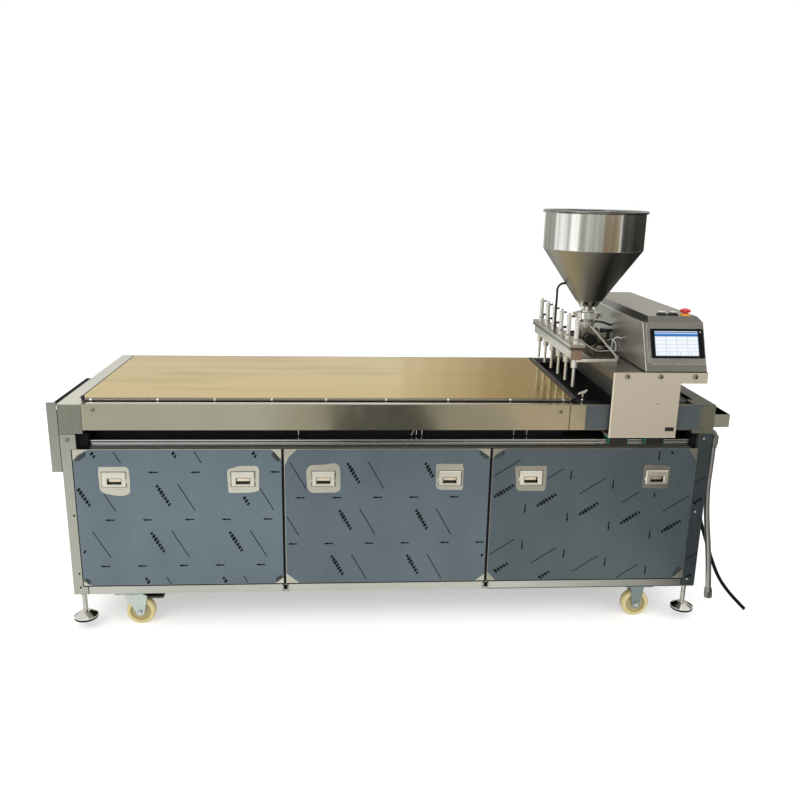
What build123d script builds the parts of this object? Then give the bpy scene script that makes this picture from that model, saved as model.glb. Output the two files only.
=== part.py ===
from build123d import *
import math
import os

# A table-top dorayaki machine: a gas-heated brass plate on a stainless steel table, and a motor-driven carriage
# that carries the batter hopper, the dosing valve and six nozzles along it. Sizes are in millimetres.
# +X runs to the right along the table, +Y to its back, +Z up. The origin is on the floor, under the middle.

# Table frame
TABLE_LENGTH = 2210.0
TABLE_DEPTH = 785.0
TABLE_TOP = 820.0
FRAME_BOTTOM = 135.0
LEG = 50.0
TUBE_WALL = 2.5
FOOT_PLATE = 6.0
CORNER_BOX = 75.0
CORNER_BOX_TALL = 101.0
RAIL_HEIGHT = 30.0
BEAM = 40.0
BEAM_SETBACK = 16.0
BEAM_DROP = 152.0
POST = 30.0

# Table top
SHEET = 2.0
FASCIA_TALL = 89.0
FASCIA_FLANGE = 20.0
FASCIA_SEAM = 1700.0
SEAM_GAP = 2.0
FRONT_DECK = 15.0
GUTTER = 60.0
REAR_DECK = 15.0
END_DECK = 50.0
LEDGE = 30.0
FRONT_LEDGE_LAP = 15.0
PLATE_LENGTH = 1678.0
PLATE_THICKNESS = 12.0
PLATE_EDGE = 1.0
PLATE_GAP = 1.0
PAN_FLANGE = 2.0
PAN_DEPTH = 30.0
PAN_BAR_WIDTH = 14.0
PAN_BAR_HEIGHT = 14.0
ROD_DIAMETER = 11.0
ROD_SETBACK = 53.0
ROD_LENGTH = 1639.0
SADDLE_LENGTH = 8.0
SADDLES = (94.0, 312.0, 500.0, 690.0, 872.0, 1075.0, 1288.0, 1503.0, 1688.0)

# Front, rear and end panels
LEFT_MARGIN = 33.0
RIGHT_MARGIN = 47.0
LEFT_PANEL = 693.0
MIDDLE_PANEL = 706.0
PANEL_GAP = 5.0
PANEL_LIFT = 3.0
PANEL_DROP = 3.0
PANEL_CLEAR = 0.5
PANEL_RETURN = 12.0
RETURN_SIDE_INSET = 22.0
RETURN_TOP_INSET = 45.0
HANDLE_DROP = 106.0
HANDLE_WIDTH = 84.0
HANDLE_TALL = 57.0
HANDLE_RAISE = 6.0
HANDLE_TAPER = 40.0
HANDLE_LIP = 3.0
HANDLE_FLANGE = 9.0
HANDLE_CORNER = 3.0
HANDLE_CUP = 12.0
HANDLE_SLOT_WIDTH = 46.0
HANDLE_SLOT_TALL = 20.0
HANDLE_SLOT_DROP = 7.0
HANDLE_INSETS = ((132.0, 134.0), (132.0, 140.0), (138.0, 136.0))
END_PANEL_SETBACK = 8.0

# Drawer, tray and their runners
DRAWER_REACH = 36.0
DRAWER_WIDTH = 32.0
DRAWER_LENGTH = 365.0
DRAWER_DROP = 236.0
DRAWER_TALL = 191.0
DRAWER_FRONT_RISE = 4.0
TRAY_REACH = 56.0
TRAY_WIDTH = 54.0
TRAY_LENGTH = 420.0
TRAY_DROP = 80.0
TRAY_TALL = 45.0
SLIDE_SETBACK = 5.0
RUNNER_FLANGE = 34.0
RUNNER_CLEAR = 0.3

# Burners
BURNER_DIAMETER = 34.0
BURNER_LENGTH = 1530.0
BURNER_START = 120.0
BURNER_PITCH = 130.0
BURNER_COUNT = 4
BEARER_TALL = 27.0
BEARER_THICK = 6.0
BEARER_PLACES = (400.0, 1350.0)
MANIFOLD_DIAMETER = 40.0
SUPPLY_DIAMETER = 22.0
SUPPLY_SETBACK = 100.0
BOX_FRONT_SETBACK = 86.0
BOX_REAR_SETBACK = 112.0
BOX_LEFT_SETBACK = 84.0
BOX_END_LAP = 28.0

# Linear rails, bearing blocks and belt drive
TRACK_WIDTH = 23.0
TRACK_HEIGHT = 22.0
TRACK_WAIST = 17.0
TRACK_EDGE = 1.0
TRACK_MARGIN_LEFT = 88.0
TRACK_MARGIN_RIGHT = 68.0
BLOCK_LENGTH = 64.0
BLOCK_WIDTH = 46.0
BLOCK_STAND = 41.0
BLOCK_CORNER = 3.0
BLOCK_UNDERCUT = 7.0
BLOCK_CLEAR = 0.3
BLOCK_PITCH = 130.0
BLOCK_SHIFT = 6.0
PULLEY_RADIUS = 20.0
PULLEY_WIDTH = 18.0
PULLEY_MARGIN = 110.0
BELT_SETBACK = 90.0
BELT_WIDTH = 15.0
BELT_THICKNESS = 2.0
BELT_CLEAR = 0.3
BELT_LIFT = 16.0
SHAFT_DIAMETER = 14.0
RUNNING_FIT = 0.05
LUG_THICK = 10.0
LUG_LENGTH = 50.0
GEARBOX = 92.0
GEARBOX_DEPTH = 70.0
GEARBOX_SETBACK = 25.0
GEARBOX_CORNER = 8.0
MOTOR_DIAMETER = 84.0
MOTOR_LENGTH = 180.0
MOTOR_ROUND = 5.0
SHELF_THICK = 6.0

# Carriage
CARRIAGE_FROM_RIGHT = 375.0
SKIRT_SHEET = 3.0
SKIRT_STANDOFF = 18.0
SKIRT_WIDTH = 234.0
FLAG_DROP = 34.0
DECK_WIDTH = 325.0
DECK_LIFT = 114.0
DECK_LIP = 25.0
CARRIAGE_BEAM_WIDTH = 228.0
CARRIAGE_BEAM_TALL = 80.0
BELT_ARM_WIDTH = 40.0

# Control housing
HOUSING_WIDTH = 212.0
HOUSING_HEIGHT = 181.0
HOUSING_FRONT = -8.0
HOUSING_REAR = 735.0
FACE_RUN = 84.0
HOUSING_CHAMFER = 20.0
TOUCH_WIDTH = 184.0
TOUCH_TALL = 142.0
TOUCH_THICK = 7.0
TOUCH_CORNER = 5.0
TOUCH_EDGE = 2.0
TOUCH_UP_FACE = 96.0
TOUCH_FROM_RIGHT = 98.0
TOUCH_BODY_WIDTH = 162.0
TOUCH_BODY_TALL = 120.0
TOUCH_BODY_DEPTH = 32.0
SCREEN_WIDTH = 150.0
SCREEN_TALL = 92.0
SCREEN_RECESS = 1.0
CUTOUT_CLEAR = 0.5
BUTTON_PLACES = (75.0, 115.0)
ESTOP_PLACE = 158.0
CONTROL_SETBACK = 21.0
BEZEL_DIAMETER = 36.0
BEZEL_HEIGHT = 6.0
BEZEL_EDGE = 1.0
BEZEL_FLOOR = 1.5
BUTTON_DIAMETER = 22.8
BUTTON_HEIGHT = 8.0
BUTTON_TRAVEL = 3.0
BUTTON_STEM = 10.0
SWITCH_BODY = 22.0
SWITCH_DEPTH = 30.0
STEM_DEPTH = 21.0
ESTOP_BASE = 34.0
ESTOP_BASE_HEIGHT = 7.0
ESTOP_BASE_TAPER = 3.0
ESTOP_HEAD = 38.0
ESTOP_HEAD_HEIGHT = 13.0
ESTOP_HEAD_TAPER = 2.0
ESTOP_NECK = 16.0
ESTOP_TRAVEL = 4.0

# Depositor head
HEAD_FROM_FRONT = 440.0
NOZZLE_OVERHANG = 80.0
NOZZLE_PITCH = 104.0
NOZZLE_COUNT = 6
BAR_WIDTH = 40.0
BAR_HEIGHT = 36.0
BAR_END = 20.0
BAR_BORE = 22.0
BAR_INLET = 20.0
BAR_CORNER = 3.0
ARM_WIDTH = 30.0
ARM_THICK = 8.0
ARM_REACH = 68.0
ARM_LAP = 82.0
LID_WIDTH = 56.0
LID_HEIGHT = 20.0
LID_GROOVE = 2.0
NOZZLE_NUT = 23.0
NOZZLE_NUT_TALL = 33.0
NOZZLE_NUT_EDGE = 1.5
NOZZLE_TUBE = 10.5
NOZZLE_TUBE_TALL = 69.0
NOZZLE_BORE = 6.0
NEEDLE_DIAMETER = 5.0
NEEDLE_SEAT = 3.0
CYLINDER_DIAMETER = 16.0
CYLINDER_CAP = 20.0
CYLINDER_CAP_TALL = 9.0
CYLINDER_TALL = 85.0
CYLINDER_BORE = 8.0
PISTON_REST = 22.0
PISTON_TALL = 10.0
HOPPER_FROM_EDGE = 35.0
HOPPER_DIAMETER = 370.0
HOPPER_WALL = 2.0
HOPPER_BOWL_TALL = 137.0
HOPPER_CONE_TALL = 232.0
HOPPER_NECK_TALL = 19.0
HOPPER_NECK = 50.0
RIM_ROLL = 11.0
FERRULE_DIAMETER = 77.0
FERRULE_THICK = 7.0
CLAMP_DIAMETER = 90.0
CLAMP_TALL = 22.0
CLAMP_CLEAR = 0.3
CLAMP_LIP = 5.0
CLAMP_EAR = 16.0
CLAMP_EAR_THICK = 12.8
CLAMP_EAR_CORNER = 3.0
VALVE_LENGTH = 68.0
VALVE_DEPTH = 76.0
VALVE_HEIGHT = 84.0
VALVE_CORNER = 10.0
SPIGOT_DIAMETER = 50.0
SPIGOT_TALL = 44.0
PORT_BORE = 34.0
OUTLET_DIAMETER = 34.0
OUTLET_BORE = 26.0
PLUG_DIAMETER = 44.0
PLUG_CUT_MARGIN = 2.0
PLUG_STEM = 20.0
PLUG_STEM_LENGTH = 10.0
PLUG_HUB = 46.0
PLUG_HUB_THICK = 20.0
PLUG_HUB_ROUND = 3.0
DOSER_DIAMETER = 68.0
DOSER_BORE = 60.0
DOSER_LENGTH = 136.0
DOSER_FLANGE = 82.0
DOSER_FLANGE_THICK = 8.0
DOSER_ROD = 16.0
DOSER_PISTON = 20.0
DOSER_REST = 6.0
DOSER_ROD_LENGTH = 122.0
DOSER_WALL_CLEAR = 1.0
RETURN_PIPE = 9.0
RETURN_PIPE_OFFSET = 10.0
RETURN_LIFT = 101.0
RETURN_BEND = 26.0
RETURN_ENTRY = 14.0
PIPE_CLEAR = 0.3
STAY_ROD = 8.0
STAY_BOSS_TALL = 12.0
STAY_COLLAR = 62.0
STAY_COLLAR_TALL = 10.0
STAY_COLLAR_LIFT = 8.0
AIR_HOSE = 6.0

# Levelling feet and casters
FOOT_DISC = 80.0
FOOT_PAD_BOTTOM = 34.0
FOOT_RIM = 10.0
FOOT_DOME = 16.0
FOOT_STUD = 15.0
SWIVEL_FROM_LEFT = 185.0
RIGID_FROM_RIGHT = 200.0
CASTER_SETBACK = 45.0
WHEEL_DIAMETER = 100.0
WHEEL_WIDTH = 32.0
WHEEL_HUB_WIDTH = 35.0
WHEEL_HUB = 30.0
WHEEL_WEB = 18.0
WHEEL_TREAD = 14.0
WHEEL_ROUND = 5.0
AXLE_DIAMETER = 12.0
CASTER_TRAIL = 28.0
CASTER_PLATE_LENGTH = 105.0
CASTER_PLATE_WIDTH = 84.0
CASTER_PLATE = 5.0
CASTER_PLATE_CORNER = 6.0
FORK_GAP = 36.0
FORK_SHEET = 4.0
FORK_TOP_WIDTH = 52.0
FORK_EYE = 15.0
RACE_DIAMETER = 60.0
RACE_TALL = 8.0
CROWN_TALL = 8.0
SWIVEL_CLEAR = 0.3
KINGPIN = 12.0
PEDAL_PIVOT_FORWARD = 46.0
PEDAL_PIVOT_DROP = 27.0
PEDAL_PIN = 6.0
PEDAL_LUG = 8.0
PEDAL_CLEAR = 1.0
PEDAL_CORNER = 6.0
PEDAL_HUB = 14.0
PEDAL_LENGTH = 66.0
PEDAL_WIDTH = 44.0
PEDAL_THICK = 8.0
PEDAL_NECK = 12.0

# Gas inlet, gas hose, cable gland and power cable
INLET_SETBACK = 62.0
INLET_REACH = 38.0
INLET_DROP = 114.0
INLET_TALL = 58.0
INLET_PIPE = 20.0
INLET_BEND = 15.0
INLET_UNION = 34.0
INLET_UNION_TALL = 14.0
INLET_BODY = 30.0
INLET_NUT = 28.0
HOSE_DIAMETER = 20.0
HOSE_NUT = 31.0
HOSE_NUT_COLLAR = 27.0
HOSE_NUT_BORE = 21.0
HOSE_NUT_TALL = 35.0
GLAND_SETBACK = 105.0
GLAND_REACH = 33.0
GLAND_HEIGHT = 472.0
GLAND_STUB = 20.0
GLAND_TALL = 32.0
GLAND_NUT = 25.0
GLAND_LOCKNUT = 29.0
GLAND_ROUND = 3.0
GLAND_NUT_TALL = 16.0
GLAND_BEND = 14.0
CABLE_DIAMETER = 13.0

# Places worked out from the sizes above
LEFT = -(TABLE_LENGTH + TRAY_REACH - DRAWER_REACH) / 2
RIGHT = LEFT + TABLE_LENGTH
FRONT = -TABLE_DEPTH / 2
BACK = TABLE_DEPTH / 2
LEG_TOP = TABLE_TOP - CORNER_BOX_TALL
BEAM_TOP = TABLE_TOP - BEAM_DROP
FASCIA_BOTTOM = TABLE_TOP - FASCIA_TALL
PLATE_BOTTOM = TABLE_TOP - PLATE_THICKNESS
PLATE_LEFT = LEFT + END_DECK + PLATE_GAP
PLATE_RIGHT = PLATE_LEFT + PLATE_LENGTH
PLATE_FRONT = FRONT + FRONT_DECK + GUTTER + PLATE_GAP
PLATE_BACK = BACK - REAR_DECK - PLATE_GAP
BEAM_FRONT = FRONT + BEAM_SETBACK
BEAM_INNER = BEAM_FRONT + BEAM
RAIL_TOP = FRAME_BOTTOM + RAIL_HEIGHT
PANEL_BOTTOM = RAIL_TOP + PANEL_LIFT
PANEL_TOP = BEAM_TOP - PANEL_DROP
HANDLE_HEIGHT = PANEL_TOP - HANDLE_DROP
DRAWER_BOTTOM = TABLE_TOP - DRAWER_DROP
DRAWER_FRONT_TOP = TABLE_TOP + DRAWER_FRONT_RISE
TRAY_BOTTOM = TABLE_TOP - TRAY_DROP
BELT_HEIGHT = BEAM_TOP + BELT_LIFT
TRACK_Y = BEAM_FRONT + BEAM / 2
CARRIAGE_LEFT = RIGHT - CARRIAGE_FROM_RIGHT
DECK_RIGHT = CARRIAGE_LEFT + DECK_WIDTH
DECK_TOP = TABLE_TOP + DECK_LIFT
SKIRT_BOTTOM = BEAM_TOP + BLOCK_STAND
SKIRT_TOP = DECK_TOP + SKIRT_SHEET
FLAG_BOTTOM = DECK_TOP - FLAG_DROP
SKIRT_FACE = FRONT - SKIRT_STANDOFF
SKIRT_INNER = SKIRT_FACE + SKIRT_SHEET
CARRIAGE_DEPTH = -2 * SKIRT_INNER
HOUSING_LEFT = DECK_RIGHT - HOUSING_WIDTH
ROOF = DECK_TOP + HOUSING_HEIGHT
HEAD_Y = FRONT + HEAD_FROM_FRONT
NOZZLE_X = CARRIAGE_LEFT - NOZZLE_OVERHANG
HOPPER_X = CARRIAGE_LEFT + HOPPER_FROM_EDGE
BAR_LENGTH = (NOZZLE_COUNT - 1) * NOZZLE_PITCH + 2 * BAR_END
BAR_BOTTOM = DECK_TOP + ARM_THICK
BAR_TOP = BAR_BOTTOM + BAR_HEIGHT
LID_TOP = BAR_TOP + LID_HEIGHT
BAR_MIDDLE = BAR_BOTTOM + BAR_HEIGHT / 2
VALVE_TOP = DECK_TOP + VALVE_HEIGHT
VALVE_MIDDLE = DECK_TOP + VALVE_HEIGHT / 2
JOINT_HEIGHT = VALVE_TOP + SPIGOT_TALL
HOPPER_NECK_TOP = JOINT_HEIGHT + HOPPER_NECK_TALL
HOPPER_SHOULDER = HOPPER_NECK_TOP + HOPPER_CONE_TALL
HOPPER_TOP = HOPPER_SHOULDER + HOPPER_BOWL_TALL
RETURN_HEIGHT = HOPPER_NECK_TOP + RETURN_LIFT
WHEEL_AXLE = WHEEL_DIAMETER / 2
FOOT_DOME_TOP = FOOT_PAD_BOTTOM + FOOT_RIM + FOOT_DOME
PEDAL_PIVOT_HEIGHT = FRAME_BOTTOM - PEDAL_PIVOT_DROP
INLET_HEIGHT = TABLE_TOP - INLET_DROP
HOSE_TOP = INLET_HEIGHT - INLET_TALL
CABLE_TOP = GLAND_HEIGHT - GLAND_TALL
FROM_BELOW = (Align.CENTER, Align.CENTER, Align.MIN)

os.makedirs("parts", exist_ok=True)
pieces = {}


def slab(low, high, mode=Mode.ADD):
    """A flat bar or plate between two opposite corners, for the part being built."""
    sizes = [end - start for start, end in zip(low, high)]
    middle = tuple((start + end) / 2 for start, end in zip(low, high))
    with Locations(middle):
        Box(*sizes, mode=mode)


def square_tube(plane, centre, width, tall, length):
    """A rectangular tube whose section lies in the plane, run out along the plane's normal."""
    with BuildPart() as tube:
        with BuildSketch(plane):
            with Locations(centre):
                Rectangle(width, tall)
                Rectangle(width - 2 * TUBE_WALL, tall - 2 * TUBE_WALL, mode=Mode.SUBTRACT)
        extrude(amount=length)
    return tube.part


def folded_sheet(plane, points, side, length, thickness=SHEET):
    """A folded sheet: its outer face follows the points in the plane, and it runs along the plane's normal."""
    with BuildPart() as sheet:
        with BuildSketch(plane):
            with BuildLine():
                path = Polyline(*points)
                offset(path, amount=thickness, side=side, kind=Kind.INTERSECTION)
            make_face()
        extrude(amount=length)
    return sheet.part


def turned(axis_x, axis_y, outline):
    """A turned piece: its outline is given as radius and height, and it stands on a vertical axis."""
    with BuildPart() as body:
        with BuildSketch(Plane.XZ):
            with BuildLine():
                Polyline(*outline, close=True)
            make_face()
        revolve(axis=Axis.Z)
    return body.part.moved(Location((axis_x, axis_y, 0)))


def front_and_rear(part):
    """The part and its mirror image at the back of the table."""
    return [part, part.mirror(Plane.XZ)]


def bend_radii(points):
    """The largest bends that fit a route: 0.45 of the shorter run over the tangent of half the turn."""
    corners = [Vector(*point) for point in points]
    radii = []
    for before, corner, after in zip(corners, corners[1:], corners[2:]):
        arriving = corner - before
        leaving = after - corner
        half_turn = math.radians(arriving.get_angle(leaving)) / 2
        radii.append(0.45 * min(arriving.length, leaving.length) / math.tan(half_turn))
    return radii


def tube_along(points, diameter, name):
    """A round tube along straight runs joined by tangent bends, with its volume compared with its length."""
    radii = bend_radii(points)
    with BuildPart() as tube:
        with BuildLine():
            route = FilletPolyline(*points, radius=radii)
        with BuildSketch(Plane(route @ 0, z_dir=route % 0)):
            Circle(diameter / 2)
        sweep(path=route)
    ideal = math.pi * diameter ** 2 / 4 * route.length
    print(name, "radii", [round(radius) for radius in radii], "length", round(route.length, 1),
          "volume ratio", round(tube.part.volume / ideal, 4))
    return tube.part


# Legs: square tubes with a foot plate, each with a sheet corner box on top. The rear boxes stop under the ledge.
def leg(x_side, y_side):
    inward = LEG / 2 if x_side == LEFT else -LEG / 2
    box_inward = CORNER_BOX / 2 if x_side == LEFT else -CORNER_BOX / 2
    at_front = y_side == FRONT
    leg_y = FRONT + LEG / 2 if at_front else BACK - LEG / 2
    box_y = FRONT + CORNER_BOX / 2 if at_front else BACK - SHEET - CORNER_BOX / 2
    box_top = TABLE_TOP - SHEET if at_front else PLATE_BOTTOM - SHEET
    with BuildPart() as upright:
        with BuildSketch(Plane.XY.offset(FRAME_BOTTOM)):
            with Locations((x_side + inward, leg_y)):
                Rectangle(LEG, LEG)
        extrude(amount=LEG_TOP - FRAME_BOTTOM)
        with BuildSketch(Plane.XY.offset(LEG_TOP)):
            with Locations((x_side + box_inward, box_y)):
                Rectangle(CORNER_BOX, CORNER_BOX)
        extrude(amount=box_top - LEG_TOP)
        with BuildSketch(Plane.XY.offset(LEG_TOP)):
            with Locations((x_side + box_inward, box_y)):
                Rectangle(CORNER_BOX - 2 * SHEET, CORNER_BOX - 2 * SHEET)
        extrude(amount=box_top - SHEET - LEG_TOP, mode=Mode.SUBTRACT)
        with BuildSketch(Plane.XY.offset(FRAME_BOTTOM + FOOT_PLATE)):
            with Locations((x_side + inward, leg_y)):
                Rectangle(LEG - 2 * TUBE_WALL, LEG - 2 * TUBE_WALL)
        extrude(amount=LEG_TOP - FRAME_BOTTOM - FOOT_PLATE, mode=Mode.SUBTRACT)
    return upright.part


pieces["legs"] = Compound(children=[leg(x, y) for x in (LEFT, RIGHT) for y in (FRONT, BACK)])

# Frame rails: the bottom ring, two top beams on posts, the slide runners, the idler's lug and the motor's shelf.
span = TABLE_LENGTH - 2 * LEG
left_section = Plane.YZ.offset(LEFT + LEG)
bottom_rail = square_tube(left_section, (FRONT + LEG / 2, FRAME_BOTTOM + RAIL_HEIGHT / 2), LEG, RAIL_HEIGHT, span)
top_beam = square_tube(left_section, (TRACK_Y, BEAM_TOP - BEAM / 2), BEAM, BEAM, span)
rails = front_and_rear(bottom_rail) + front_and_rear(top_beam)
panel_seams = (LEFT + LEFT_MARGIN + LEFT_PANEL + PANEL_GAP / 2,
               LEFT + LEFT_MARGIN + LEFT_PANEL + MIDDLE_PANEL + 1.5 * PANEL_GAP)
for seam in panel_seams:
    post_tall = BEAM_TOP - BEAM - RAIL_TOP
    post = square_tube(Plane.XY.offset(RAIL_TOP), (seam, BEAM_FRONT + POST / 2), POST, POST, post_tall)
    rails += front_and_rear(post)
for end_x in (LEFT + LEG / 2, RIGHT - LEG / 2):
    end_rail_plane = Plane.XZ.offset(-(BACK - LEG))
    rails.append(square_tube(end_rail_plane, (end_x, FRAME_BOTTOM + RAIL_HEIGHT / 2), LEG, RAIL_HEIGHT,
                             TABLE_DEPTH - 2 * LEG))
runner_plane = Plane.XZ.offset(-(BACK - 2 * SLIDE_SETBACK))
runner_length = TABLE_DEPTH - 4 * SLIDE_SETBACK
drawer_rest = DRAWER_BOTTOM - RUNNER_CLEAR
tray_rest = TRAY_BOTTOM - RUNNER_CLEAR
rails.append(folded_sheet(runner_plane, ((LEFT, drawer_rest - FASCIA_FLANGE), (LEFT, drawer_rest),
                                         (LEFT - RUNNER_FLANGE, drawer_rest)), Side.LEFT, runner_length))
rails.append(folded_sheet(runner_plane, ((RIGHT, tray_rest - FASCIA_FLANGE), (RIGHT, tray_rest),
                                         (RIGHT + RUNNER_FLANGE, tray_rest)), Side.RIGHT, runner_length))

idler_x = LEFT + PULLEY_MARGIN
motor_x = RIGHT - PULLEY_MARGIN
belt_y = BACK - BELT_SETBACK
rear_beam_inner = -BEAM_INNER
with BuildPart() as idler_lug:
    with BuildSketch(Plane.XZ.offset(-rear_beam_inner)):
        with Locations((idler_x, BELT_HEIGHT)):
            Circle(LUG_LENGTH / 2)
            Rectangle(LUG_LENGTH, BELT_HEIGHT - BEAM_TOP + BEAM, align=(Align.CENTER, Align.MAX))
            Circle(SHAFT_DIAMETER / 2 + RUNNING_FIT, mode=Mode.SUBTRACT)
    extrude(amount=LUG_THICK)
rails.append(idler_lug.part)
gearbox_front = belt_y - PULLEY_WIDTH / 2 - GEARBOX_SETBACK - GEARBOX_DEPTH
shelf_top = BELT_HEIGHT - GEARBOX / 2
with BuildPart() as motor_shelf:
    slab((motor_x - GEARBOX / 2, gearbox_front, shelf_top - SHELF_THICK),
         (motor_x + GEARBOX / 2, rear_beam_inner, shelf_top))
rails.append(motor_shelf.part)
pieces["frame_rails"] = Compound(children=rails)

# Front fascias: folded sheet with a bottom flange, the front deck strip, the gutter's side and the plate's ledge.
front_section = ((FRONT + FASCIA_FLANGE, FASCIA_BOTTOM), (FRONT, FASCIA_BOTTOM), (FRONT, TABLE_TOP),
                 (FRONT + FRONT_DECK, TABLE_TOP), (FRONT + FRONT_DECK, PLATE_BOTTOM),
                 (FRONT + FRONT_DECK + GUTTER + FRONT_LEDGE_LAP, PLATE_BOTTOM))
left_fascia_length = FASCIA_SEAM - SEAM_GAP / 2 - CORNER_BOX
right_fascia_start = FASCIA_SEAM + SEAM_GAP / 2
left_fascia = folded_sheet(Plane.YZ.offset(LEFT + CORNER_BOX), front_section, Side.RIGHT, left_fascia_length)
right_fascia = folded_sheet(Plane.YZ.offset(LEFT + right_fascia_start), front_section, Side.RIGHT,
                            TABLE_LENGTH - CORNER_BOX - right_fascia_start)
pieces["front_fascias"] = Compound(children=[left_fascia, right_fascia])

# Side fascias: the rear one with its narrow deck and ledge, and one at each end between the corner boxes.
rear_section = ((BACK, FASCIA_BOTTOM), (BACK, TABLE_TOP), (BACK - REAR_DECK, TABLE_TOP),
                (BACK - REAR_DECK, PLATE_BOTTOM), (BACK - REAR_DECK - LEDGE, PLATE_BOTTOM))
rear_fascia = folded_sheet(Plane.YZ.offset(LEFT), rear_section, Side.LEFT, TABLE_LENGTH)
end_fascia_back = BACK - SHEET - CORNER_BOX
end_fascia_plane = Plane.XZ.offset(-end_fascia_back)
end_fascia_length = end_fascia_back - FRONT - CORNER_BOX
end_fascia_top = TABLE_TOP - SHEET
left_end = ((LEFT + FASCIA_FLANGE, FASCIA_BOTTOM), (LEFT, FASCIA_BOTTOM), (LEFT, end_fascia_top))
right_end = ((RIGHT - FASCIA_FLANGE, FASCIA_BOTTOM), (RIGHT, FASCIA_BOTTOM), (RIGHT, end_fascia_top))
pieces["side_fascias"] = Compound(children=[
    rear_fascia,
    folded_sheet(end_fascia_plane, left_end, Side.RIGHT, end_fascia_length),
    folded_sheet(end_fascia_plane, right_end, Side.LEFT, end_fascia_length)])


# Deck strips: the end strips of the table top, with a tab over the front corner box and a ledge for the plate.
def deck_strip(outer_x, direction):
    inner_x = outer_x + direction * END_DECK
    tab_x = outer_x + direction * CORNER_BOX
    ledge_front = FRONT + FRONT_DECK + GUTTER + FRONT_LEDGE_LAP
    ledge_back = BACK - REAR_DECK - LEDGE
    corner_y = FRONT + CORNER_BOX
    with BuildPart() as strip:
        with BuildSketch(Plane.XY.offset(TABLE_TOP - SHEET)):
            with BuildLine():
                Polyline((outer_x, FRONT), (tab_x, FRONT), (tab_x, corner_y), (inner_x, corner_y),
                         (inner_x, BACK - REAR_DECK), (outer_x, BACK - REAR_DECK), close=True)
            make_face()
        extrude(amount=SHEET)
        lip_x = sorted((inner_x, inner_x - direction * SHEET))
        ledge_x = sorted((inner_x - direction * SHEET, inner_x + direction * LEDGE))
        slab((lip_x[0], ledge_front, PLATE_BOTTOM - SHEET), (lip_x[1], ledge_back, TABLE_TOP))
        slab((ledge_x[0], ledge_front, PLATE_BOTTOM - SHEET), (ledge_x[1], ledge_back, PLATE_BOTTOM))
    return strip.part


pieces["deck_strips"] = Compound(children=[deck_strip(LEFT, 1), deck_strip(RIGHT, -1)])

# Hot plate: one thick plate with eased top edges, on the ledges.
with BuildPart() as hot_plate:
    slab((PLATE_LEFT, PLATE_FRONT, PLATE_BOTTOM), (PLATE_RIGHT, PLATE_BACK, TABLE_TOP))
    chamfer(hot_plate.faces().sort_by(Axis.Z)[-1].edges(), PLATE_EDGE)
pieces["hot_plate"] = hot_plate.part

# Drip pan: a flanged tray under the parked nozzles, with a scraper bar along the plate's end.
pan_left = PLATE_RIGHT + PLATE_GAP
pan_right = RIGHT - END_DECK - PLATE_GAP
well_left = pan_left + LEDGE
well_right = RIGHT - END_DECK - LEDGE - SHEET
well_front = FRONT + FRONT_DECK + GUTTER + FRONT_LEDGE_LAP + SHEET
well_back = BACK - REAR_DECK - LEDGE - SHEET
with BuildPart() as drip_pan:
    with BuildSketch(Plane.XY.offset(PLATE_BOTTOM)):
        with Locations(((pan_left + pan_right) / 2, (PLATE_FRONT + PLATE_BACK) / 2)):
            Rectangle(pan_right - pan_left, PLATE_BACK - PLATE_FRONT)
    extrude(amount=PAN_FLANGE)
    with BuildSketch(Plane.XY.offset(PLATE_BOTTOM)):
        with Locations(((well_left + well_right) / 2, (well_front + well_back) / 2)):
            Rectangle(well_right - well_left, well_back - well_front)
    extrude(amount=-PAN_DEPTH)
    with BuildSketch(Plane.XY.offset(PLATE_BOTTOM + PAN_FLANGE)):
        with Locations(((well_left + well_right) / 2, (well_front + well_back) / 2)):
            Rectangle(well_right - well_left - 2 * SHEET, well_back - well_front - 2 * SHEET)
    extrude(amount=-(PAN_DEPTH + PAN_FLANGE - SHEET), mode=Mode.SUBTRACT)
    bar_base = PLATE_BOTTOM + PAN_FLANGE
    slab((pan_left, PLATE_FRONT, bar_base), (pan_left + PAN_BAR_WIDTH, PLATE_BACK, bar_base + PAN_BAR_HEIGHT))
pieces["drip_pan"] = drip_pan.part

# Gutter rod: a round bar in the gutter, on short saddles that stand on the ledge.
rod_start = LEFT + CORNER_BOX + PLATE_GAP
rod_y = FRONT + ROD_SETBACK
rod_z = TABLE_TOP
saddle_tall = rod_z - PLATE_BOTTOM
with BuildPart() as gutter_rod:
    with BuildSketch(Plane.YZ.offset(rod_start)):
        with Locations((rod_y, rod_z)):
            Circle(ROD_DIAMETER / 2)
    extrude(amount=ROD_LENGTH)
    with BuildSketch(Plane.XY.offset(PLATE_BOTTOM)):
        with Locations(*[(LEFT + saddle, rod_y) for saddle in SADDLES]):
            Rectangle(SADDLE_LENGTH, SADDLE_LENGTH)
    extrude(amount=saddle_tall)
pieces["gutter_rod"] = gutter_rod.part

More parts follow.
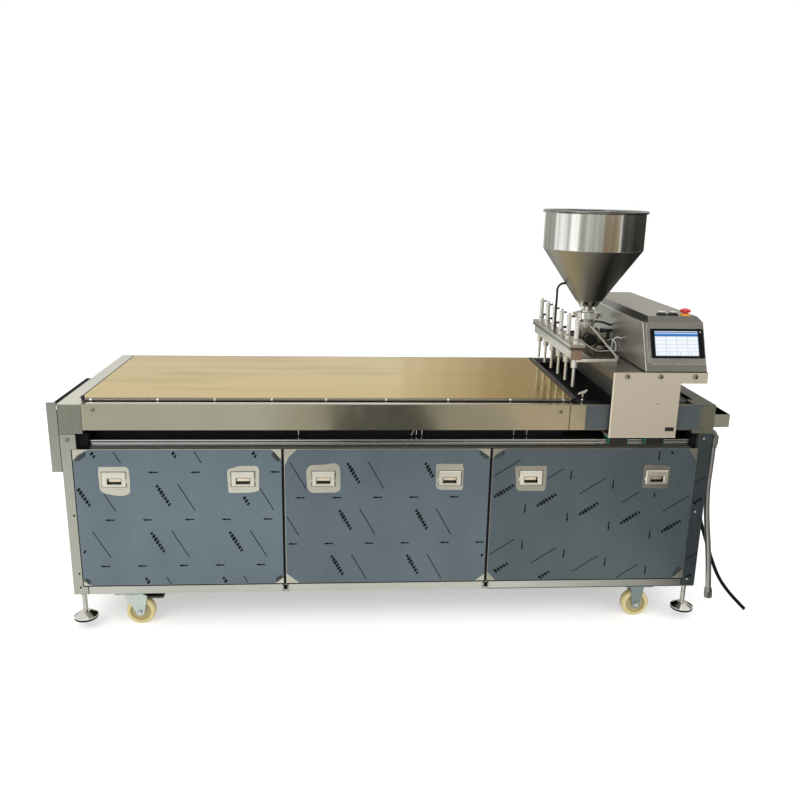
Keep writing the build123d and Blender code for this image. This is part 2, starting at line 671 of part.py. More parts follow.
# Linear rails: waisted profile rails on the two top beams.
with BuildPart() as linear_rail:
    with BuildSketch(Plane.YZ.offset(LEFT + TRACK_MARGIN_LEFT)):
        with BuildLine() as half_profile:
            waist = (TRACK_WIDTH - TRACK_WAIST) / 2
            middle = BEAM_TOP + TRACK_HEIGHT / 2
            outer = TRACK_Y + TRACK_WIDTH / 2
            Polyline((TRACK_Y, BEAM_TOP), (outer, BEAM_TOP), (outer, middle - 2 * waist),
                     (outer - waist, middle - waist), (outer - waist, middle), (outer, middle + waist),
                     (outer, BEAM_TOP + TRACK_HEIGHT - TRACK_EDGE),
                     (outer - TRACK_EDGE, BEAM_TOP + TRACK_HEIGHT),
                     (TRACK_Y, BEAM_TOP + TRACK_HEIGHT))
            mirror(half_profile.line, about=Plane(origin=(0, 0, 0), z_dir=(1, 0, 0)).offset(TRACK_Y))
        make_face()
    extrude(amount=TABLE_LENGTH - TRACK_MARGIN_LEFT - TRACK_MARGIN_RIGHT)
pieces["linear_rails"] = Compound(children=front_and_rear(linear_rail.part))

# Front panels: sheet faces in front of the legs, each with a return that stands on the bottom rail, and pulls.
panel_lefts = (LEFT + LEFT_MARGIN, panel_seams[0] + PANEL_GAP / 2, panel_seams[1] + PANEL_GAP / 2)
panel_rights = (panel_seams[0] - PANEL_GAP / 2, panel_seams[1] - PANEL_GAP / 2, RIGHT - RIGHT_MARGIN)
panel_back = FRONT - PANEL_CLEAR
panel_face = panel_back - SHEET
cup_width = HANDLE_WIDTH - 2 * HANDLE_FLANGE
cup_tall = HANDLE_TALL - 2 * HANDLE_FLANGE


def front_panel(left, right, handle_places):
    return_bottom = RAIL_TOP + RUNNER_CLEAR
    return_top = PANEL_TOP - RETURN_TOP_INSET
    return_width = right - left - 2 * RETURN_SIDE_INSET
    with BuildPart() as panel:
        with BuildSketch(Plane.XZ.offset(-panel_back)):
            with Locations(((left + right) / 2, (PANEL_BOTTOM + PANEL_TOP) / 2)):
                Rectangle(right - left, PANEL_TOP - PANEL_BOTTOM)
        extrude(amount=SHEET)
        with BuildSketch(Plane.XZ.offset(SHEET / 2 - panel_back)):
            with Locations(((left + right) / 2, (return_bottom + return_top) / 2)):
                Rectangle(return_width, return_top - return_bottom)
                Rectangle(return_width - 2 * SHEET, return_top - return_bottom - 2 * SHEET, mode=Mode.SUBTRACT)
        extrude(amount=-(PANEL_RETURN + SHEET / 2))
        with BuildSketch(Plane.XZ.offset(-panel_face)):
            with Locations(*[(place, HANDLE_HEIGHT) for place in handle_places]):
                Rectangle(cup_width + 2 * CUTOUT_CLEAR, cup_tall + 2 * CUTOUT_CLEAR)
        extrude(amount=-SHEET, mode=Mode.SUBTRACT)
    return panel.part


def pull_handle(place):
    with BuildPart() as handle:
        with BuildSketch(Plane.XZ.offset(-panel_face)):
            with Locations((place, HANDLE_HEIGHT)):
                RectangleRounded(HANDLE_WIDTH, HANDLE_TALL, HANDLE_CORNER)
        extrude(amount=HANDLE_RAISE, taper=HANDLE_TAPER)
        with BuildSketch(Plane.XZ.offset(-panel_face)):
            with Locations((place, HANDLE_HEIGHT)):
                Rectangle(cup_width, cup_tall)
        extrude(amount=-HANDLE_CUP)
        with BuildSketch(Plane.XZ.offset(-panel_face)):
            with Locations((place, HANDLE_HEIGHT)):
                Rectangle(cup_width - 2 * SHEET, cup_tall - 2 * SHEET)
        extrude(amount=-(HANDLE_CUP - SHEET), mode=Mode.SUBTRACT)
        with BuildSketch(Plane.XZ.offset(-panel_face)):
            with Locations((place, HANDLE_HEIGHT - HANDLE_SLOT_DROP)):
                Rectangle(HANDLE_SLOT_WIDTH, HANDLE_SLOT_TALL)
        extrude(amount=HANDLE_RAISE, mode=Mode.SUBTRACT)
        front = handle.faces().sort_by(Axis.Y)[0]
        chamfer(front.inner_wires()[0].edges(), HANDLE_LIP)
    return handle.part


panel_names = ("left_panel", "middle_panel", "right_panel")
for name, left, right, insets in zip(panel_names, panel_lefts, panel_rights, HANDLE_INSETS):
    places = (left + insets[0], right - insets[1])
    pieces[name] = front_panel(left, right, places)
    pieces[name + "_handles"] = Compound(children=[pull_handle(place) for place in places])

# Side panels: three sheets behind the rear posts and one at each end between the legs.
closing_sheets = []
for left, right in zip(panel_lefts, panel_rights):
    sheet_left = max(left, LEFT + LEG)
    sheet_right = min(right, RIGHT - LEG)
    with BuildPart() as rear_sheet:
        slab((sheet_left, BACK - BEAM_SETBACK, RAIL_TOP), (sheet_right, BACK - BEAM_SETBACK + SHEET, PANEL_TOP))
    closing_sheets.append(rear_sheet.part)
for sheet_left in (LEFT + END_PANEL_SETBACK, RIGHT - END_PANEL_SETBACK - SHEET):
    with BuildPart() as end_sheet:
        slab((sheet_left, FRONT + LEG, RAIL_TOP), (sheet_left + SHEET, BACK - LEG, LEG_TOP))
    closing_sheets.append(end_sheet.part)
pieces["side_panels"] = Compound(children=closing_sheets)


# Crumb drawer and right tray: open sheet boxes that stand on the runners, the drawer with a tall front plate.
def open_box(left, width, length, bottom, tall):
    with BuildPart() as box:
        slab((left, FRONT + SLIDE_SETBACK, bottom), (left + width, FRONT + SLIDE_SETBACK + length, bottom + tall))
        offset(amount=-SHEET, openings=box.faces().sort_by(Axis.Z)[-1])
    return box.part


drawer_left = LEFT - DRAWER_REACH
with BuildPart() as crumb_drawer:
    add(open_box(drawer_left, DRAWER_WIDTH, DRAWER_LENGTH, DRAWER_BOTTOM, DRAWER_TALL))
    slab((drawer_left, FRONT + SLIDE_SETBACK, DRAWER_BOTTOM + DRAWER_TALL - SHEET),
         (drawer_left + DRAWER_WIDTH, FRONT + SLIDE_SETBACK + SHEET, DRAWER_FRONT_TOP))
pieces["crumb_drawer"] = crumb_drawer.part
pieces["right_tray"] = open_box(RIGHT + TRAY_REACH - TRAY_WIDTH, TRAY_WIDTH, TRAY_LENGTH, TRAY_BOTTOM, TRAY_TALL)

# Burners: tube burners on two bearers between the beams, a manifold at their right end with its supply pipe, and
# the dark sheet box that closes them in under the plate.
bearer_bottom = BEAM_TOP - BEAM
burner_z = bearer_bottom + BEARER_TALL + BURNER_DIAMETER / 2 - SHEET
burner_left = LEFT + BURNER_START
manifold_x = burner_left + BURNER_LENGTH
burner_span = (BURNER_COUNT - 1) * BURNER_PITCH
supply_y = FRONT + SUPPLY_SETBACK + SUPPLY_DIAMETER / 2
with BuildPart() as burners:
    for place in BEARER_PLACES:
        slab((LEFT + place, BEAM_INNER, bearer_bottom),
             (LEFT + place + BEARER_THICK, -BEAM_INNER, bearer_bottom + BEARER_TALL))
    with BuildSketch(Plane.YZ.offset(burner_left)):
        with Locations((0, burner_z)):
            with GridLocations(BURNER_PITCH, 1, BURNER_COUNT, 1):
                Circle(BURNER_DIAMETER / 2)
    extrude(amount=BURNER_LENGTH)
    with BuildSketch(Plane.XZ.offset(-burner_span / 2)):
        with Locations((manifold_x, burner_z)):
            Circle(MANIFOLD_DIAMETER / 2)
    extrude(amount=burner_span / 2 - FRONT - SUPPLY_SETBACK)
    with BuildSketch(Plane.YZ.offset(manifold_x)):
        with Locations((supply_y, burner_z)):
            Circle(SUPPLY_DIAMETER / 2)
    extrude(amount=RIGHT - END_PANEL_SETBACK - SHEET - manifold_x)
box_left = LEFT + BOX_LEFT_SETBACK
box_right = PLATE_RIGHT - BOX_END_LAP
box_front = FRONT + BOX_FRONT_SETBACK
box_back = BACK - BOX_REAR_SETBACK
box_bottom = bearer_bottom + BEARER_TALL
with BuildPart() as burner_box:
    with BuildSketch(Plane.XY.offset(box_bottom)):
        with Locations(((box_left + box_right) / 2, (box_front + box_back) / 2)):
            Rectangle(box_right - box_left, box_back - box_front)
            Rectangle(box_right - box_left - 2 * SHEET, box_back - box_front - 2 * SHEET, mode=Mode.SUBTRACT)
    extrude(amount=PLATE_BOTTOM - SHEET - box_bottom)
    with BuildSketch(Plane.YZ.offset(box_right)):
        with Locations((supply_y, burner_z)):
            Circle(SUPPLY_DIAMETER / 2 + PLATE_GAP)
    extrude(amount=-2 * SHEET, mode=Mode.SUBTRACT)
pieces["burners"] = Compound(children=[burners.part, burner_box.part])

# Belt drive: geared motor on its shelf, drive pulley on the motor's shaft, idler pulley in its lug, and the belt.
gearbox_back = gearbox_front + GEARBOX_DEPTH
with BuildPart() as drive_motor:
    slab((motor_x - GEARBOX / 2, gearbox_front, shelf_top), (motor_x + GEARBOX / 2, gearbox_back, shelf_top + GEARBOX))
    fillet(drive_motor.edges().filter_by(Axis.Y), GEARBOX_CORNER)
    with BuildSketch(Plane.XZ.offset(-gearbox_front)):
        with Locations((motor_x, BELT_HEIGHT)):
            Circle(MOTOR_DIAMETER / 2)
    extrude(amount=MOTOR_LENGTH)
    fillet(drive_motor.faces().sort_by(Axis.Y)[0].edges(), MOTOR_ROUND)
    with BuildSketch(Plane.XZ.offset(-gearbox_back)):
        with Locations((motor_x, BELT_HEIGHT)):
            Circle(SHAFT_DIAMETER / 2 + RUNNING_FIT)
    extrude(amount=GEARBOX_DEPTH / 2, mode=Mode.SUBTRACT)
pieces["drive_motor"] = drive_motor.part


def pulley(x, shaft_start, shaft_end):
    """A plain pulley with its shaft, on an axis along Y."""
    with BuildPart() as wheel:
        with BuildSketch(Plane.XZ.offset(-(belt_y + PULLEY_WIDTH / 2))):
            with Locations((x, BELT_HEIGHT)):
                Circle(PULLEY_RADIUS)
        extrude(amount=PULLEY_WIDTH)
        with BuildSketch(Plane.XZ.offset(-shaft_end)):
            with Locations((x, BELT_HEIGHT)):
                Circle(SHAFT_DIAMETER / 2)
        extrude(amount=shaft_end - shaft_start)
    return wheel.part


pieces["drive_pulley"] = pulley(motor_x, gearbox_back - GEARBOX_DEPTH / 3, belt_y)
pieces["idler_pulley"] = pulley(idler_x, belt_y, rear_beam_inner - RUNNER_CLEAR)
belt_inner = PULLEY_RADIUS + BELT_CLEAR
with BuildPart() as drive_belt:
    with BuildSketch(Plane.XZ.offset(-(belt_y + BELT_WIDTH / 2))):
        with Locations(((idler_x + motor_x) / 2, BELT_HEIGHT)):
            SlotCenterToCenter(motor_x - idler_x, 2 * (belt_inner + BELT_THICKNESS))
            SlotCenterToCenter(motor_x - idler_x, 2 * belt_inner, mode=Mode.SUBTRACT)
    extrude(amount=BELT_WIDTH)
pieces["drive_belt"] = drive_belt.part

# Bearing blocks: four blocks that straddle the linear rails and carry the skirts' flanges.
block_bottom = BEAM_TOP + BLOCK_UNDERCUT
first_block = CARRIAGE_LEFT + (SKIRT_WIDTH - BLOCK_PITCH) / 2 - BLOCK_SHIFT


def bearing_block(left):
    with BuildPart() as block:
        with BuildSketch(Plane.YZ.offset(left)):
            with Locations((TRACK_Y, (block_bottom + SKIRT_BOTTOM) / 2)):
                RectangleRounded(BLOCK_WIDTH, SKIRT_BOTTOM - block_bottom, BLOCK_CORNER)
            with Locations((TRACK_Y, block_bottom)):
                Rectangle(TRACK_WIDTH + 2 * BLOCK_CLEAR, 2 * (TRACK_HEIGHT - BLOCK_UNDERCUT + BLOCK_CLEAR),
                          mode=Mode.SUBTRACT)
        extrude(amount=BLOCK_LENGTH)
    return block.part


blocks = []
for centre in (first_block, first_block + BLOCK_PITCH):
    blocks += front_and_rear(bearing_block(centre - BLOCK_LENGTH / 2))
pieces["bearing_blocks"] = Compound(children=blocks)

# Skirts: the carriage's side sheets, each with a flag behind the deck's overhang and a flange on the blocks.
skirt_right = CARRIAGE_LEFT + SKIRT_WIDTH
flange_inner = TRACK_Y + BLOCK_WIDTH / 2
with BuildPart() as front_skirt:
    with BuildSketch(Plane.XZ.offset(-SKIRT_INNER)):
        with BuildLine():
            Polyline((CARRIAGE_LEFT, SKIRT_BOTTOM), (skirt_right, SKIRT_BOTTOM), (skirt_right, FLAG_BOTTOM),
                     (DECK_RIGHT, FLAG_BOTTOM), (DECK_RIGHT, SKIRT_TOP), (CARRIAGE_LEFT, SKIRT_TOP), close=True)
        make_face()
    extrude(amount=SKIRT_SHEET)
    slab((CARRIAGE_LEFT, SKIRT_INNER, SKIRT_BOTTOM), (skirt_right, flange_inner, SKIRT_BOTTOM + SKIRT_SHEET))
arm_middle = CARRIAGE_LEFT + SKIRT_WIDTH / 2
clamp_bottom = BELT_HEIGHT + belt_inner + BELT_THICKNESS + BELT_CLEAR
with BuildPart() as rear_skirt:
    add(front_skirt.part.mirror(Plane.XZ))
    slab((arm_middle - BELT_ARM_WIDTH / 2, belt_y - BELT_WIDTH / 2, SKIRT_BOTTOM),
         (arm_middle + BELT_ARM_WIDTH / 2, -flange_inner, SKIRT_BOTTOM + SKIRT_SHEET))
    slab((arm_middle - BELT_ARM_WIDTH / 2, belt_y - BELT_WIDTH / 2, clamp_bottom),
         (arm_middle + BELT_ARM_WIDTH / 2, belt_y + BELT_WIDTH / 2, SKIRT_BOTTOM))
pieces["skirts"] = Compound(children=[front_skirt.part, rear_skirt.part])

# Cross beam and deck plate: a wide tube between the skirts, under a folded deck with two arms for the nozzle bar.
beam_top = DECK_TOP - SKIRT_SHEET
across = Plane.XZ.offset(SKIRT_INNER)
beam_middle = (CARRIAGE_LEFT + SKIRT_SHEET + CARRIAGE_BEAM_WIDTH / 2, beam_top - CARRIAGE_BEAM_TALL / 2)
pieces["cross_beam"] = square_tube(across, beam_middle, CARRIAGE_BEAM_WIDTH, CARRIAGE_BEAM_TALL, CARRIAGE_DEPTH)
lip_bottom = DECK_TOP - DECK_LIP
deck_section = ((CARRIAGE_LEFT, lip_bottom), (CARRIAGE_LEFT, DECK_TOP), (DECK_RIGHT, DECK_TOP),
                (DECK_RIGHT, lip_bottom))
bar_half = BAR_LENGTH / 2
with BuildPart() as deck_plate:
    add(folded_sheet(across, deck_section, Side.RIGHT, CARRIAGE_DEPTH, SKIRT_SHEET))
    for arm_y in (HEAD_Y - bar_half + BAR_END, HEAD_Y + bar_half - BAR_END):
        slab((CARRIAGE_LEFT - ARM_REACH, arm_y - ARM_WIDTH / 2, DECK_TOP),
             (CARRIAGE_LEFT + ARM_LAP, arm_y + ARM_WIDTH / 2, BAR_BOTTOM))
pieces["deck_plate"] = deck_plate.part

# Control housing: a folded sheet shell with a leaning front face, chamfered along the roof and open underneath.
face_bottom = FRONT + HOUSING_FRONT
face_top = face_bottom + FACE_RUN
face_length = math.hypot(FACE_RUN, HOUSING_HEIGHT)
touch_x = DECK_RIGHT - TOUCH_FROM_RIGHT
up_share = TOUCH_UP_FACE / face_length
touch_origin = (touch_x, face_bottom + FACE_RUN * up_share, DECK_TOP + HOUSING_HEIGHT * up_share)
touch_plane = Plane(origin=touch_origin, x_dir=(1, 0, 0), z_dir=(0, -HOUSING_HEIGHT, FACE_RUN))
control_y = face_top + CONTROL_SETBACK
button_xs = [HOUSING_LEFT + place for place in BUTTON_PLACES]
estop_x = HOUSING_LEFT + ESTOP_PLACE
with BuildPart() as housing:
    with BuildSketch(Plane.YZ.offset(HOUSING_LEFT)):
        with BuildLine():
            Polyline((face_bottom, DECK_TOP), (face_top, ROOF), (FRONT + HOUSING_REAR, ROOF),
                     (FRONT + HOUSING_REAR, DECK_TOP), close=True)
        make_face()
    extrude(amount=HOUSING_WIDTH)
    roof_face = housing.faces().sort_by(Axis.Z)[-1]
    chamfer(roof_face.edges().filter_by(Axis.Y), HOUSING_CHAMFER)
    offset(amount=-SHEET, openings=housing.faces().sort_by(Axis.Z)[0])
    with BuildSketch(touch_plane):
        Rectangle(TOUCH_BODY_WIDTH + 2 * CUTOUT_CLEAR, TOUCH_BODY_TALL + 2 * CUTOUT_CLEAR)
    extrude(amount=-2 * SHEET, mode=Mode.SUBTRACT)
    with BuildSketch(Plane.XY.offset(ROOF)):
        with Locations(*[(x, control_y) for x in button_xs + [estop_x]]):
            Circle(SWITCH_BODY / 2 + CUTOUT_CLEAR)
    extrude(amount=-2 * SHEET, mode=Mode.SUBTRACT)
    with BuildSketch(Plane.YZ.offset(HOUSING_LEFT)):
        with Locations((HEAD_Y, VALVE_MIDDLE)):
            Circle(DOSER_DIAMETER / 2 + DOSER_WALL_CLEAR)
    extrude(amount=2 * SHEET, mode=Mode.SUBTRACT)
pieces["housing"] = housing.part

# Touch panel: a rounded bezel with a recessed screen on the leaning face, and its body through the cut-out.
with BuildPart() as touch_panel:
    with BuildSketch(touch_plane):
        RectangleRounded(TOUCH_WIDTH, TOUCH_TALL, TOUCH_CORNER)
    extrude(amount=TOUCH_THICK)
    fillet(touch_panel.faces().sort_by(Axis((0, 0, 0), touch_plane.z_dir))[-1].edges(), TOUCH_EDGE)
    with BuildSketch(touch_plane.offset(TOUCH_THICK)):
        Rectangle(SCREEN_WIDTH, SCREEN_TALL)
    extrude(amount=-SCREEN_RECESS, mode=Mode.SUBTRACT)
    with BuildSketch(touch_plane):
        Rectangle(TOUCH_BODY_WIDTH, TOUCH_BODY_TALL)
    extrude(amount=-TOUCH_BODY_DEPTH)
pieces["touch_panel"] = touch_panel.part

# Push buttons and emergency stop: switch bodies through the roof, and the caps that press into them.
stem_bottom = ROOF - STEM_DEPTH
bezel_floor = ROOF + BEZEL_FLOOR
bezels = []
for x in button_xs:
    bezels.append(turned(x, control_y, (
        (BUTTON_STEM / 2 + RUNNING_FIT, ROOF - SWITCH_DEPTH), (SWITCH_BODY / 2, ROOF - SWITCH_DEPTH),
        (SWITCH_BODY / 2, ROOF), (BEZEL_DIAMETER / 2, ROOF), (BEZEL_DIAMETER / 2, ROOF + BEZEL_HEIGHT - BEZEL_EDGE),
        (BEZEL_DIAMETER / 2 - BEZEL_EDGE, ROOF + BEZEL_HEIGHT),
        (BUTTON_DIAMETER / 2 + CUTOUT_CLEAR, ROOF + BEZEL_HEIGHT),
        (BUTTON_DIAMETER / 2 + CUTOUT_CLEAR, bezel_floor), (BUTTON_STEM / 2 + RUNNING_FIT, bezel_floor))))
bezels.append(turned(estop_x, control_y, (
    (ESTOP_NECK / 2 + RUNNING_FIT, ROOF - SWITCH_DEPTH), (SWITCH_BODY / 2, ROOF - SWITCH_DEPTH),
    (SWITCH_BODY / 2, ROOF), (ESTOP_BASE / 2, ROOF), (ESTOP_BASE / 2 - ESTOP_BASE_TAPER, ROOF + ESTOP_BASE_HEIGHT),
    (ESTOP_NECK / 2 + RUNNING_FIT, ROOF + ESTOP_BASE_HEIGHT))))
pieces["control_bezels"] = Compound(children=bezels)
cap_bottom = bezel_floor + BUTTON_TRAVEL + RUNNER_CLEAR
for name, x in zip(("start_button", "stop_button"), button_xs):
    pieces[name] = turned(x, control_y, (
        (0, stem_bottom), (BUTTON_STEM / 2, stem_bottom), (BUTTON_STEM / 2, cap_bottom),
        (BUTTON_DIAMETER / 2, cap_bottom), (BUTTON_DIAMETER / 2, cap_bottom + BUTTON_HEIGHT - BEZEL_EDGE),
        (BUTTON_DIAMETER / 2 - BEZEL_EDGE, cap_bottom + BUTTON_HEIGHT), (0, cap_bottom + BUTTON_HEIGHT)))
head_bottom = ROOF + ESTOP_BASE_HEIGHT + ESTOP_TRAVEL + RUNNER_CLEAR
head_side = head_bottom + ESTOP_HEAD_HEIGHT / 2
head_top = head_bottom + ESTOP_HEAD_HEIGHT
dome_radius = ((ESTOP_HEAD / 2) ** 2 + (head_top - head_side) ** 2) / (2 * (head_top - head_side))
half_dome = math.asin(ESTOP_HEAD / 2 / dome_radius) / 2
dome_middle = (dome_radius * math.sin(half_dome), head_top - dome_radius * (1 - math.cos(half_dome)))
with BuildPart() as estop_head:
    with BuildSketch(Plane.XZ):
        with BuildLine():
            skirt_line = Polyline((0, head_top), (0, stem_bottom), (ESTOP_NECK / 2, stem_bottom),
                                  (ESTOP_NECK / 2, head_bottom), (ESTOP_HEAD / 2 - ESTOP_HEAD_TAPER, head_bottom),
                                  (ESTOP_HEAD / 2, head_side))
            ThreePointArc(skirt_line @ 1, dome_middle, skirt_line @ 0)
        make_face()
    revolve(axis=Axis.Z)
pieces["estop_head"] = estop_head.part.moved(Location((estop_x, control_y, 0)))

# Hopper: a spun bowl with a rolled rim, a cone and a neck that ends in a clamp ferrule.
bowl = HOPPER_DIAMETER / 2
neck = HOPPER_NECK / 2
pipe_radius = RETURN_PIPE / 2 + PIPE_CLEAR
return_x = NOZZLE_X - RETURN_PIPE_OFFSET
cone_share = (RETURN_HEIGHT - HOPPER_NECK_TOP) / (HOPPER_SHOULDER - HOPPER_NECK_TOP)
cone_radius = neck + cone_share * (bowl - neck)
with BuildPart() as hopper:
    with BuildSketch(Plane.XZ):
        with BuildLine():
            wall = Polyline((bowl, HOPPER_TOP), (bowl, HOPPER_SHOULDER), (neck, HOPPER_NECK_TOP),
                            (neck, JOINT_HEIGHT))
            offset(wall, amount=HOPPER_WALL, side=Side.RIGHT, kind=Kind.INTERSECTION)
        make_face()
        with Locations((bowl + RIM_ROLL / 2 - HOPPER_WALL, HOPPER_TOP)):
            Circle(RIM_ROLL / 2)
        with Locations(((neck - HOPPER_WALL + FERRULE_DIAMETER / 2) / 2, JOINT_HEIGHT + FERRULE_THICK / 2)):
            Rectangle(FERRULE_DIAMETER / 2 - neck + HOPPER_WALL, FERRULE_THICK)
    revolve(axis=Axis.Z)
    with BuildSketch(Plane.YZ.offset(-bowl)):
        with Locations((0, RETURN_HEIGHT)):
            Circle(pipe_radius)
    extrude(amount=bowl, mode=Mode.SUBTRACT)
pieces["hopper"] = hopper.part.moved(Location((HOPPER_X, HEAD_Y, 0)))

# Clamp ring: a grooved ring over the two ferrules, with a hinge ear and a bolt ear.
ring_inner = FERRULE_DIAMETER / 2 - CLAMP_LIP
groove = FERRULE_DIAMETER / 2 + CLAMP_CLEAR
groove_half = FERRULE_THICK + CLAMP_CLEAR
clamp_bottom_z = JOINT_HEIGHT - CLAMP_TALL / 2
with BuildPart() as clamp_ring:
    with BuildSketch(Plane.XZ):
        with BuildLine():
            Polyline((ring_inner, clamp_bottom_z), (CLAMP_DIAMETER / 2, clamp_bottom_z),
                     (CLAMP_DIAMETER / 2, clamp_bottom_z + CLAMP_TALL), (ring_inner, clamp_bottom_z + CLAMP_TALL),
                     (ring_inner, JOINT_HEIGHT + groove_half), (groove, JOINT_HEIGHT + groove_half),
                     (groove, JOINT_HEIGHT - groove_half), (ring_inner, JOINT_HEIGHT - groove_half), close=True)
        make_face()
    revolve(axis=Axis.Z)
    with BuildSketch(Plane.XY.offset(clamp_bottom_z)):
        with Locations((CLAMP_DIAMETER / 2 + CLAMP_EAR / 3, 0), (-CLAMP_DIAMETER / 2 - CLAMP_EAR / 3, 0)):
            RectangleRounded(CLAMP_EAR, CLAMP_EAR_THICK, CLAMP_EAR_CORNER)
    extrude(amount=CLAMP_TALL)
pieces["clamp_ring"] = clamp_ring.part.moved(Location((HOPPER_X, HEAD_Y, 0)))

# Valve body: a rounded block on the deck with a spigot and ferrule on top, an outlet pipe to the bar and a port
# to the dosing cylinder, all drilled into the plug's cross bore.
valve_left = HOPPER_X - VALVE_LENGTH / 2
valve_right = HOPPER_X + VALVE_LENGTH / 2
bar_right = NOZZLE_X + BAR_WIDTH / 2
ferrule_bottom = JOINT_HEIGHT - FERRULE_THICK
with BuildPart() as valve_body:
    with BuildSketch(Plane.XY.offset(DECK_TOP)):
        with Locations((HOPPER_X, HEAD_Y)):
            RectangleRounded(VALVE_LENGTH, VALVE_DEPTH, VALVE_CORNER)
    extrude(amount=VALVE_HEIGHT)
    with BuildSketch(Plane.XY.offset(VALVE_TOP)):
        with Locations((HOPPER_X, HEAD_Y)):
            Circle(SPIGOT_DIAMETER / 2)
    extrude(amount=JOINT_HEIGHT - VALVE_TOP)
    with BuildSketch(Plane.XY.offset(ferrule_bottom)):
        with Locations((HOPPER_X, HEAD_Y)):
            Circle(FERRULE_DIAMETER / 2)
    extrude(amount=FERRULE_THICK)
    with BuildSketch(Plane.YZ.offset(bar_right)):
        with Locations((HEAD_Y, BAR_MIDDLE)):
            Circle(OUTLET_DIAMETER / 2)
    extrude(amount=HOPPER_X - bar_right)
    with BuildSketch(Plane.XY.offset(VALVE_MIDDLE)):
        with Locations((HOPPER_X, HEAD_Y)):
            Circle(PORT_BORE / 2)
    extrude(amount=JOINT_HEIGHT - VALVE_MIDDLE, mode=Mode.SUBTRACT)
    with BuildSketch(Plane.YZ.offset(bar_right)):
        with Locations((HEAD_Y, BAR_MIDDLE)):
            Circle(OUTLET_BORE / 2)
    extrude(amount=HOPPER_X - bar_right, mode=Mode.SUBTRACT)
    with BuildSketch(Plane.YZ.offset(HOPPER_X)):
        with Locations((HEAD_Y, VALVE_MIDDLE)):
            Circle(PORT_BORE / 2)
    extrude(amount=VALVE_LENGTH / 2, mode=Mode.SUBTRACT)
    with BuildSketch(Plane.XZ.offset(-(HEAD_Y + VALVE_DEPTH / 2))):
        with Locations((HOPPER_X, VALVE_MIDDLE)):
            Circle(PLUG_DIAMETER / 2 + RUNNING_FIT)
    extrude(amount=VALVE_DEPTH, mode=Mode.SUBTRACT)
pieces["valve_body"] = valve_body.part

# Valve plug: a turned plug cut away on its upper right, with a stem and the black hub at the front.
valve_front = HEAD_Y - VALVE_DEPTH / 2
cut_half = PORT_BORE / 2 + PLUG_CUT_MARGIN
cut_plane = Plane(origin=(HOPPER_X, HEAD_Y, VALVE_MIDDLE), x_dir=(0, 1, 0), z_dir=(1, 0, 1))
with BuildPart() as valve_plug:
    with BuildSketch(Plane.XZ.offset(-(HEAD_Y + VALVE_DEPTH / 2))):
        with Locations((HOPPER_X, VALVE_MIDDLE)):
            Circle(PLUG_DIAMETER / 2)
    extrude(amount=VALVE_DEPTH)
    with BuildSketch(cut_plane):
        Rectangle(2 * cut_half, 2 * PLUG_DIAMETER)
    extrude(amount=PLUG_DIAMETER, mode=Mode.SUBTRACT)
    with BuildSketch(Plane.XZ.offset(-valve_front)):
        with Locations((HOPPER_X, VALVE_MIDDLE)):
            Circle(PLUG_STEM / 2)
    extrude(amount=PLUG_STEM_LENGTH)
    with BuildSketch(Plane.XZ.offset(-(valve_front - PLUG_STEM_LENGTH))):
        with Locations((HOPPER_X, VALVE_MIDDLE)):
            Circle(PLUG_HUB / 2)
    extrude(amount=PLUG_HUB_THICK)
    fillet(valve_plug.faces().sort_by(Axis.Y)[0].edges(), PLUG_HUB_ROUND)
pieces["valve_plug"] = valve_plug.part


# Dosing cylinder and piston: a flanged barrel on the valve's right port, and the piston with its rod.
def turned_along_x(start_x, outline):
    """A turned piece on the valve's axis along X: its outline is given as distance from start_x and radius."""
    with BuildPart() as body:
        with BuildSketch(Plane.XY):
            with BuildLine():
                Polyline(*outline, close=True)
            make_face()
        revolve(axis=Axis.X)
    return body.part.moved(Location((start_x, HEAD_Y, VALVE_MIDDLE)))


rod_hole = DOSER_ROD / 2 + RUNNING_FIT
end_cap = DOSER_LENGTH - DOSER_FLANGE_THICK
pieces["dosing_cylinder"] = turned_along_x(valve_right, (
    (0, DOSER_BORE / 2), (0, DOSER_FLANGE / 2), (DOSER_FLANGE_THICK, DOSER_FLANGE / 2),
    (DOSER_FLANGE_THICK, DOSER_DIAMETER / 2), (DOSER_LENGTH, DOSER_DIAMETER / 2), (DOSER_LENGTH, rod_hole),
    (end_cap, rod_hole), (end_cap, DOSER_BORE / 2)))
piston_radius = DOSER_BORE / 2 - RUNNING_FIT
piston_end = DOSER_REST + DOSER_PISTON
pieces["dosing_piston"] = turned_along_x(valve_right, (
    (DOSER_REST, 0), (DOSER_REST, piston_radius), (piston_end, piston_radius), (piston_end, DOSER_ROD / 2),
    (piston_end + DOSER_ROD_LENGTH, DOSER_ROD / 2), (piston_end + DOSER_ROD_LENGTH, 0)))

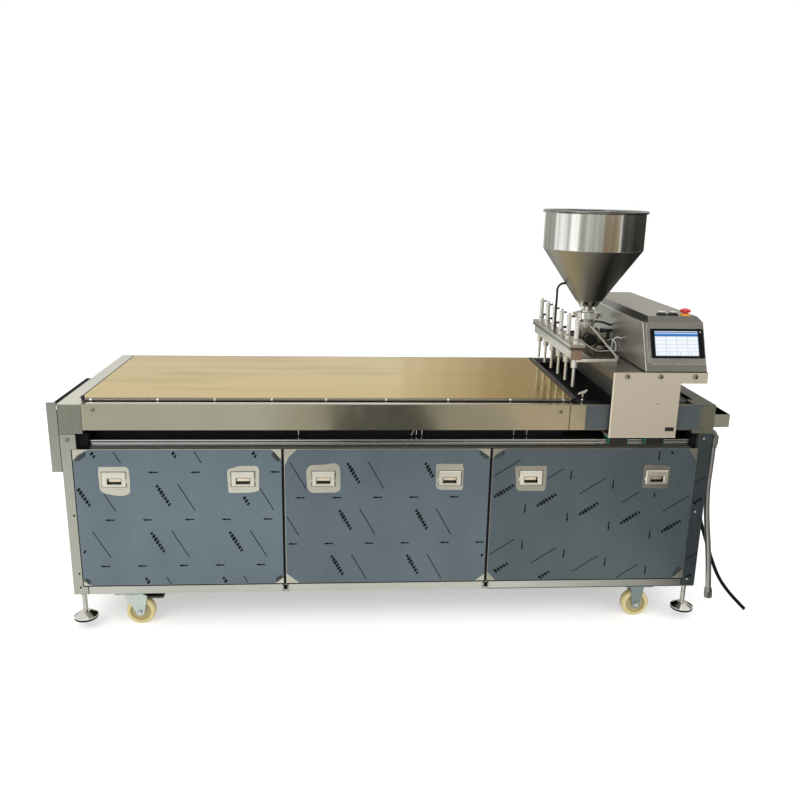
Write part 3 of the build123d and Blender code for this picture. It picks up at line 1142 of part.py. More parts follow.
# Nozzle bar: a drilled manifold with one long bore, an inlet from the valve and a crossing bore at each nozzle.
nozzle_ys = [HEAD_Y + (index - (NOZZLE_COUNT - 1) / 2) * NOZZLE_PITCH for index in range(NOZZLE_COUNT)]
nozzle_points = [(NOZZLE_X, y) for y in nozzle_ys]
needle_hole = NEEDLE_DIAMETER / 2 + RUNNING_FIT
bore_end = BAR_END / 2
with BuildPart() as nozzle_bar:
    with BuildSketch(Plane.XZ.offset(-(HEAD_Y + bar_half))):
        with Locations((NOZZLE_X, BAR_MIDDLE)):
            RectangleRounded(BAR_WIDTH, BAR_HEIGHT, BAR_CORNER)
    extrude(amount=BAR_LENGTH)
    with BuildSketch(Plane.XZ.offset(-(HEAD_Y + bar_half - bore_end))):
        with Locations((NOZZLE_X, BAR_MIDDLE)):
            Circle(BAR_BORE / 2)
    extrude(amount=BAR_LENGTH - 2 * bore_end, mode=Mode.SUBTRACT)
    with BuildSketch(Plane.XY.offset(BAR_BOTTOM)):
        with Locations(*nozzle_points):
            Circle(NOZZLE_TUBE / 2)
    extrude(amount=BAR_HEIGHT / 2, mode=Mode.SUBTRACT)
    with BuildSketch(Plane.XY.offset(BAR_MIDDLE)):
        with Locations(*nozzle_points):
            Circle(needle_hole)
    extrude(amount=BAR_HEIGHT, mode=Mode.SUBTRACT)
    with BuildSketch(Plane.YZ.offset(NOZZLE_X)):
        with Locations((HEAD_Y, BAR_MIDDLE)):
            Circle(BAR_INLET / 2)
    extrude(amount=BAR_WIDTH, mode=Mode.SUBTRACT)
pieces["nozzle_bar"] = nozzle_bar.part

# Bar lid: two plates with a groove between them, drilled for the needles.
lid_length = BAR_LENGTH + LID_WIDTH - BAR_WIDTH
with BuildPart() as bar_lid:
    with BuildSketch(Plane.XY.offset(BAR_TOP)):
        with Locations((NOZZLE_X, HEAD_Y)):
            RectangleRounded(LID_WIDTH, lid_length, BAR_CORNER)
    extrude(amount=LID_HEIGHT)
    with BuildSketch(Plane.XY.offset(BAR_TOP + LID_HEIGHT / 2 - LID_GROOVE / 2)):
        with Locations((NOZZLE_X, HEAD_Y)):
            Rectangle(2 * LID_WIDTH, 2 * lid_length)
            Rectangle(LID_WIDTH - 2 * LID_GROOVE, lid_length - 2 * LID_GROOVE, mode=Mode.SUBTRACT)
    extrude(amount=LID_GROOVE, mode=Mode.SUBTRACT)
    with BuildSketch(Plane.XY.offset(BAR_TOP)):
        with Locations(*nozzle_points):
            Circle(needle_hole)
    extrude(amount=LID_HEIGHT, mode=Mode.SUBTRACT)
pieces["bar_lid"] = bar_lid.part

# Nozzles, valve needles and air cylinders: one of each over every crossing bore.
nut_bottom = BAR_BOTTOM - NOZZLE_NUT_TALL
tip = nut_bottom - NOZZLE_TUBE_TALL
nozzle_outline = (
    (NOZZLE_BORE / 2, tip), (NOZZLE_TUBE / 2, tip), (NOZZLE_TUBE / 2, nut_bottom),
    (NOZZLE_NUT / 2 - NOZZLE_NUT_EDGE, nut_bottom), (NOZZLE_NUT / 2, nut_bottom + NOZZLE_NUT_EDGE),
    (NOZZLE_NUT / 2, BAR_BOTTOM), (NOZZLE_BORE / 2, BAR_BOTTOM))
needle_bottom = BAR_BOTTOM - NEEDLE_SEAT
piston_bottom = LID_TOP + PISTON_REST
piston_side = CYLINDER_BORE / 2 - RUNNING_FIT
needle_outline = (
    (0, needle_bottom), (NEEDLE_DIAMETER / 2, needle_bottom), (NEEDLE_DIAMETER / 2, piston_bottom),
    (piston_side, piston_bottom), (piston_side, piston_bottom + PISTON_TALL), (0, piston_bottom + PISTON_TALL))
cylinder_top = LID_TOP + CYLINDER_TALL
cylinder_outline = (
    (needle_hole, LID_TOP), (CYLINDER_CAP / 2, LID_TOP), (CYLINDER_CAP / 2, LID_TOP + CYLINDER_CAP_TALL),
    (CYLINDER_DIAMETER / 2, LID_TOP + CYLINDER_CAP_TALL), (CYLINDER_DIAMETER / 2, cylinder_top - CYLINDER_CAP_TALL),
    (CYLINDER_CAP / 2, cylinder_top - CYLINDER_CAP_TALL), (CYLINDER_CAP / 2, cylinder_top), (0, cylinder_top),
    (0, cylinder_top - CYLINDER_CAP_TALL), (CYLINDER_BORE / 2, cylinder_top - CYLINDER_CAP_TALL),
    (CYLINDER_BORE / 2, LID_TOP + CYLINDER_CAP_TALL), (needle_hole, LID_TOP + CYLINDER_CAP_TALL))
pieces["nozzles"] = Compound(children=[turned(NOZZLE_X, y, nozzle_outline) for y in nozzle_ys])
pieces["valve_needles"] = Compound(children=[turned(NOZZLE_X, y, needle_outline) for y in nozzle_ys])
pieces["air_cylinders"] = Compound(children=[turned(NOZZLE_X, y, cylinder_outline) for y in nozzle_ys])

# Head pipes: the return pipe from the lid into the hopper's cone, the stay rod with its collar, and an air hose.
pipe_end = HOPPER_X - cone_radius + RETURN_ENTRY
with BuildPart() as return_pipe:
    with BuildLine() as pipe_route:
        FilletPolyline((return_x, HEAD_Y, LID_TOP), (return_x, HEAD_Y, RETURN_HEIGHT),
                       (pipe_end, HEAD_Y, RETURN_HEIGHT), radius=RETURN_BEND)
    with BuildSketch(Plane.XY.offset(LID_TOP)):
        with Locations((return_x, HEAD_Y)):
            Circle(RETURN_PIPE / 2)
    sweep(path=pipe_route.line)
collar_bottom = VALVE_TOP + STAY_COLLAR_LIFT
stay_foot = Vector(CARRIAGE_LEFT + ARM_LAP - STAY_ROD, HEAD_Y - bar_half + BAR_END, BAR_BOTTOM + STAY_ROD)
stay_head = Vector(HOPPER_X, HEAD_Y - STAY_COLLAR / 2 + STAY_ROD / 2, collar_bottom + STAY_COLLAR_TALL / 2)
with BuildPart() as hopper_stay:
    with BuildSketch(Plane.XY.offset(collar_bottom)):
        with Locations((HOPPER_X, HEAD_Y)):
            Circle(STAY_COLLAR / 2)
    extrude(amount=STAY_COLLAR_TALL)
    with BuildSketch(Plane(origin=stay_foot, z_dir=stay_head - stay_foot)):
        Circle(STAY_ROD / 2)
    extrude(amount=(stay_head - stay_foot).length)
    with BuildSketch(Plane.XY.offset(BAR_BOTTOM)):
        with Locations((stay_foot.X, stay_foot.Y)):
            Circle(STAY_ROD)
    extrude(amount=STAY_BOSS_TALL)
    with BuildSketch(Plane.XY.offset(collar_bottom)):
        with Locations((HOPPER_X, HEAD_Y)):
            Circle(SPIGOT_DIAMETER / 2 + CLAMP_CLEAR)
    extrude(amount=STAY_COLLAR_TALL, mode=Mode.SUBTRACT)
hose_height = DECK_TOP + ARM_THICK
air_hose_points = (
    (NOZZLE_X + LID_WIDTH / 2, HEAD_Y - 140, BAR_TOP + LID_HEIGHT / 2),
    (NOZZLE_X + LID_WIDTH / 2 + 24, HEAD_Y - 140, BAR_TOP + LID_HEIGHT / 2),
    (CARRIAGE_LEFT + 8, HEAD_Y - 146, hose_height + 20),
    (CARRIAGE_LEFT + 40, HEAD_Y - 150, hose_height + 4),
    (HOUSING_LEFT - 36, HEAD_Y - 146, hose_height + 8),
    (HOUSING_LEFT, HEAD_Y - 146, hose_height + 8))
air_hose = tube_along(air_hose_points, AIR_HOSE, "air hose")
pieces["head_pipes"] = Compound(children=[return_pipe.part, hopper_stay.part, air_hose])

# Levelling feet: threaded studs under the legs with domed discs, hanging clear of the floor.
foot_outline = (
    (0, FOOT_PAD_BOTTOM), (FOOT_DISC / 2, FOOT_PAD_BOTTOM), (FOOT_DISC / 2, FOOT_PAD_BOTTOM + FOOT_RIM),
    (FOOT_STUD, FOOT_DOME_TOP), (FOOT_STUD / 2, FOOT_DOME_TOP), (FOOT_STUD / 2, FRAME_BOTTOM), (0, FRAME_BOTTOM))
foot_xs = (LEFT + LEG / 2, RIGHT - LEG / 2)
foot_ys = (FRONT + LEG / 2, BACK - LEG / 2)
pieces["feet"] = Compound(children=[turned(x, y, foot_outline) for x in foot_xs for y in foot_ys])

# Casters: the left pair swivels and has brake pedals, the right pair is rigid.
swivel_x = LEFT + SWIVEL_FROM_LEFT
rigid_x = RIGHT - RIGID_FROM_RIGHT
swivel_axle_x = swivel_x + CASTER_TRAIL
front_caster_y = FRONT + CASTER_SETBACK
plate_bottom = FRAME_BOTTOM - CASTER_PLATE
race_bottom = plate_bottom - RACE_TALL
crown_top = race_bottom - SWIVEL_CLEAR
crown_bottom = crown_top - CROWN_TALL
pedal_x = swivel_x + PEDAL_PIVOT_FORWARD
fork_half = FORK_GAP / 2


def cross_pin(x, z, diameter, y):
    """A round pin between the two cheeks of a fork, for the part being built."""
    with Locations(Location((x, y, z), (90, 0, 0))):
        Cylinder(diameter / 2, FORK_GAP + 2 * FORK_SHEET)


def fork_cheeks(outline, axle_x, y):
    """The two cheeks of a fork, rounded about the axle."""
    with BuildPart() as cheeks:
        with BuildSketch(Plane.XZ.offset(-(y + fork_half + FORK_SHEET))):
            with BuildLine():
                Polyline(*outline, close=True)
            make_face()
            with Locations((axle_x, WHEEL_AXLE)):
                Circle(FORK_EYE)
        extrude(amount=FORK_SHEET)
        mirror(about=Plane.XZ.offset(-y))
    return cheeks.part


def caster_plate(x, y):
    """A caster's mounting plate under the bottom rail, for the part being built."""
    with BuildSketch(Plane.XY.offset(plate_bottom)) as plate:
        with Locations((x, y)):
            RectangleRounded(CASTER_PLATE_LENGTH, CASTER_PLATE_WIDTH, CASTER_PLATE_CORNER)
    extrude(to_extrude=plate.sketch, amount=CASTER_PLATE)


def swivel_mount(y):
    with BuildPart() as mount:
        caster_plate(swivel_x, y)
        with Locations((swivel_x, y, race_bottom)):
            Cylinder(RACE_DIAMETER / 2, RACE_TALL, align=FROM_BELOW)
        with Locations((swivel_x, y, crown_bottom)):
            Cylinder(KINGPIN / 2, RACE_TALL + CROWN_TALL, align=FROM_BELOW)
    return mount.part


def rigid_mount(y):
    top = plate_bottom
    outline = ((rigid_x - FORK_TOP_WIDTH / 2, top), (rigid_x + FORK_TOP_WIDTH / 2, top),
               (rigid_x + FORK_EYE, WHEEL_AXLE), (rigid_x - FORK_EYE, WHEEL_AXLE))
    with BuildPart() as mount:
        caster_plate(rigid_x, y)
        add(fork_cheeks(outline, rigid_x, y))
        cross_pin(rigid_x, WHEEL_AXLE, AXLE_DIAMETER, y)
    return mount.part


def swivel_fork(y):
    lug_x = pedal_x + PEDAL_LUG
    outline = ((swivel_x - FORK_TOP_WIDTH / 2, crown_top), (swivel_x + FORK_TOP_WIDTH / 2, crown_top),
               (lug_x, PEDAL_PIVOT_HEIGHT + PEDAL_PIN), (lug_x, PEDAL_PIVOT_HEIGHT - PEDAL_PIN),
               (swivel_axle_x + FORK_EYE, WHEEL_AXLE), (swivel_axle_x - FORK_EYE, WHEEL_AXLE))
    with BuildPart() as fork:
        with Locations((swivel_x, y, crown_bottom)):
            Cylinder(FORK_TOP_WIDTH / 2, CROWN_TALL, align=FROM_BELOW)
        add(fork_cheeks(outline, swivel_axle_x, y))
        with Locations((swivel_x, y, crown_bottom)):
            Cylinder(KINGPIN / 2 + RUNNING_FIT, CROWN_TALL, align=FROM_BELOW, mode=Mode.SUBTRACT)
        cross_pin(swivel_axle_x, WHEEL_AXLE, AXLE_DIAMETER, y)
        cross_pin(pedal_x, PEDAL_PIVOT_HEIGHT, PEDAL_PIN, y)
    return fork.part


def caster_wheel(x, y):
    tread_inner = WHEEL_DIAMETER / 2 - WHEEL_TREAD
    tread = WHEEL_WIDTH / 2
    bore = AXLE_DIAMETER / 2 + RUNNING_FIT
    with BuildPart() as wheel:
        with BuildSketch(Plane.XY):
            with BuildLine() as half:
                Polyline((bore, 0), (bore, WHEEL_HUB_WIDTH / 2), (WHEEL_HUB / 2, WHEEL_HUB_WIDTH / 2),
                         (WHEEL_HUB / 2, WHEEL_WEB / 2), (tread_inner, WHEEL_WEB / 2), (tread_inner, tread),
                         (WHEEL_DIAMETER / 2 - WHEEL_ROUND, tread), (WHEEL_DIAMETER / 2, tread - WHEEL_ROUND),
                         (WHEEL_DIAMETER / 2, 0))
                mirror(half.line, about=Plane.XZ)
            make_face()
        revolve(axis=Axis.Y)
    return wheel.part.moved(Location((x, y, WHEEL_AXLE)))


def brake_pedal(y):
    plate_start = pedal_x + PEDAL_NECK
    low = PEDAL_PIVOT_HEIGHT - PEDAL_THICK / 2
    with BuildPart() as pedal:
        with Locations(Location((pedal_x, y, PEDAL_PIVOT_HEIGHT), (90, 0, 0))):
            Cylinder(PEDAL_HUB / 2, FORK_GAP - 2 * PEDAL_CLEAR)
        slab((pedal_x, y - fork_half + PEDAL_CLEAR, low),
             (plate_start + PEDAL_THICK, y + fork_half - PEDAL_CLEAR, low + PEDAL_THICK))
        with BuildSketch(Plane.XY.offset(low)):
            with Locations((plate_start + (PEDAL_LENGTH - PEDAL_NECK) / 2, y)):
                RectangleRounded(PEDAL_LENGTH - PEDAL_NECK, PEDAL_WIDTH, PEDAL_CORNER)
        extrude(amount=PEDAL_THICK)
        with Locations(Location((pedal_x, y, PEDAL_PIVOT_HEIGHT), (90, 0, 0))):
            Cylinder(PEDAL_PIN / 2 + RUNNING_FIT, FORK_GAP, mode=Mode.SUBTRACT)
    return pedal.part


mounts = []
for name, y in (("front", front_caster_y), ("rear", -front_caster_y)):
    mounts += [swivel_mount(y), rigid_mount(y)]
    pieces[name + "_swivel_fork"] = swivel_fork(y)
    pieces[name + "_brake_pedal"] = brake_pedal(y)
    pieces[name + "_swivel_wheel"] = caster_wheel(swivel_axle_x, y)
    pieces[name + "_rigid_wheel"] = caster_wheel(rigid_x, y)
pieces["caster_mounts"] = Compound(children=mounts)

# Gas inlet: an elbow out of the right end panel with a union, a valve body and the hose's nut below it.
panel_outside = RIGHT - END_PANEL_SETBACK
inlet_x = RIGHT + INLET_REACH
inlet_y = FRONT + INLET_SETBACK
union_top = INLET_HEIGHT - INLET_BEND
union_bottom = union_top - INLET_UNION_TALL
nut_top = HOSE_TOP + INLET_UNION_TALL
with BuildPart() as gas_inlet:
    with BuildLine() as inlet_route:
        FilletPolyline((panel_outside, inlet_y, INLET_HEIGHT), (inlet_x, inlet_y, INLET_HEIGHT),
                       (inlet_x, inlet_y, union_bottom), radius=INLET_BEND)
    with BuildSketch(Plane.YZ.offset(panel_outside)):
        with Locations((inlet_y, INLET_HEIGHT)):
            Circle(INLET_PIPE / 2)
    sweep(path=inlet_route.line)
    with BuildSketch(Plane.XY.offset(union_bottom)):
        with Locations((inlet_x, inlet_y)):
            RegularPolygon(INLET_UNION / 2, 6)
    extrude(amount=INLET_UNION_TALL)
    with BuildSketch(Plane.XY.offset(nut_top)):
        with Locations((inlet_x, inlet_y)):
            Circle(INLET_BODY / 2)
    extrude(amount=union_bottom - nut_top)
    with BuildSketch(Plane.XY.offset(HOSE_TOP)):
        with Locations((inlet_x, inlet_y)):
            RegularPolygon(INLET_NUT / 2, 6)
    extrude(amount=nut_top - HOSE_TOP)
pieces["gas_inlet"] = gas_inlet.part

# Gas hose and its end nut: the hose hangs from the inlet beside the front leg.
hose_points = (
    (inlet_x, inlet_y, HOSE_TOP),
    (inlet_x, inlet_y, HOSE_TOP - 70),
    (inlet_x - 5, inlet_y - 5, HOSE_TOP - 150),
    (inlet_x, inlet_y - 14, HOSE_TOP - 250),
    (inlet_x + 12, inlet_y - 24, HOSE_TOP - 345),
    (inlet_x + 24, inlet_y - 32, HOSE_TOP - 445),
    (inlet_x + 31, inlet_y - 37, HOSE_TOP - 536))
pieces["gas_hose"] = tube_along(hose_points, HOSE_DIAMETER, "gas hose")
hose_end = Vector(*hose_points[-1])
nut_plane = Plane(origin=hose_end, z_dir=hose_end - Vector(*hose_points[-2]))
with BuildPart() as hose_nut:
    with BuildSketch(nut_plane):
        Circle(HOSE_NUT_COLLAR / 2)
    extrude(amount=HOSE_NUT_TALL / 3)
    with BuildSketch(nut_plane.offset(HOSE_NUT_TALL / 3)):
        RegularPolygon(HOSE_NUT / 2, 6)
    extrude(amount=HOSE_NUT_TALL * 2 / 3)
    with BuildSketch(nut_plane.offset(HOSE_NUT_TALL / 3)):
        Circle(HOSE_NUT_BORE / 2)
    extrude(amount=HOSE_NUT_TALL * 2 / 3, mode=Mode.SUBTRACT)
pieces["hose_nut"] = hose_nut.part

# Cable gland and power cable: an elbow gland on the right end panel, and the cable that runs down to the floor.
gland_x = RIGHT + GLAND_REACH
gland_y = FRONT + GLAND_SETBACK
gland_nut_top = CABLE_TOP + GLAND_NUT_TALL
with BuildPart() as cable_gland:
    with BuildLine() as gland_route:
        FilletPolyline((panel_outside, gland_y, GLAND_HEIGHT), (gland_x, gland_y, GLAND_HEIGHT),
                       (gland_x, gland_y, gland_nut_top), radius=GLAND_BEND)
    with BuildSketch(Plane.YZ.offset(panel_outside)):
        with Locations((gland_y, GLAND_HEIGHT)):
            Circle(GLAND_STUB / 2)
    sweep(path=gland_route.line)
    with BuildSketch(Plane.YZ.offset(panel_outside)):
        with Locations((gland_y, GLAND_HEIGHT)):
            RegularPolygon(GLAND_LOCKNUT / 2, 6)
    extrude(amount=SHEET + PANEL_CLEAR)
    with BuildSketch(Plane.XY.offset(CABLE_TOP)):
        with Locations((gland_x, gland_y)):
            Circle(GLAND_NUT / 2)
    extrude(amount=GLAND_NUT_TALL)
    fillet(cable_gland.faces().sort_by(Axis.Z)[0].edges(), GLAND_ROUND)
pieces["cable_gland"] = cable_gland.part
cable_points = (
    (gland_x, gland_y, CABLE_TOP),
    (gland_x, gland_y, CABLE_TOP - 38),
    (gland_x + 12, gland_y - 3, CABLE_TOP - 90),
    (gland_x + 37, gland_y - 9, CABLE_TOP - 163),
    (gland_x + 67, gland_y - 19, CABLE_TOP - 245),
    (gland_x + 93, gland_y - 29, CABLE_TOP - 306),
    (gland_x + 125, gland_y - 37, CABLE_TOP - 353),
    (gland_x + 162, gland_y - 46, CABLE_TOP - 394),
    (gland_x + 200, gland_y - 55, CABLE_TOP - 431))
pieces["power_cable"] = tube_along(cable_points, CABLE_DIAMETER, "power cable")

for name, piece in pieces.items():
    piece.label = name
    export_step(piece, f"parts/{name}.step")
print(len(pieces), "pieces")
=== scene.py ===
"""A dorayaki machine, dressed for its picture.

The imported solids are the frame. This file gives them their finishes and adds what they leave out: the film on
the sheets with its print, screws, clips, seals, fittings, the lit screen, both cords and the studio. Lengths
are in metres. +X runs to the right along the table, +Y to its back and +Z up.
"""
import math

import bmesh
import bpy
from bpy.props import FloatProperty, FloatVectorProperty, IntProperty, PointerProperty
from bpy.types import Operator, Panel, PropertyGroup
from mathutils import Matrix, Vector


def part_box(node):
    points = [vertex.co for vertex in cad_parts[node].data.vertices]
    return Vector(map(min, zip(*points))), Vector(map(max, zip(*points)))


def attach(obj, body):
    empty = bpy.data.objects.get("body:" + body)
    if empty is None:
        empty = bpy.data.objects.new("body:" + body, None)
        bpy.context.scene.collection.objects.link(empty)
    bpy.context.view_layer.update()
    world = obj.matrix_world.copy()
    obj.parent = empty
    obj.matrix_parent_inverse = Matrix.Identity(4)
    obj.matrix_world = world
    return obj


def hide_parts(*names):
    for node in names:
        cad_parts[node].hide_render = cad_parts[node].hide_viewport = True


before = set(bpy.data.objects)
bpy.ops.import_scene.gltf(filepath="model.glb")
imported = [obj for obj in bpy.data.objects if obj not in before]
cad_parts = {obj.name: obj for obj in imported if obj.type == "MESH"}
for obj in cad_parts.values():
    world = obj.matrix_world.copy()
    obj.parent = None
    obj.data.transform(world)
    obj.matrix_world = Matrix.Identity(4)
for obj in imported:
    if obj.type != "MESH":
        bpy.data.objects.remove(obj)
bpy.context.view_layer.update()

bl_info = {
    "name": "Dorayaki machine",
    "version": (1, 0, 0),
    "blender": (4, 5, 0),
    "location": "View3D > Sidebar > Dorayaki",
    "description": "Finishes, film, fittings, cords and studio for the packed dorayaki machine",
    "category": "Object",
}

PLATE_LOW, PLATE_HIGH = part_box("hot_plate")
SKIRT_LOW, SKIRT_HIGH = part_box("skirts")
HOUSING_LOW, HOUSING_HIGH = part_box("housing")
LID_LOW, LID_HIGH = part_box("bar_lid")
HOPPER_LOW, HOPPER_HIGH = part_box("hopper")
LEG_LOW, LEG_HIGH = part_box("legs")
ROD_LOW, ROD_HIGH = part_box("gutter_rod")
FASCIA_LOW, FASCIA_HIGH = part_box("front_fascias")
LEG_TUBE = 0.05
# Foot of the boxes at the tops of the legs, and seams between the front panels.
CORNER_FOOT = LEG_HIGH.z - 0.1015
SEAMS = (-0.3865, 0.3245)
# The housing's front leans back by this run over this rise.
LEAN_RUN, LEAN_RISE = 0.084, 0.181
NOZZLES, NOZZLE_RADIUS = 6, 0.0115

# Turns a flat outline drawn as (along the table, up) so that it stands upright and faces the front.
FACING_FRONT = Matrix(((1, 0, 0, 0), (0, 0, -1, 0), (0, 1, 0, 0), (0, 0, 0, 1)))
# Turns it to face the right-hand end, drawn as (towards the back, up).
FACING_RIGHT = Matrix(((0, 0, 1, 0), (1, 0, 0, 0), (0, 1, 0, 0), (0, 0, 0, 1)))
FORWARD = Vector((0, -1, 0))
BACKWARD = Vector((0, 1, 0))
LEFTWARD = Vector((-1, 0, 0))
RIGHTWARD = Vector((1, 0, 0))
UPWARD = Vector((0, 0, 1))
DOWNWARD = Vector((0, 0, -1))


def linear(red, green, blue):
    """A colour given in display values from 0 to 255, in the linear values that a shader takes."""
    channels = []
    for value in (red, green, blue):
        share = value / 255
        channels.append(share / 12.92 if share <= 0.04045 else ((share + 0.055) / 1.055) ** 2.4)
    return (*channels, 1.0)


def toned(tint, share):
    """A colour made darker or lighter."""
    return (*(Vector(tint[:3]) * share), 1.0)


def standing(place, facing=FACING_FRONT):
    """The place of a flat outline that stands upright, facing the front unless another way is given."""
    return Matrix.Translation(place) @ facing


def colour(name, description, *display):
    """A colour that the user may change."""
    return FloatVectorProperty(name=name, description=description, subtype="COLOR", size=4, min=0.0, max=1.0,
                               default=linear(*display))


def number(name, description, default, **kind):
    """A number that the user may change."""
    return FloatProperty(name=name, description=description, default=default, **kind)


def length(name, description, metres):
    """A length that the user may change."""
    return number(name, description, metres, subtype="DISTANCE", unit="LENGTH", min=0.0)


class FinishSettings(PropertyGroup):
    """Colours of the finishes."""

    bare_steel: colour("Bare steel", "Brushed stainless sheet of the table's ends and panels", 184, 182, 168)
    drawer_steel: colour("Drawer steel", "Brushed sheet of the crumb drawer", 147, 147, 138)
    fascia_steel: colour("Fascia steel", "Brushed sheet of the front fascias", 164, 161, 141)
    leg_steel: colour("Leg steel", "Square tube of the legs and rails", 162, 162, 151)
    rail_tube: colour("Rail tube", "Square tube of the bottom rails and beams", 181, 182, 172)
    raceway: colour("Raceway", "Ground steel of the linear rails", 192, 196, 196)
    corner_steel: colour("Corner steel", "Boxes at the tops of the legs", 135, 137, 124)
    polished_steel: colour("Polished steel", "Rods, nozzles, cylinders and screws", 220, 218, 211)
    spun_steel: colour("Spun steel", "Bowl of the hopper", 228, 229, 222)
    pull_steel: colour("Pull steel", "Pressed pulls of the front panels", 204, 201, 188)
    # Painted shade: the gutter rod's colour is darkened for the shade down in the gutter.
    rod_steel: colour("Rod steel", "Stained rod in the gutter", 118, 112, 103)
    housing_steel: colour("Housing steel", "Brushed sheet of the control housing", 186, 184, 175)
    # The cone's colour, which the hopper's finish spreads from a painted pale band to a half in painted shade.
    hopper_cone: colour("Hopper cone", "Satin cone of the hopper", 150, 147, 136)
    skirt: colour("Skirt", "Satin beige sheet of the carriage's sides", 197, 187, 168)
    plate: colour("Plate", "Brass-coloured cooking plate", 187, 159, 68)
    # Painted shade: the three panels' film tones darken towards the right.
    film_left: colour("Left film", "Film on the left panel", 98, 113, 121)
    film_middle: colour("Middle film", "Film on the middle panel", 89, 103, 110)
    film_right: colour("Right film", "Film on the right panel", 75, 87, 92)
    film_dark: colour("Dark film", "Film on the right fascia and the cross beam", 82, 91, 94)
    film_leg: colour("Leg film", "Film on the right leg", 54, 62, 65)
    # On the deck, this darkened colour is painted shade under the hopper.
    deck: colour("Deck steel", "Dull sheet of the deck under the hopper", 118, 112, 102)
    # Painted shade: the rigid casters' darker zinc.
    mount_zinc: colour("Mount zinc", "Duller plating of the rigid casters", 132, 145, 143)
    # Painted shade: the dark colour laid on the fascia down in the gutter.
    gutter: colour("Gutter", "Stained floor of the gutter", 70, 62, 50)
    screw: colour("Screw steel", "Dull heads of the sheet screws", 138, 132, 118)
    hose: colour("Air hose", "Milky plastic tube", 214, 214, 220)
    # Painted highlight: the colour of a bright strip on the front arm's edge.
    arm_edge: colour("Arm edge", "Bright edge of the front arm", 232, 230, 214)
    bar_end: colour("Bar end", "Front end of the nozzle bar", 168, 146, 130)
    film_print: colour("Film print", "Marks on the film", 14, 19, 24)
    dark_steel: colour("Dark steel", "Drip pan and burner box", 34, 36, 37)
    zinc: colour("Zinc", "Caster forks, plates and nuts", 196, 206, 201)
    inlet: colour("Inlet steel", "Gas inlet and the hose's nut", 158, 159, 157)
    braid: colour("Braid", "Steel wire of the gas hose", 204, 204, 200)
    wheel: colour("Wheel", "Cream tread of the casters", 240, 224, 164)
    black: colour("Black", "Plastic and rubber pieces", 22, 22, 24)
    seal: colour("Block seal", "Green end seals of the bearing blocks", 22, 120, 92)
    red: colour("Red", "Emergency stop head", 205, 36, 40)
    amber: colour("Amber", "Collar under the emergency stop", 242, 160, 40)
    lens: colour("Button lens", "Lit caps of the push buttons", 240, 238, 230)
    motor: colour("Motor", "Painted motor and gearbox", 92, 98, 104)
    screen: colour("Screen", "Ground colour of the lit screen", 222, 236, 252)
    screen_bar: colour("Screen bar", "Title bar of the lit screen", 52, 128, 206)


class FittingSettings(PropertyGroup):
    """Sizes of the pieces that this file adds."""

    film_thickness: length("Film thickness", "Thickness of the protective film", 0.0003)
    film_lift: length("Film lift", "Gap between a sheet and its film", 0.00005)
    print_pitch: length("Print pitch", "Distance between the long marks along the film", 0.265)
    print_row: length("Print row", "Distance between the rows of long marks", 0.153)
    print_shift: length("Print shift", "How far each row of marks lies beside the row above it", 0.028)
    print_line: length("Print line", "Length of the long thin marks", 0.1025)
    print_stretch: number("Print stretch", "How much taller the film was pulled", 1.12)
    screw_head: length("Screw head", "Diameter of the sheet screws", 0.0145)
    leg_screw: length("Leg screw", "Diameter of the small screws down the legs", 0.0075)
    skirt_screw: length("Skirt screw", "Diameter of the skirt's button heads", 0.018)
    plate_bolt: length("Plate bolt", "Diameter of the hexagon bolts on the casters and arms", 0.014)
    small_screw: length("Small screw", "Diameter of the lid's socket screws", 0.0075)
    lock_nut: length("Lock nut", "Width of the nuts under the air cylinders", 0.023)
    cylinder_screw: length("Cylinder screw", "Diameter of the screws on top of the air cylinders", 0.011)
    push_fitting: length("Push fitting", "Diameter of the lower push-in fittings", 0.0105)
    upper_fitting: length("Upper fitting", "Diameter of the upper push-in fittings", 0.0085)
    axle_nut: length("Axle nut", "Width of the casters' axle nuts", 0.018)
    foot_nut: length("Foot nut", "Width of the levelling feet's lock nuts", 0.026)
    seal_thickness: length("Seal thickness", "Thickness of the bearing blocks' end seals", 0.004)
    strap_width: length("Strap width", "Width of the straps over the gutter rod", 0.006)
    thread_pitch: length("Thread pitch", "Pitch of the thread on the levelling feet", 0.003)
    pedal_ridges: IntProperty(name="Pedal ridges", description="Ridges on each brake pedal", default=6, min=1)


class StudioSettings(PropertyGroup):
    """Camera, lamps and floor."""

    camera_place: FloatVectorProperty(name="Camera place", description="Where the camera stands",
                                      subtype="XYZ", unit="LENGTH", default=(-0.1746, -2.9411, 1.5149))
    camera_yaw: number("Yaw", "Turn of the camera to the right", math.radians(4.014), subtype="ANGLE")
    camera_pitch: number("Pitch", "Rise of the camera's view", math.radians(-14.879), subtype="ANGLE")
    camera_roll: number("Roll", "Tilt of the camera", math.radians(1.149), subtype="ANGLE")
    camera_lens: number("Lens", "Focal length on a 36 mm sensor", 35.61, unit="CAMERA")
    key_power: number("Key lamp", "Power of the large lamp at the left", 48.0, unit="POWER")
    fill_power: number("Fill lamp", "Power of the lamp at the right", 18.0, unit="POWER")
    top_power: number("Top lamp", "Power of the lamp above", 26.0, unit="POWER")
    ambient: number("Ambient", "Strength of the light from all round", 0.78)
    floor_glow: number("Floor glow", "Light that keeps the floor white to the eye", 0.45)


def finishes():
    return bpy.context.scene.dorayaki_finishes


def fittings():
    return bpy.context.scene.dorayaki_fittings


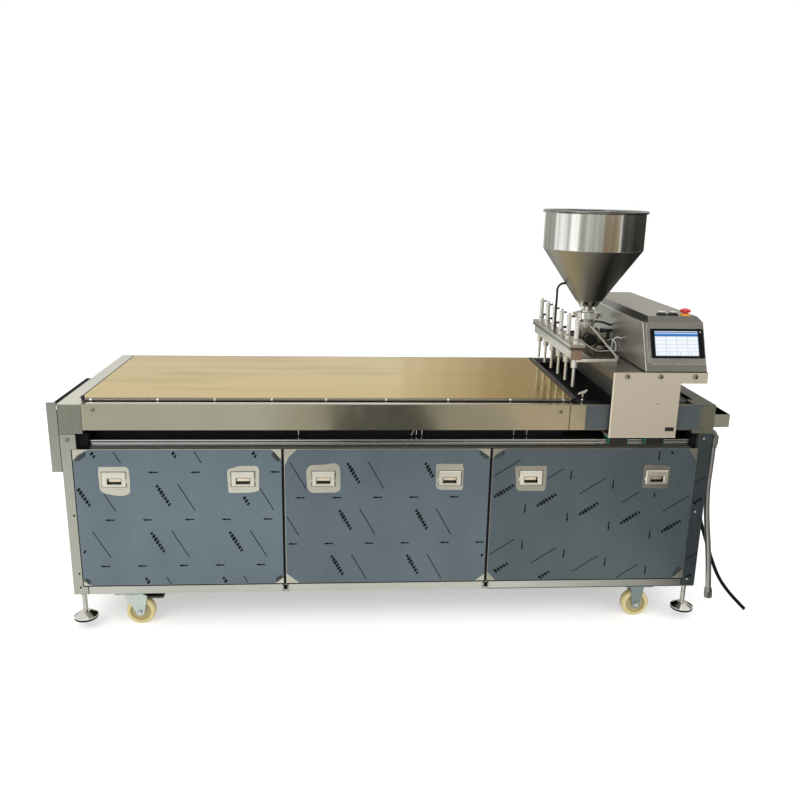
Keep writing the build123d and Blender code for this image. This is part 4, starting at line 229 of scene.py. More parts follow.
class NodeMaker:
    """Adds nodes to a tree."""

    def __init__(self, tree):
        self.tree = tree

    def feed(self, socket, value):
        """Links an output, or a node's first output, to a socket, or sets the socket to a plain value."""
        if isinstance(value, bpy.types.Node):
            value = value.outputs[0]
        if isinstance(value, bpy.types.NodeSocket):
            self.tree.links.new(value, socket)
        else:
            socket.default_value = value

    def add(self, kind, settings=None, **inputs):
        """A node with its own settings and its inputs, each by name or by an underscore and a number."""
        node = self.tree.nodes.new(kind)
        for name, value in (settings or {}).items():
            setattr(node, name, value)
        for name, value in inputs.items():
            socket = node.inputs[int(name[1:])] if name[0] == "_" else node.inputs[name.replace("_", " ")]
            self.feed(socket, value)
        return node

    def maths(self, operation, first, second=0.0):
        return self.add("ShaderNodeMath", {"operation": operation}, _0=first, _1=second).outputs[0]


class Recipe(NodeMaker):
    """A material in the making: one principled shader, fed by textures on the piece's own coordinates."""

    def __init__(self, name, tint, roughness, metallic=0.0):
        self.material = bpy.data.materials.new(name)
        self.material.use_nodes = True
        super().__init__(self.material.node_tree)
        self.shader = self.tree.nodes["Principled BSDF"]
        self.tint = Vector(tint[:3])
        self.surface(Base_Color=(*self.tint, 1.0), Roughness=roughness, Metallic=metallic)
        coordinates = self.add("ShaderNodeTexCoord")
        self.place = coordinates.outputs["Object"]
        self.uv = coordinates.outputs["UV"]

    def surface(self, **inputs):
        """Feeds the shader's own sockets."""
        for name, value in inputs.items():
            self.feed(self.shader.inputs[name.replace("_", " ")], value)

    def noise(self, scale, detail=2.0, stretch=(1, 1, 1)):
        """Soft noise, drawn out along an axis where the stretch is small."""
        mapping = self.add("ShaderNodeMapping", Vector=self.place, Scale=stretch)
        texture = self.add("ShaderNodeTexNoise", Vector=mapping, Scale=scale, Detail=detail)
        return texture.outputs["Fac"]

    def span(self, value, low, high, start=0.0, end=1.0):
        """Maps a value from one range to another, held at the ends."""
        ends = {"From_Min": start, "From_Max": end, "To_Min": low, "To_Max": high}
        return self.add("ShaderNodeMapRange", Value=value, **ends).outputs["Result"]

    def added(self, first, second):
        return self.maths("ADD", first, second)

    def mix(self, factor, first, second):
        """A colour between two colours."""
        return self.add("ShaderNodeMix", {"data_type": "RGBA"}, _0=factor, _6=first, _7=second).outputs[2]

    def shade(self, factor, dark, light):
        """The recipe's own colour, from a darker to a lighter tone."""
        return self.mix(factor, toned(self.tint, dark), toned(self.tint, light))

    def axis(self, letter):
        """One coordinate of the piece."""
        return self.add("ShaderNodeSeparateXYZ", _0=self.place).outputs[letter]

    def zone(self, soft=0.001, **limits):
        """One inside a region, nought outside it; a limit is called after its axis and end, as in x_from."""
        masks = []
        for name, limit in limits.items():
            letter, end = name.split("_")
            ends = (0.0, 1.0) if end == "from" else (1.0, 0.0)
            masks.append(self.span(self.axis(letter.upper()), *ends, limit - soft, limit + soft))
        return self.both(*masks)

    def both(self, *masks):
        """One where all the masks are one."""
        product = masks[0]
        for mask in masks[1:]:
            product = self.maths("MULTIPLY", product, mask)
        return product

    def reach(self, centre, spread):
        """The distance from a point, with each axis weighted."""
        kind = "ShaderNodeVectorMath"
        offset = self.add(kind, {"operation": "SUBTRACT"}, _0=self.place, _1=centre)
        weighted = self.add(kind, {"operation": "MULTIPLY"}, _0=offset, _1=spread)
        return self.add(kind, {"operation": "LENGTH"}, _0=weighted).outputs["Value"]

    def paint(self, value):
        self.surface(Base_Color=value)

    def stain(self, mask, tint):
        """Lays a colour over what is painted so far, where the mask is one."""
        painted = self.shader.inputs["Base Color"].links[0].from_socket
        self.paint(self.mix(mask, painted, tint))

    def mottle(self, mask, scale, dark, light):
        """Lays uneven tones of the recipe's own colour where the mask is one."""
        self.stain(mask, self.shade(self.noise(scale), dark, light))

    def gloss(self, value):
        self.surface(Roughness=value)

    def relief(self, height, depth):
        """A bump of that depth in metres."""
        self.surface(Normal=self.add("ShaderNodeBump", Height=height, Distance=depth))


ALONG_X = (0.02, 1, 1)
ALONG_Y = (1, 0.02, 1)
ALONG_Z = (1, 1, 0.02)


def brushed(name, tint, grain, roughness=0.34, metallic=0.85):
    """Stainless sheet with fine lines along its grain, soft clouds and a few rubbed patches."""
    recipe = Recipe(name, tint, roughness, metallic)
    lines = recipe.noise(650.0, 3.0, grain)
    clouds = recipe.noise(4.0, 3.0)
    rubbed = recipe.noise(14.0, 4.0)
    tone = recipe.added(recipe.span(lines, 0.0, 0.4, 0.3, 0.7), recipe.span(clouds, 0.0, 0.6, 0.3, 0.7))
    recipe.paint(recipe.shade(tone, 0.88, 1.08))
    wear = recipe.added(recipe.span(lines, -0.04, 0.04), recipe.span(rubbed, -0.03, 0.05, 0.35, 0.75))
    recipe.gloss(recipe.added(wear, roughness))
    recipe.relief(lines, 0.00004)
    return recipe


def brushed_sheet(*settings):
    return brushed(*settings).material


def polished(name, tint, roughness=0.16, metallic=1.0):
    """Bright turned or drawn steel, with faint marks of handling."""
    recipe = Recipe(name, tint, roughness, metallic)
    marks = recipe.noise(60.0, 4.0)
    recipe.paint(recipe.shade(recipe.noise(25.0, 2.0), 0.86, 1.08))
    recipe.gloss(recipe.span(marks, roughness * 0.7, roughness * 1.7, 0.3, 0.7))
    return recipe.material


def plated(name, tint):
    """Zinc plating: mottled and slightly dull."""
    recipe = Recipe(name, tint, 0.42, metallic=0.9)
    mottle = recipe.noise(90.0, 4.0)
    recipe.paint(recipe.shade(mottle, 0.7, 1.12))
    recipe.gloss(recipe.span(mottle, 0.3, 0.52, 0.3, 0.7))
    recipe.relief(recipe.noise(420.0, 2.0), 0.00005)
    return recipe.material


def moulded(name, tint, roughness=0.45, shine=0.5):
    """Moulded plastic or rubber with a fine grain."""
    recipe = Recipe(name, tint, roughness)
    recipe.surface(Specular_IOR_Level=shine)
    grain = recipe.noise(900.0, 2.0)
    recipe.paint(recipe.shade(recipe.noise(30.0, 2.0), 0.85, 1.15))
    recipe.gloss(recipe.span(grain, roughness - 0.06, roughness + 0.08))
    recipe.relief(grain, 0.00008)
    return recipe.material


def protective_film(name, tint):
    """Plastic film stuck to a sheet: slightly wavy, with air marks and a soft gloss."""
    recipe = Recipe(name, tint, 0.34, metallic=0.25)
    waves = recipe.noise(7.0, 2.0, (1, 1, 0.5))
    bubbles = recipe.noise(55.0, 4.0)
    tone = recipe.added(recipe.span(waves, 0.0, 0.7, 0.3, 0.7), recipe.span(bubbles, 0.0, 0.3, 0.4, 0.75))
    recipe.paint(recipe.shade(tone, 0.88, 1.1))
    recipe.gloss(recipe.span(bubbles, 0.28, 0.42, 0.3, 0.7))
    recipe.relief(waves, 0.0009)
    return recipe.material


def glowing(name, tint, strength):
    """A lit face of the screen."""
    recipe = Recipe(name, tint, 0.25)
    recipe.surface(Emission_Color=(*recipe.tint, 1.0), Emission_Strength=strength)
    recipe.paint(recipe.shade(recipe.noise(40.0, 1.0), 0.08, 0.12))
    return recipe.material


def dress(finish, *nodes):
    """Gives solids of the frame a finish."""
    for node in nodes:
        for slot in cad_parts[node].material_slots:
            slot.material = finish


def circle(radius, sides):
    """Points round a circle, as (x, y)."""
    angles = [2 * math.pi * index / sides for index in range(sides)]
    return [(radius * math.cos(angle), radius * math.sin(angle)) for angle in angles]


class Shape:
    """A mesh in the making, out of closed solids."""

    def __init__(self):
        self.bm = bmesh.new()

    def box(self, low, high, edge=0.0):
        """A block between two corners, with its edges broken."""
        low, high = Vector(low), Vector(high)
        made = bmesh.ops.create_cube(self.bm, size=1.0)["verts"]
        for vertex in made:
            vertex.co = Vector([a + (c + 0.5) * (b - a) for a, b, c in zip(low, high, vertex.co)])
        if edge:
            edges = list({e for vertex in made for e in vertex.link_edges})
            bmesh.ops.bevel(self.bm, geom=edges, offset=edge, segments=2, affect="EDGES", profile=0.5)
        return self

    def turned(self, profile, place=Matrix(), sides=24):
        """A turned solid; its profile runs from axis to axis, as (radius, height)."""
        rings = []
        for radius, height in profile:
            if radius == 0:
                rings.append([self.bm.verts.new(place @ Vector((0, 0, height)))])
                continue
            spots = [Vector((x, y, height)) for x, y in circle(radius, sides)]
            rings.append([self.bm.verts.new(place @ spot) for spot in spots])
        made = []
        for lower, upper in zip(rings, rings[1:]):
            for index in range(sides):
                corners = [lower[index % len(lower)], lower[(index + 1) % len(lower)],
                           upper[(index + 1) % len(upper)], upper[index % len(upper)]]
                made.append(self.bm.faces.new(list(dict.fromkeys(corners))))
        bmesh.ops.recalc_face_normals(self.bm, faces=made)
        return self

    def prism(self, outline, thickness, place=Matrix()):
        """A flat outline, raised along its normal."""
        lower = [self.bm.verts.new(place @ Vector((x, y, 0))) for x, y in outline]
        upper = [self.bm.verts.new(place @ Vector((x, y, thickness))) for x, y in outline]
        made = [self.bm.faces.new(lower), self.bm.faces.new(upper)]
        for index in range(len(outline)):
            after = (index + 1) % len(outline)
            made.append(self.bm.faces.new((lower[index], lower[after], upper[after], upper[index])))
        bmesh.ops.recalc_face_normals(self.bm, faces=made)
        return self

    def pipe(self, points, radius, sides=12):
        """A closed round tube along points, with its length and its girth as the UV map."""
        layer = self.bm.loops.layers.uv.verify()
        points = [Vector(point) for point in points]
        ways = [(b - a).normalized() for a, b in zip(points, points[1:])]
        ways.append(ways[-1])
        side = ways[0].orthogonal().normalized()
        rings, lengths = [], []
        for index, (point, way) in enumerate(zip(points, ways)):
            side = (side - way * side.dot(way)).normalized()
            up = way.cross(side)
            rings.append([self.bm.verts.new(point + side * x + up * y) for x, y in circle(radius, sides)])
            lengths.append(lengths[-1] + (point - points[index - 1]).length if lengths else 0.0)
        for row in range(len(rings) - 1):
            for step in range(sides):
                after = (step + 1) % sides
                face = self.bm.faces.new((rings[row][step], rings[row][after],
                                          rings[row + 1][after], rings[row + 1][step]))
                spots = ((step, row), (step + 1, row), (step + 1, row + 1), (step, row + 1))
                for loop, (turn, along) in zip(face.loops, spots):
                    loop[layer].uv = (turn / sides, lengths[along])
        self.bm.faces.new(list(reversed(rings[0])))
        self.bm.faces.new(rings[-1])
        return self

    def mesh(self, name):
        made = bpy.data.meshes.new(name)
        self.bm.to_mesh(made)
        self.bm.free()
        return smoothed(made)

    def put(self, name, finish, body, slot):
        """Puts the shape in the scene as a piece."""
        return piece(name, self.mesh(name), finish, body)


def smoothed(mesh):
    """A mesh with smooth shading, apart from its sharp edges."""
    mesh.shade_smooth()
    mesh.set_sharp_from_angle(angle=math.radians(35))
    return mesh


def placed(name, data):
    """A new object in the scene."""
    made = bpy.data.objects.new(name, data)
    bpy.context.scene.collection.objects.link(made)
    return made


def piece(name, mesh, finish, body):
    """Puts a mesh in the scene as a piece that rides on a body."""
    mesh.materials.clear()
    mesh.materials.append(finish)
    made = placed(name, mesh)
    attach(made, body)
    return made


def plain_mesh(name, thing):
    """The evaluated shape of a temporary object as a plain mesh; the object is removed."""
    depsgraph = bpy.context.evaluated_depsgraph_get()
    mesh = bpy.data.meshes.new_from_object(thing.evaluated_get(depsgraph), depsgraph=depsgraph)
    mesh.name = name
    bpy.data.objects.remove(thing)
    return mesh


class NodeTree(NodeMaker):
    """A Geometry Nodes tree in the making."""

    def __init__(self, name):
        super().__init__(bpy.data.node_groups.new(name, "GeometryNodeTree"))
        for way in ("INPUT", "OUTPUT"):
            self.tree.interface.new_socket("Geometry", in_out=way, socket_type="NodeSocketGeometry")
        self.sources = self.tree.nodes.new("NodeGroupInput")
        self.result = self.tree.nodes.new("NodeGroupOutput")

    def setting(self, name, kind="Float"):
        """A named input of the tree."""
        self.tree.interface.new_socket(name, in_out="INPUT", socket_type="NodeSocket" + kind)
        return self.sources.outputs[name]

    def end(self, geometry, finish):
        """Closes the tree: real geometry with its finish."""
        real = self.add("GeometryNodeRealizeInstances", Geometry=geometry)
        coated = self.add("GeometryNodeSetMaterial", Geometry=real, Material=finish)
        self.feed(self.result.inputs[0], coated)
        return self.tree


def grown(name, tree, base, values):
    """The plain mesh that a tree makes from a base mesh, with its inputs set by name."""
    thing = placed(name, base)
    modifier = thing.modifiers.new(name, "NODES")
    modifier.node_group = tree
    for socket in tree.interface.items_tree:
        if socket.in_out == "INPUT" and socket.name in values:
            modifier[socket.identifier] = values[socket.name]
    thing.update_tag()
    return plain_mesh(name, thing)


def copies_tree():
    """Sets copies of a shape on points, each turned to its point's facing, at a given size."""
    tree = NodeTree("Copies on points")
    shape = tree.setting("Shape", "Object")
    size = tree.setting("Size")
    finish = tree.setting("Finish", "Material")
    points = tree.add("GeometryNodeMeshToPoints", Mesh=tree.sources.outputs[0])
    facing = tree.add("GeometryNodeInputNamedAttribute", {"data_type": "FLOAT_VECTOR"}, Name="facing")
    turn = tree.add("FunctionNodeAlignRotationToVector", {"axis": "Z"}, Vector=facing)
    source = tree.add("GeometryNodeObjectInfo", Object=shape)
    scale = tree.add("ShaderNodeCombineXYZ", X=size, Y=size, Z=size)
    copies = tree.add("GeometryNodeInstanceOnPoints", Points=points,
                      Instance=source.outputs["Geometry"], Rotation=turn, Scale=scale)
    return tree.end(copies, finish)


def set_out(name, shape, size, finish, body, spots):
    """One piece that holds a copy of the shape at each spot; a spot is a point and the way it faces."""
    base = bpy.data.meshes.new(name)
    base.from_pydata([point for point, facing in spots], [], [])
    base.attributes.new("facing", "FLOAT_VECTOR", "POINT")
    for entry, (point, facing) in zip(base.attributes["facing"].data, spots):
        entry.vector = facing
    pattern = placed(name + "_pattern", shape)
    values = {"Shape": pattern, "Size": size, "Finish": finish}
    mesh = grown(name, bpy.data.node_groups["Copies on points"], base, values)
    bpy.data.objects.remove(pattern)
    piece(name, smoothed(mesh), finish, body)


def button_head():
    """A domed screw head, one unit across, with a round-bottomed socket."""
    profile = ((0, 0.12), (0.17, 0.12), (0.2, 0.34), (0.36, 0.28), (0.46, 0.16), (0.5, 0.0), (0, 0.0))
    return Shape().turned(profile, sides=18).mesh("button_head")


def hexagon(across):
    return circle(across / 2, 6)


def hexagon_bolt():
    """A hexagon head on its washer, one unit across."""
    shape = Shape().turned(((0, 0), (0.5, 0), (0.5, 0.07), (0, 0.07)), sides=20)
    shape.prism(hexagon(0.8), 0.34, Matrix.Translation((0, 0, 0.07)))
    return shape.turned(((0, 0.41), (0.3, 0.41), (0.22, 0.46), (0, 0.46)), sides=16).mesh("hexagon_bolt")


class DORAYAKI_OT_stage(Operator):
    """Sets the floor, the white surround, the lamps and the camera"""

    bl_idname = "dorayaki.stage"
    bl_label = "Stage"

    # Walls that the bright metal mirrors: name, first and last angle from the front to the right, and colour.
    walls = (("grey_wall", -50, 6, 184, 186, 179), ("warm_wall", 6, 44, 148, 128, 106),
             ("right_wall", 48, 160, 56, 56, 52), ("left_wall", -195, -115, 172, 174, 167))
    # Rows of cards that it mirrors, on the floor and behind the machine, from left to right: left edge and
    # colour of each card, and at the end the right edge of the last one.
    floor_mats = ((-2.8, 255, 255, 252), (-0.62, 222, 217, 207), (-0.27, 66, 66, 62), (0.42, 208, 198, 186),
                  (0.95, 255, 232, 208), (1.55, 168, 166, 148), (3.6,))
    back_strips = ((0.44, 240, 237, 230), (0.66, 230, 226, 217), (0.88, 221, 215, 205), (1.10, 210, 203, 191),
                   (1.30, 194, 185, 171), (1.52, 184, 174, 159), (2.60, 192, 187, 177), (3.45, 124, 121, 114),
                   (4.60,))
    # Single cards above, at the right and behind: two opposite corners, and colour.
    cards = (((-1.5, -6.0, 3.4), (1.4, -1.3, 3.4), (190, 186, 170)),
             ((1.4, -6.0, 3.4), (4.0, -1.3, 3.4), (84, 84, 78)),
             ((1.17, -1.9, 0.002), (7.0, 5.4, 0.002), (64, 62, 56)),
             ((2.0, 5.41, 0.0), (7.0, 5.41, 1.2), (64, 62, 56)))

    def execute(self, context):
        scene = context.scene
        studio = scene.dorayaki_studio
        scene.view_settings.view_transform = "Standard"
        half = 14.0
        corners = [(-half, -half, 0), (half, -half, 0), (half, half, 0), (-half, half, 0)]
        floor_mesh = bpy.data.meshes.new("floor")
        floor_mesh.from_pydata(corners, [], [(0, 1, 2, 3)])
        floor = placed("floor", floor_mesh)
        floor_mesh.materials.append(self.floor_finish(studio.floor_glow))
        self.surround(scene, studio.ambient)
        self.lamp("key_lamp", (-2.6, -3.4, 3.4), 2.6, studio.key_power)
        fill = self.lamp("fill_lamp", (3.2, -2.6, 2.2), 2.0, studio.fill_power)
        fill.visible_glossy = False
        self.lamp("top_lamp", (0.2, 0.6, 4.2), 3.0, studio.top_power)
        for name, start, end, *tint in self.walls:
            self.wall(name, math.radians(start), math.radians(end), tint)
        for row, low, high in ((self.floor_mats, (-4.6, 0.002), (-2.0, 0.002)),
                               (self.back_strips, (5.4, 1.2), (5.4, 3.4))):
            for (left, *tint), (right, *_) in zip(row, row[1:]):
                self.card((left, *low), (right, *high), tint)
        for low, high, tint in self.cards:
            self.card(low, high, tint)
        self.camera(scene, studio)
        return {"FINISHED"}

    def card(self, low, high, tint):
        """A flat card between two opposite corners."""
        corners = (low, (high[0], low[1], low[2]), high, (low[0], high[1], high[2]))
        self.mirrored("card", corners, [(0, 1, 2, 3)], tint)

    def wall(self, name, start, end, tint):
        """A low bent wall round the machine."""
        steps, far, foot, top = 12, 5.5, 0.02, 1.65
        centre = Vector((0.6, 0, 0))
        corners, faces = [], []
        for step in range(steps + 1):
            angle = start + (end - start) * step / steps
            place = centre + far * Vector((math.sin(angle), -math.cos(angle), 0))
            corners += [place + Vector((0, 0, foot)), place + Vector((0, 0, top))]
        for step in range(0, 2 * steps, 2):
            faces.append((step, step + 2, step + 3, step + 1))
        self.mirrored(name, corners, faces, tint)

    def mirrored(self, name, corners, faces, tint):
        """A surface of one colour that shows only as a reflection in the metal."""
        recipe = Recipe(name, (0.0, 0.0, 0.0), 0.5)
        recipe.surface(Specular_IOR_Level=0.0, Emission_Color=linear(*tint), Emission_Strength=1.0)
        mesh = bpy.data.meshes.new(name)
        mesh.from_pydata(corners, [], faces)
        mesh.materials.append(recipe.material)
        surface = placed(name, mesh)
        surface.visible_camera = False
        surface.visible_diffuse = False
        surface.visible_shadow = False
        surface.visible_transmission = False

    def floor_finish(self, glow):
        """A pale floor that takes shadows, with a little light of its own towards the eye."""
        recipe = Recipe("pale_floor", (0.9, 0.9, 0.89), 0.9)
        light = recipe.maths("MULTIPLY", self.seen(recipe, "Glossy"), glow)
        recipe.surface(Emission_Color=(1.0, 1.0, 1.0, 1.0), Emission_Strength=light)
        return recipe.material

    def seen(self, nodes, *kinds):
        """One for what the eye sees straight on or by rays of the other kinds."""
        path = nodes.add("ShaderNodeLightPath")
        rays = path.outputs["Is Camera Ray"]
        for kind in kinds:
            rays = nodes.maths("MAXIMUM", rays, path.outputs[f"Is {kind} Ray"])
        return rays

    def surround(self, scene, ambient):
        """White to the eye, in mirrors and through glass; softer as a light."""
        world = bpy.data.worlds.new("white_surround")
        world.use_nodes = True
        scene.world = world
        nodes = NodeMaker(world.node_tree)
        strength = nodes.add("ShaderNodeMapRange", Value=self.seen(nodes, "Glossy", "Transmission"),
                             To_Min=ambient, To_Max=1.0)
        background = world.node_tree.nodes["Background"]
        nodes.feed(background.inputs["Color"], (1.0, 1.0, 1.0, 1.0))
        nodes.feed(background.inputs["Strength"], strength)

    def lamp(self, name, place, size, power):
        light = bpy.data.lights.new(name, "AREA")
        light.size = size
        light.energy = power
        lamp = placed(name, light)
        lamp.location = place
        lamp.rotation_euler = (Vector((0, 0, 0.8)) - Vector(place)).to_track_quat("-Z", "Y").to_euler()
        return lamp

    def camera(self, scene, studio):
        yaw, pitch, roll = studio.camera_yaw, studio.camera_pitch, studio.camera_roll
        ahead = Vector((math.sin(yaw) * math.cos(pitch), math.cos(yaw) * math.cos(pitch), math.sin(pitch)))
        right = Vector((math.cos(yaw), -math.sin(yaw), 0))
        up = right.cross(ahead)
        tilted_right = math.cos(roll) * right + math.sin(roll) * up
        tilted_up = math.cos(roll) * up - math.sin(roll) * right
        turn = Matrix((tilted_right, tilted_up, -ahead)).transposed()
        data = bpy.data.cameras.new("camera")
        data.sensor_width = 36.0
        data.lens = studio.camera_lens
        camera = placed("camera", data)
        camera.matrix_world = Matrix.Translation(studio.camera_place) @ turn.to_4x4()
        scene.camera = camera


def new_spline(curve, kind, points):
    """Adds a spline to a curve, with the points as its control points."""
    spline = curve.splines.new(kind)
    spline.points.add(len(points) - 1)
    for control, point in zip(spline.points, points):
        control.co = (*point, 1.0)
    return spline


def smooth_route(name, points):
    """The line of a cord: a smooth spline along its route."""
    curve = bpy.data.curves.new(name, "CURVE")
    curve.dimensions = "3D"
    curve.resolution_u = 10
    spline = new_spline(curve, "NURBS", points)
    spline.order_u = 3
    spline.use_endpoint_u = True
    mesh = plain_mesh(name, placed(name, curve))
    return [vertex.co.copy() for vertex in mesh.vertices]


class DORAYAKI_OT_cords(Operator):
    """Makes the braided gas hose and the power cable"""

    bl_idname = "dorayaki.cords"
    bl_label = "Cords"

    hose_route = ((1.133, -0.3305, 0.648), (1.133, -0.3305, 0.578), (1.128, -0.3355, 0.498),
                  (1.133, -0.3445, 0.398), (1.145, -0.3545, 0.303), (1.157, -0.3625, 0.203),
                  (1.164, -0.3675, 0.112))
    cable_route = ((1.128, -0.2875, 0.440), (1.128, -0.2875, 0.402), (1.140, -0.2905, 0.350),
                   (1.165, -0.2965, 0.277), (1.195, -0.3065, 0.195), (1.221, -0.3165, 0.134),
                   (1.253, -0.3245, 0.087), (1.290, -0.3335, 0.046), (1.328, -0.3425, 0.009))

    def execute(self, context):
        line = smooth_route("gas_hose_line", self.hose_route)
        hose = Shape().pipe(line, 0.010, 24).put("gas_hose_braid", self.braid(), "table", "braided_steel")
        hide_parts("gas_hose")
        line = smooth_route("power_cable_line", self.cable_route)
        sheath = moulded("cable_sheath", finishes().black, 0.5, 0.15)
        cable = Shape().pipe(line, 0.0065, 16).put("power_cable_sheath", sheath, "table", "black_rubber")
        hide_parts("power_cable")
        return {"FINISHED"}

    def braid(self):
        """Crossing strands of steel wire, laid on the hose's own length and girth."""
        recipe = Recipe("steel_braid", finishes().braid, 0.34, metallic=0.9)
        parts = recipe.add("ShaderNodeSeparateXYZ", _0=recipe.uv)
        girth, wraps = parts.outputs[0], 12.0
        lengthwise = recipe.maths("MULTIPLY", parts.outputs[1], 190.0)
        strands = []
        for sense in (1.0, -1.0):
            phase = recipe.added(recipe.maths("MULTIPLY", girth, wraps * sense), lengthwise)
            strands.append(recipe.maths("PINGPONG", phase, 1.0))
        weave = recipe.maths("MAXIMUM", *strands)
        recipe.paint(recipe.shade(recipe.span(weave, 0.0, 1.0, 0.35, 0.9), 0.12, 1.05))
        recipe.relief(weave, 0.0006)
        return recipe.material


class DORAYAKI_OT_table(Operator):
    """Finishes the table's sheets, tubes, drawer, tray and end fittings"""

    bl_idname = "dorayaki.table"
    bl_label = "Table"

    def execute(self, context):
        colours = finishes()
        dress(self.fascia_steel(), "front_fascias")
        dress(self.rail_tube(), "frame_rails")
        dress(brushed_sheet("upright_steel", colours.drawer_steel, ALONG_Z), "crumb_drawer")
        dress(self.leg_steel(), "legs")
        dress(brushed_sheet("cross_grain_steel", colours.bare_steel, ALONG_Y, 0.3), "side_fascias")
        dress(self.panel_steel(), "side_panels")
        dress(self.strip_steel(), "deck_strips")
        dress(self.tray_steel(), "right_tray")
        dress(self.rail_steel(), "linear_rails")
        dress(self.scorched_steel(), "burners")
        dress(moulded("motor_paint", colours.motor, 0.4), "drive_motor")
        dress(polished("pulley_steel", colours.polished_steel, 0.25), "drive_pulley", "idler_pulley")
        dress(moulded("belt_rubber", colours.black, 0.6), "drive_belt")
        dress(plated("inlet_steel", colours.inlet), "gas_inlet", "hose_nut")
        dress(moulded("gland_plastic", colours.black, 0.4), "cable_gland")
        return {"FINISHED"}

    def rail_tube(self):
        """Square tube: painted dark reflection at the bottom rail's right end, painted shade behind the front
        rail.
        """
        recipe = brushed("rail_tube_steel", finishes().rail_tube, ALONG_X)
        # Painted dark reflection towards the right end of the bottom rail.
        recipe.mottle(recipe.both(recipe.zone(0.30, x_from=0.75), recipe.zone(z_to=0.175)), 5.0, 0.32, 0.42)
        # Painted shade on the tube up behind the front rail, seen in the slot.
        recipe.mottle(recipe.zone(y_from=FASCIA_LOW.y + 0.006, y_to=-0.2, z_from=0.667), 7.0, 0.03, 0.06)
        return recipe.material

    def panel_steel(self):
        """Brushed sheet of the end and rear panels, darkened inside with painted shade."""
        low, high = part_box("side_panels")
        recipe = brushed("panel_steel", finishes().bare_steel, ALONG_Y, 0.3)
        gauge = 0.0008
        # Painted shade on the panels' inner faces.
        inside = recipe.zone(0.0003, y_to=high.y - gauge, x_from=low.x + gauge, x_to=high.x - gauge)
        recipe.mottle(inside, 7.0, 0.02, 0.05)
        return recipe.material

    def fascia_steel(self):
        """Brushed sheet, darkened with painted shade down in the gutter."""
        recipe = brushed("fascia_steel", finishes().fascia_steel, ALONG_X, 0.12)
        # Painted shade down in the gutter, behind the fascia's front face.
        gutter = recipe.zone(0.0005, z_to=FASCIA_HIGH.z - 0.0015, y_from=FASCIA_LOW.y + 0.0155)
        recipe.stain(gutter, tuple(finishes().gutter))
        return recipe.material

    def strip_steel(self):
        """Brushed strips round the plate; the one at the right end is darkened as a painted dark reflection."""
        recipe = brushed("strip_steel", toned(finishes().bare_steel, 1.3), ALONG_Y, 0.3)
        # Painted dark reflection on the strip at the right end.
        recipe.mottle(recipe.zone(x_from=PLATE_HIGH.x + 0.1), 6.0, 0.22, 0.33)
        return recipe.material

    def tray_steel(self):
        """Brushed tray, darkened inside with painted shade."""
        low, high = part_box("right_tray")
        recipe = brushed("tray_steel", finishes().bare_steel, ALONG_Y, 0.3)
        gauge = 0.0015
        # Painted shade inside the tray.
        inside = recipe.zone(0.0003, x_from=low.x + gauge, x_to=high.x - gauge, y_from=low.y + gauge)
        recipe.mottle(inside, 8.0, 0.02, 0.05)
        return recipe.material

    def leg_steel(self):
        """Square tube with a darker box at its top."""
        recipe = Recipe("leg_steel", finishes().leg_steel, 0.32, metallic=0.85)
        lines = recipe.noise(600.0, 3.0, ALONG_Z)
        clouds = recipe.noise(5.0, 3.0)
        tone = recipe.added(recipe.span(lines, 0.0, 0.3, 0.3, 0.7), recipe.span(clouds, 0.0, 0.7, 0.3, 0.7))
        corner = finishes().corner_steel
        box = recipe.mix(tone, toned(corner, 0.8), toned(corner, 1.12))
        recipe.paint(recipe.mix(recipe.zone(z_from=CORNER_FOOT + 0.0005), recipe.shade(tone, 0.86, 1.1), box))
        recipe.gloss(recipe.span(clouds, 0.26, 0.4, 0.3, 0.7))
        return recipe.material

    def rail_steel(self):
        """Ground rail with painted shade in a line along its upper raceway and at its foot."""
        recipe = Recipe("rail_steel", finishes().raceway, 0.22, metallic=1.0)
        low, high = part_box("linear_rails")
        line, half_line, foot = high.z - 0.0062, 0.0022, low.z + 0.0012
        grind = recipe.noise(500.0, 2.0, ALONG_X)
        groove_and_foot_shade = recipe.shade(grind, 0.08, 0.2)
        recipe.paint(recipe.shade(grind, 0.85, 1.12))
        # Painted shade in the raceway's groove and at the rail's foot.
        recipe.stain(recipe.zone(0.0005, z_from=line - half_line, z_to=line + half_line), groove_and_foot_shade)
        recipe.stain(recipe.zone(0.0015, z_to=foot), groove_and_foot_shade)
        recipe.gloss(recipe.span(grind, 0.16, 0.3))
        return recipe.material

    def scorched_steel(self):
        """Burner sheet, dark and dull from heat."""
        recipe = Recipe("scorched_steel", finishes().dark_steel, 0.6, metallic=0.6)
        soot = recipe.noise(9.0, 4.0)
        recipe.paint(recipe.shade(soot, 0.9, 2.4))
        recipe.gloss(recipe.span(soot, 0.5, 0.75))
        return recipe.material


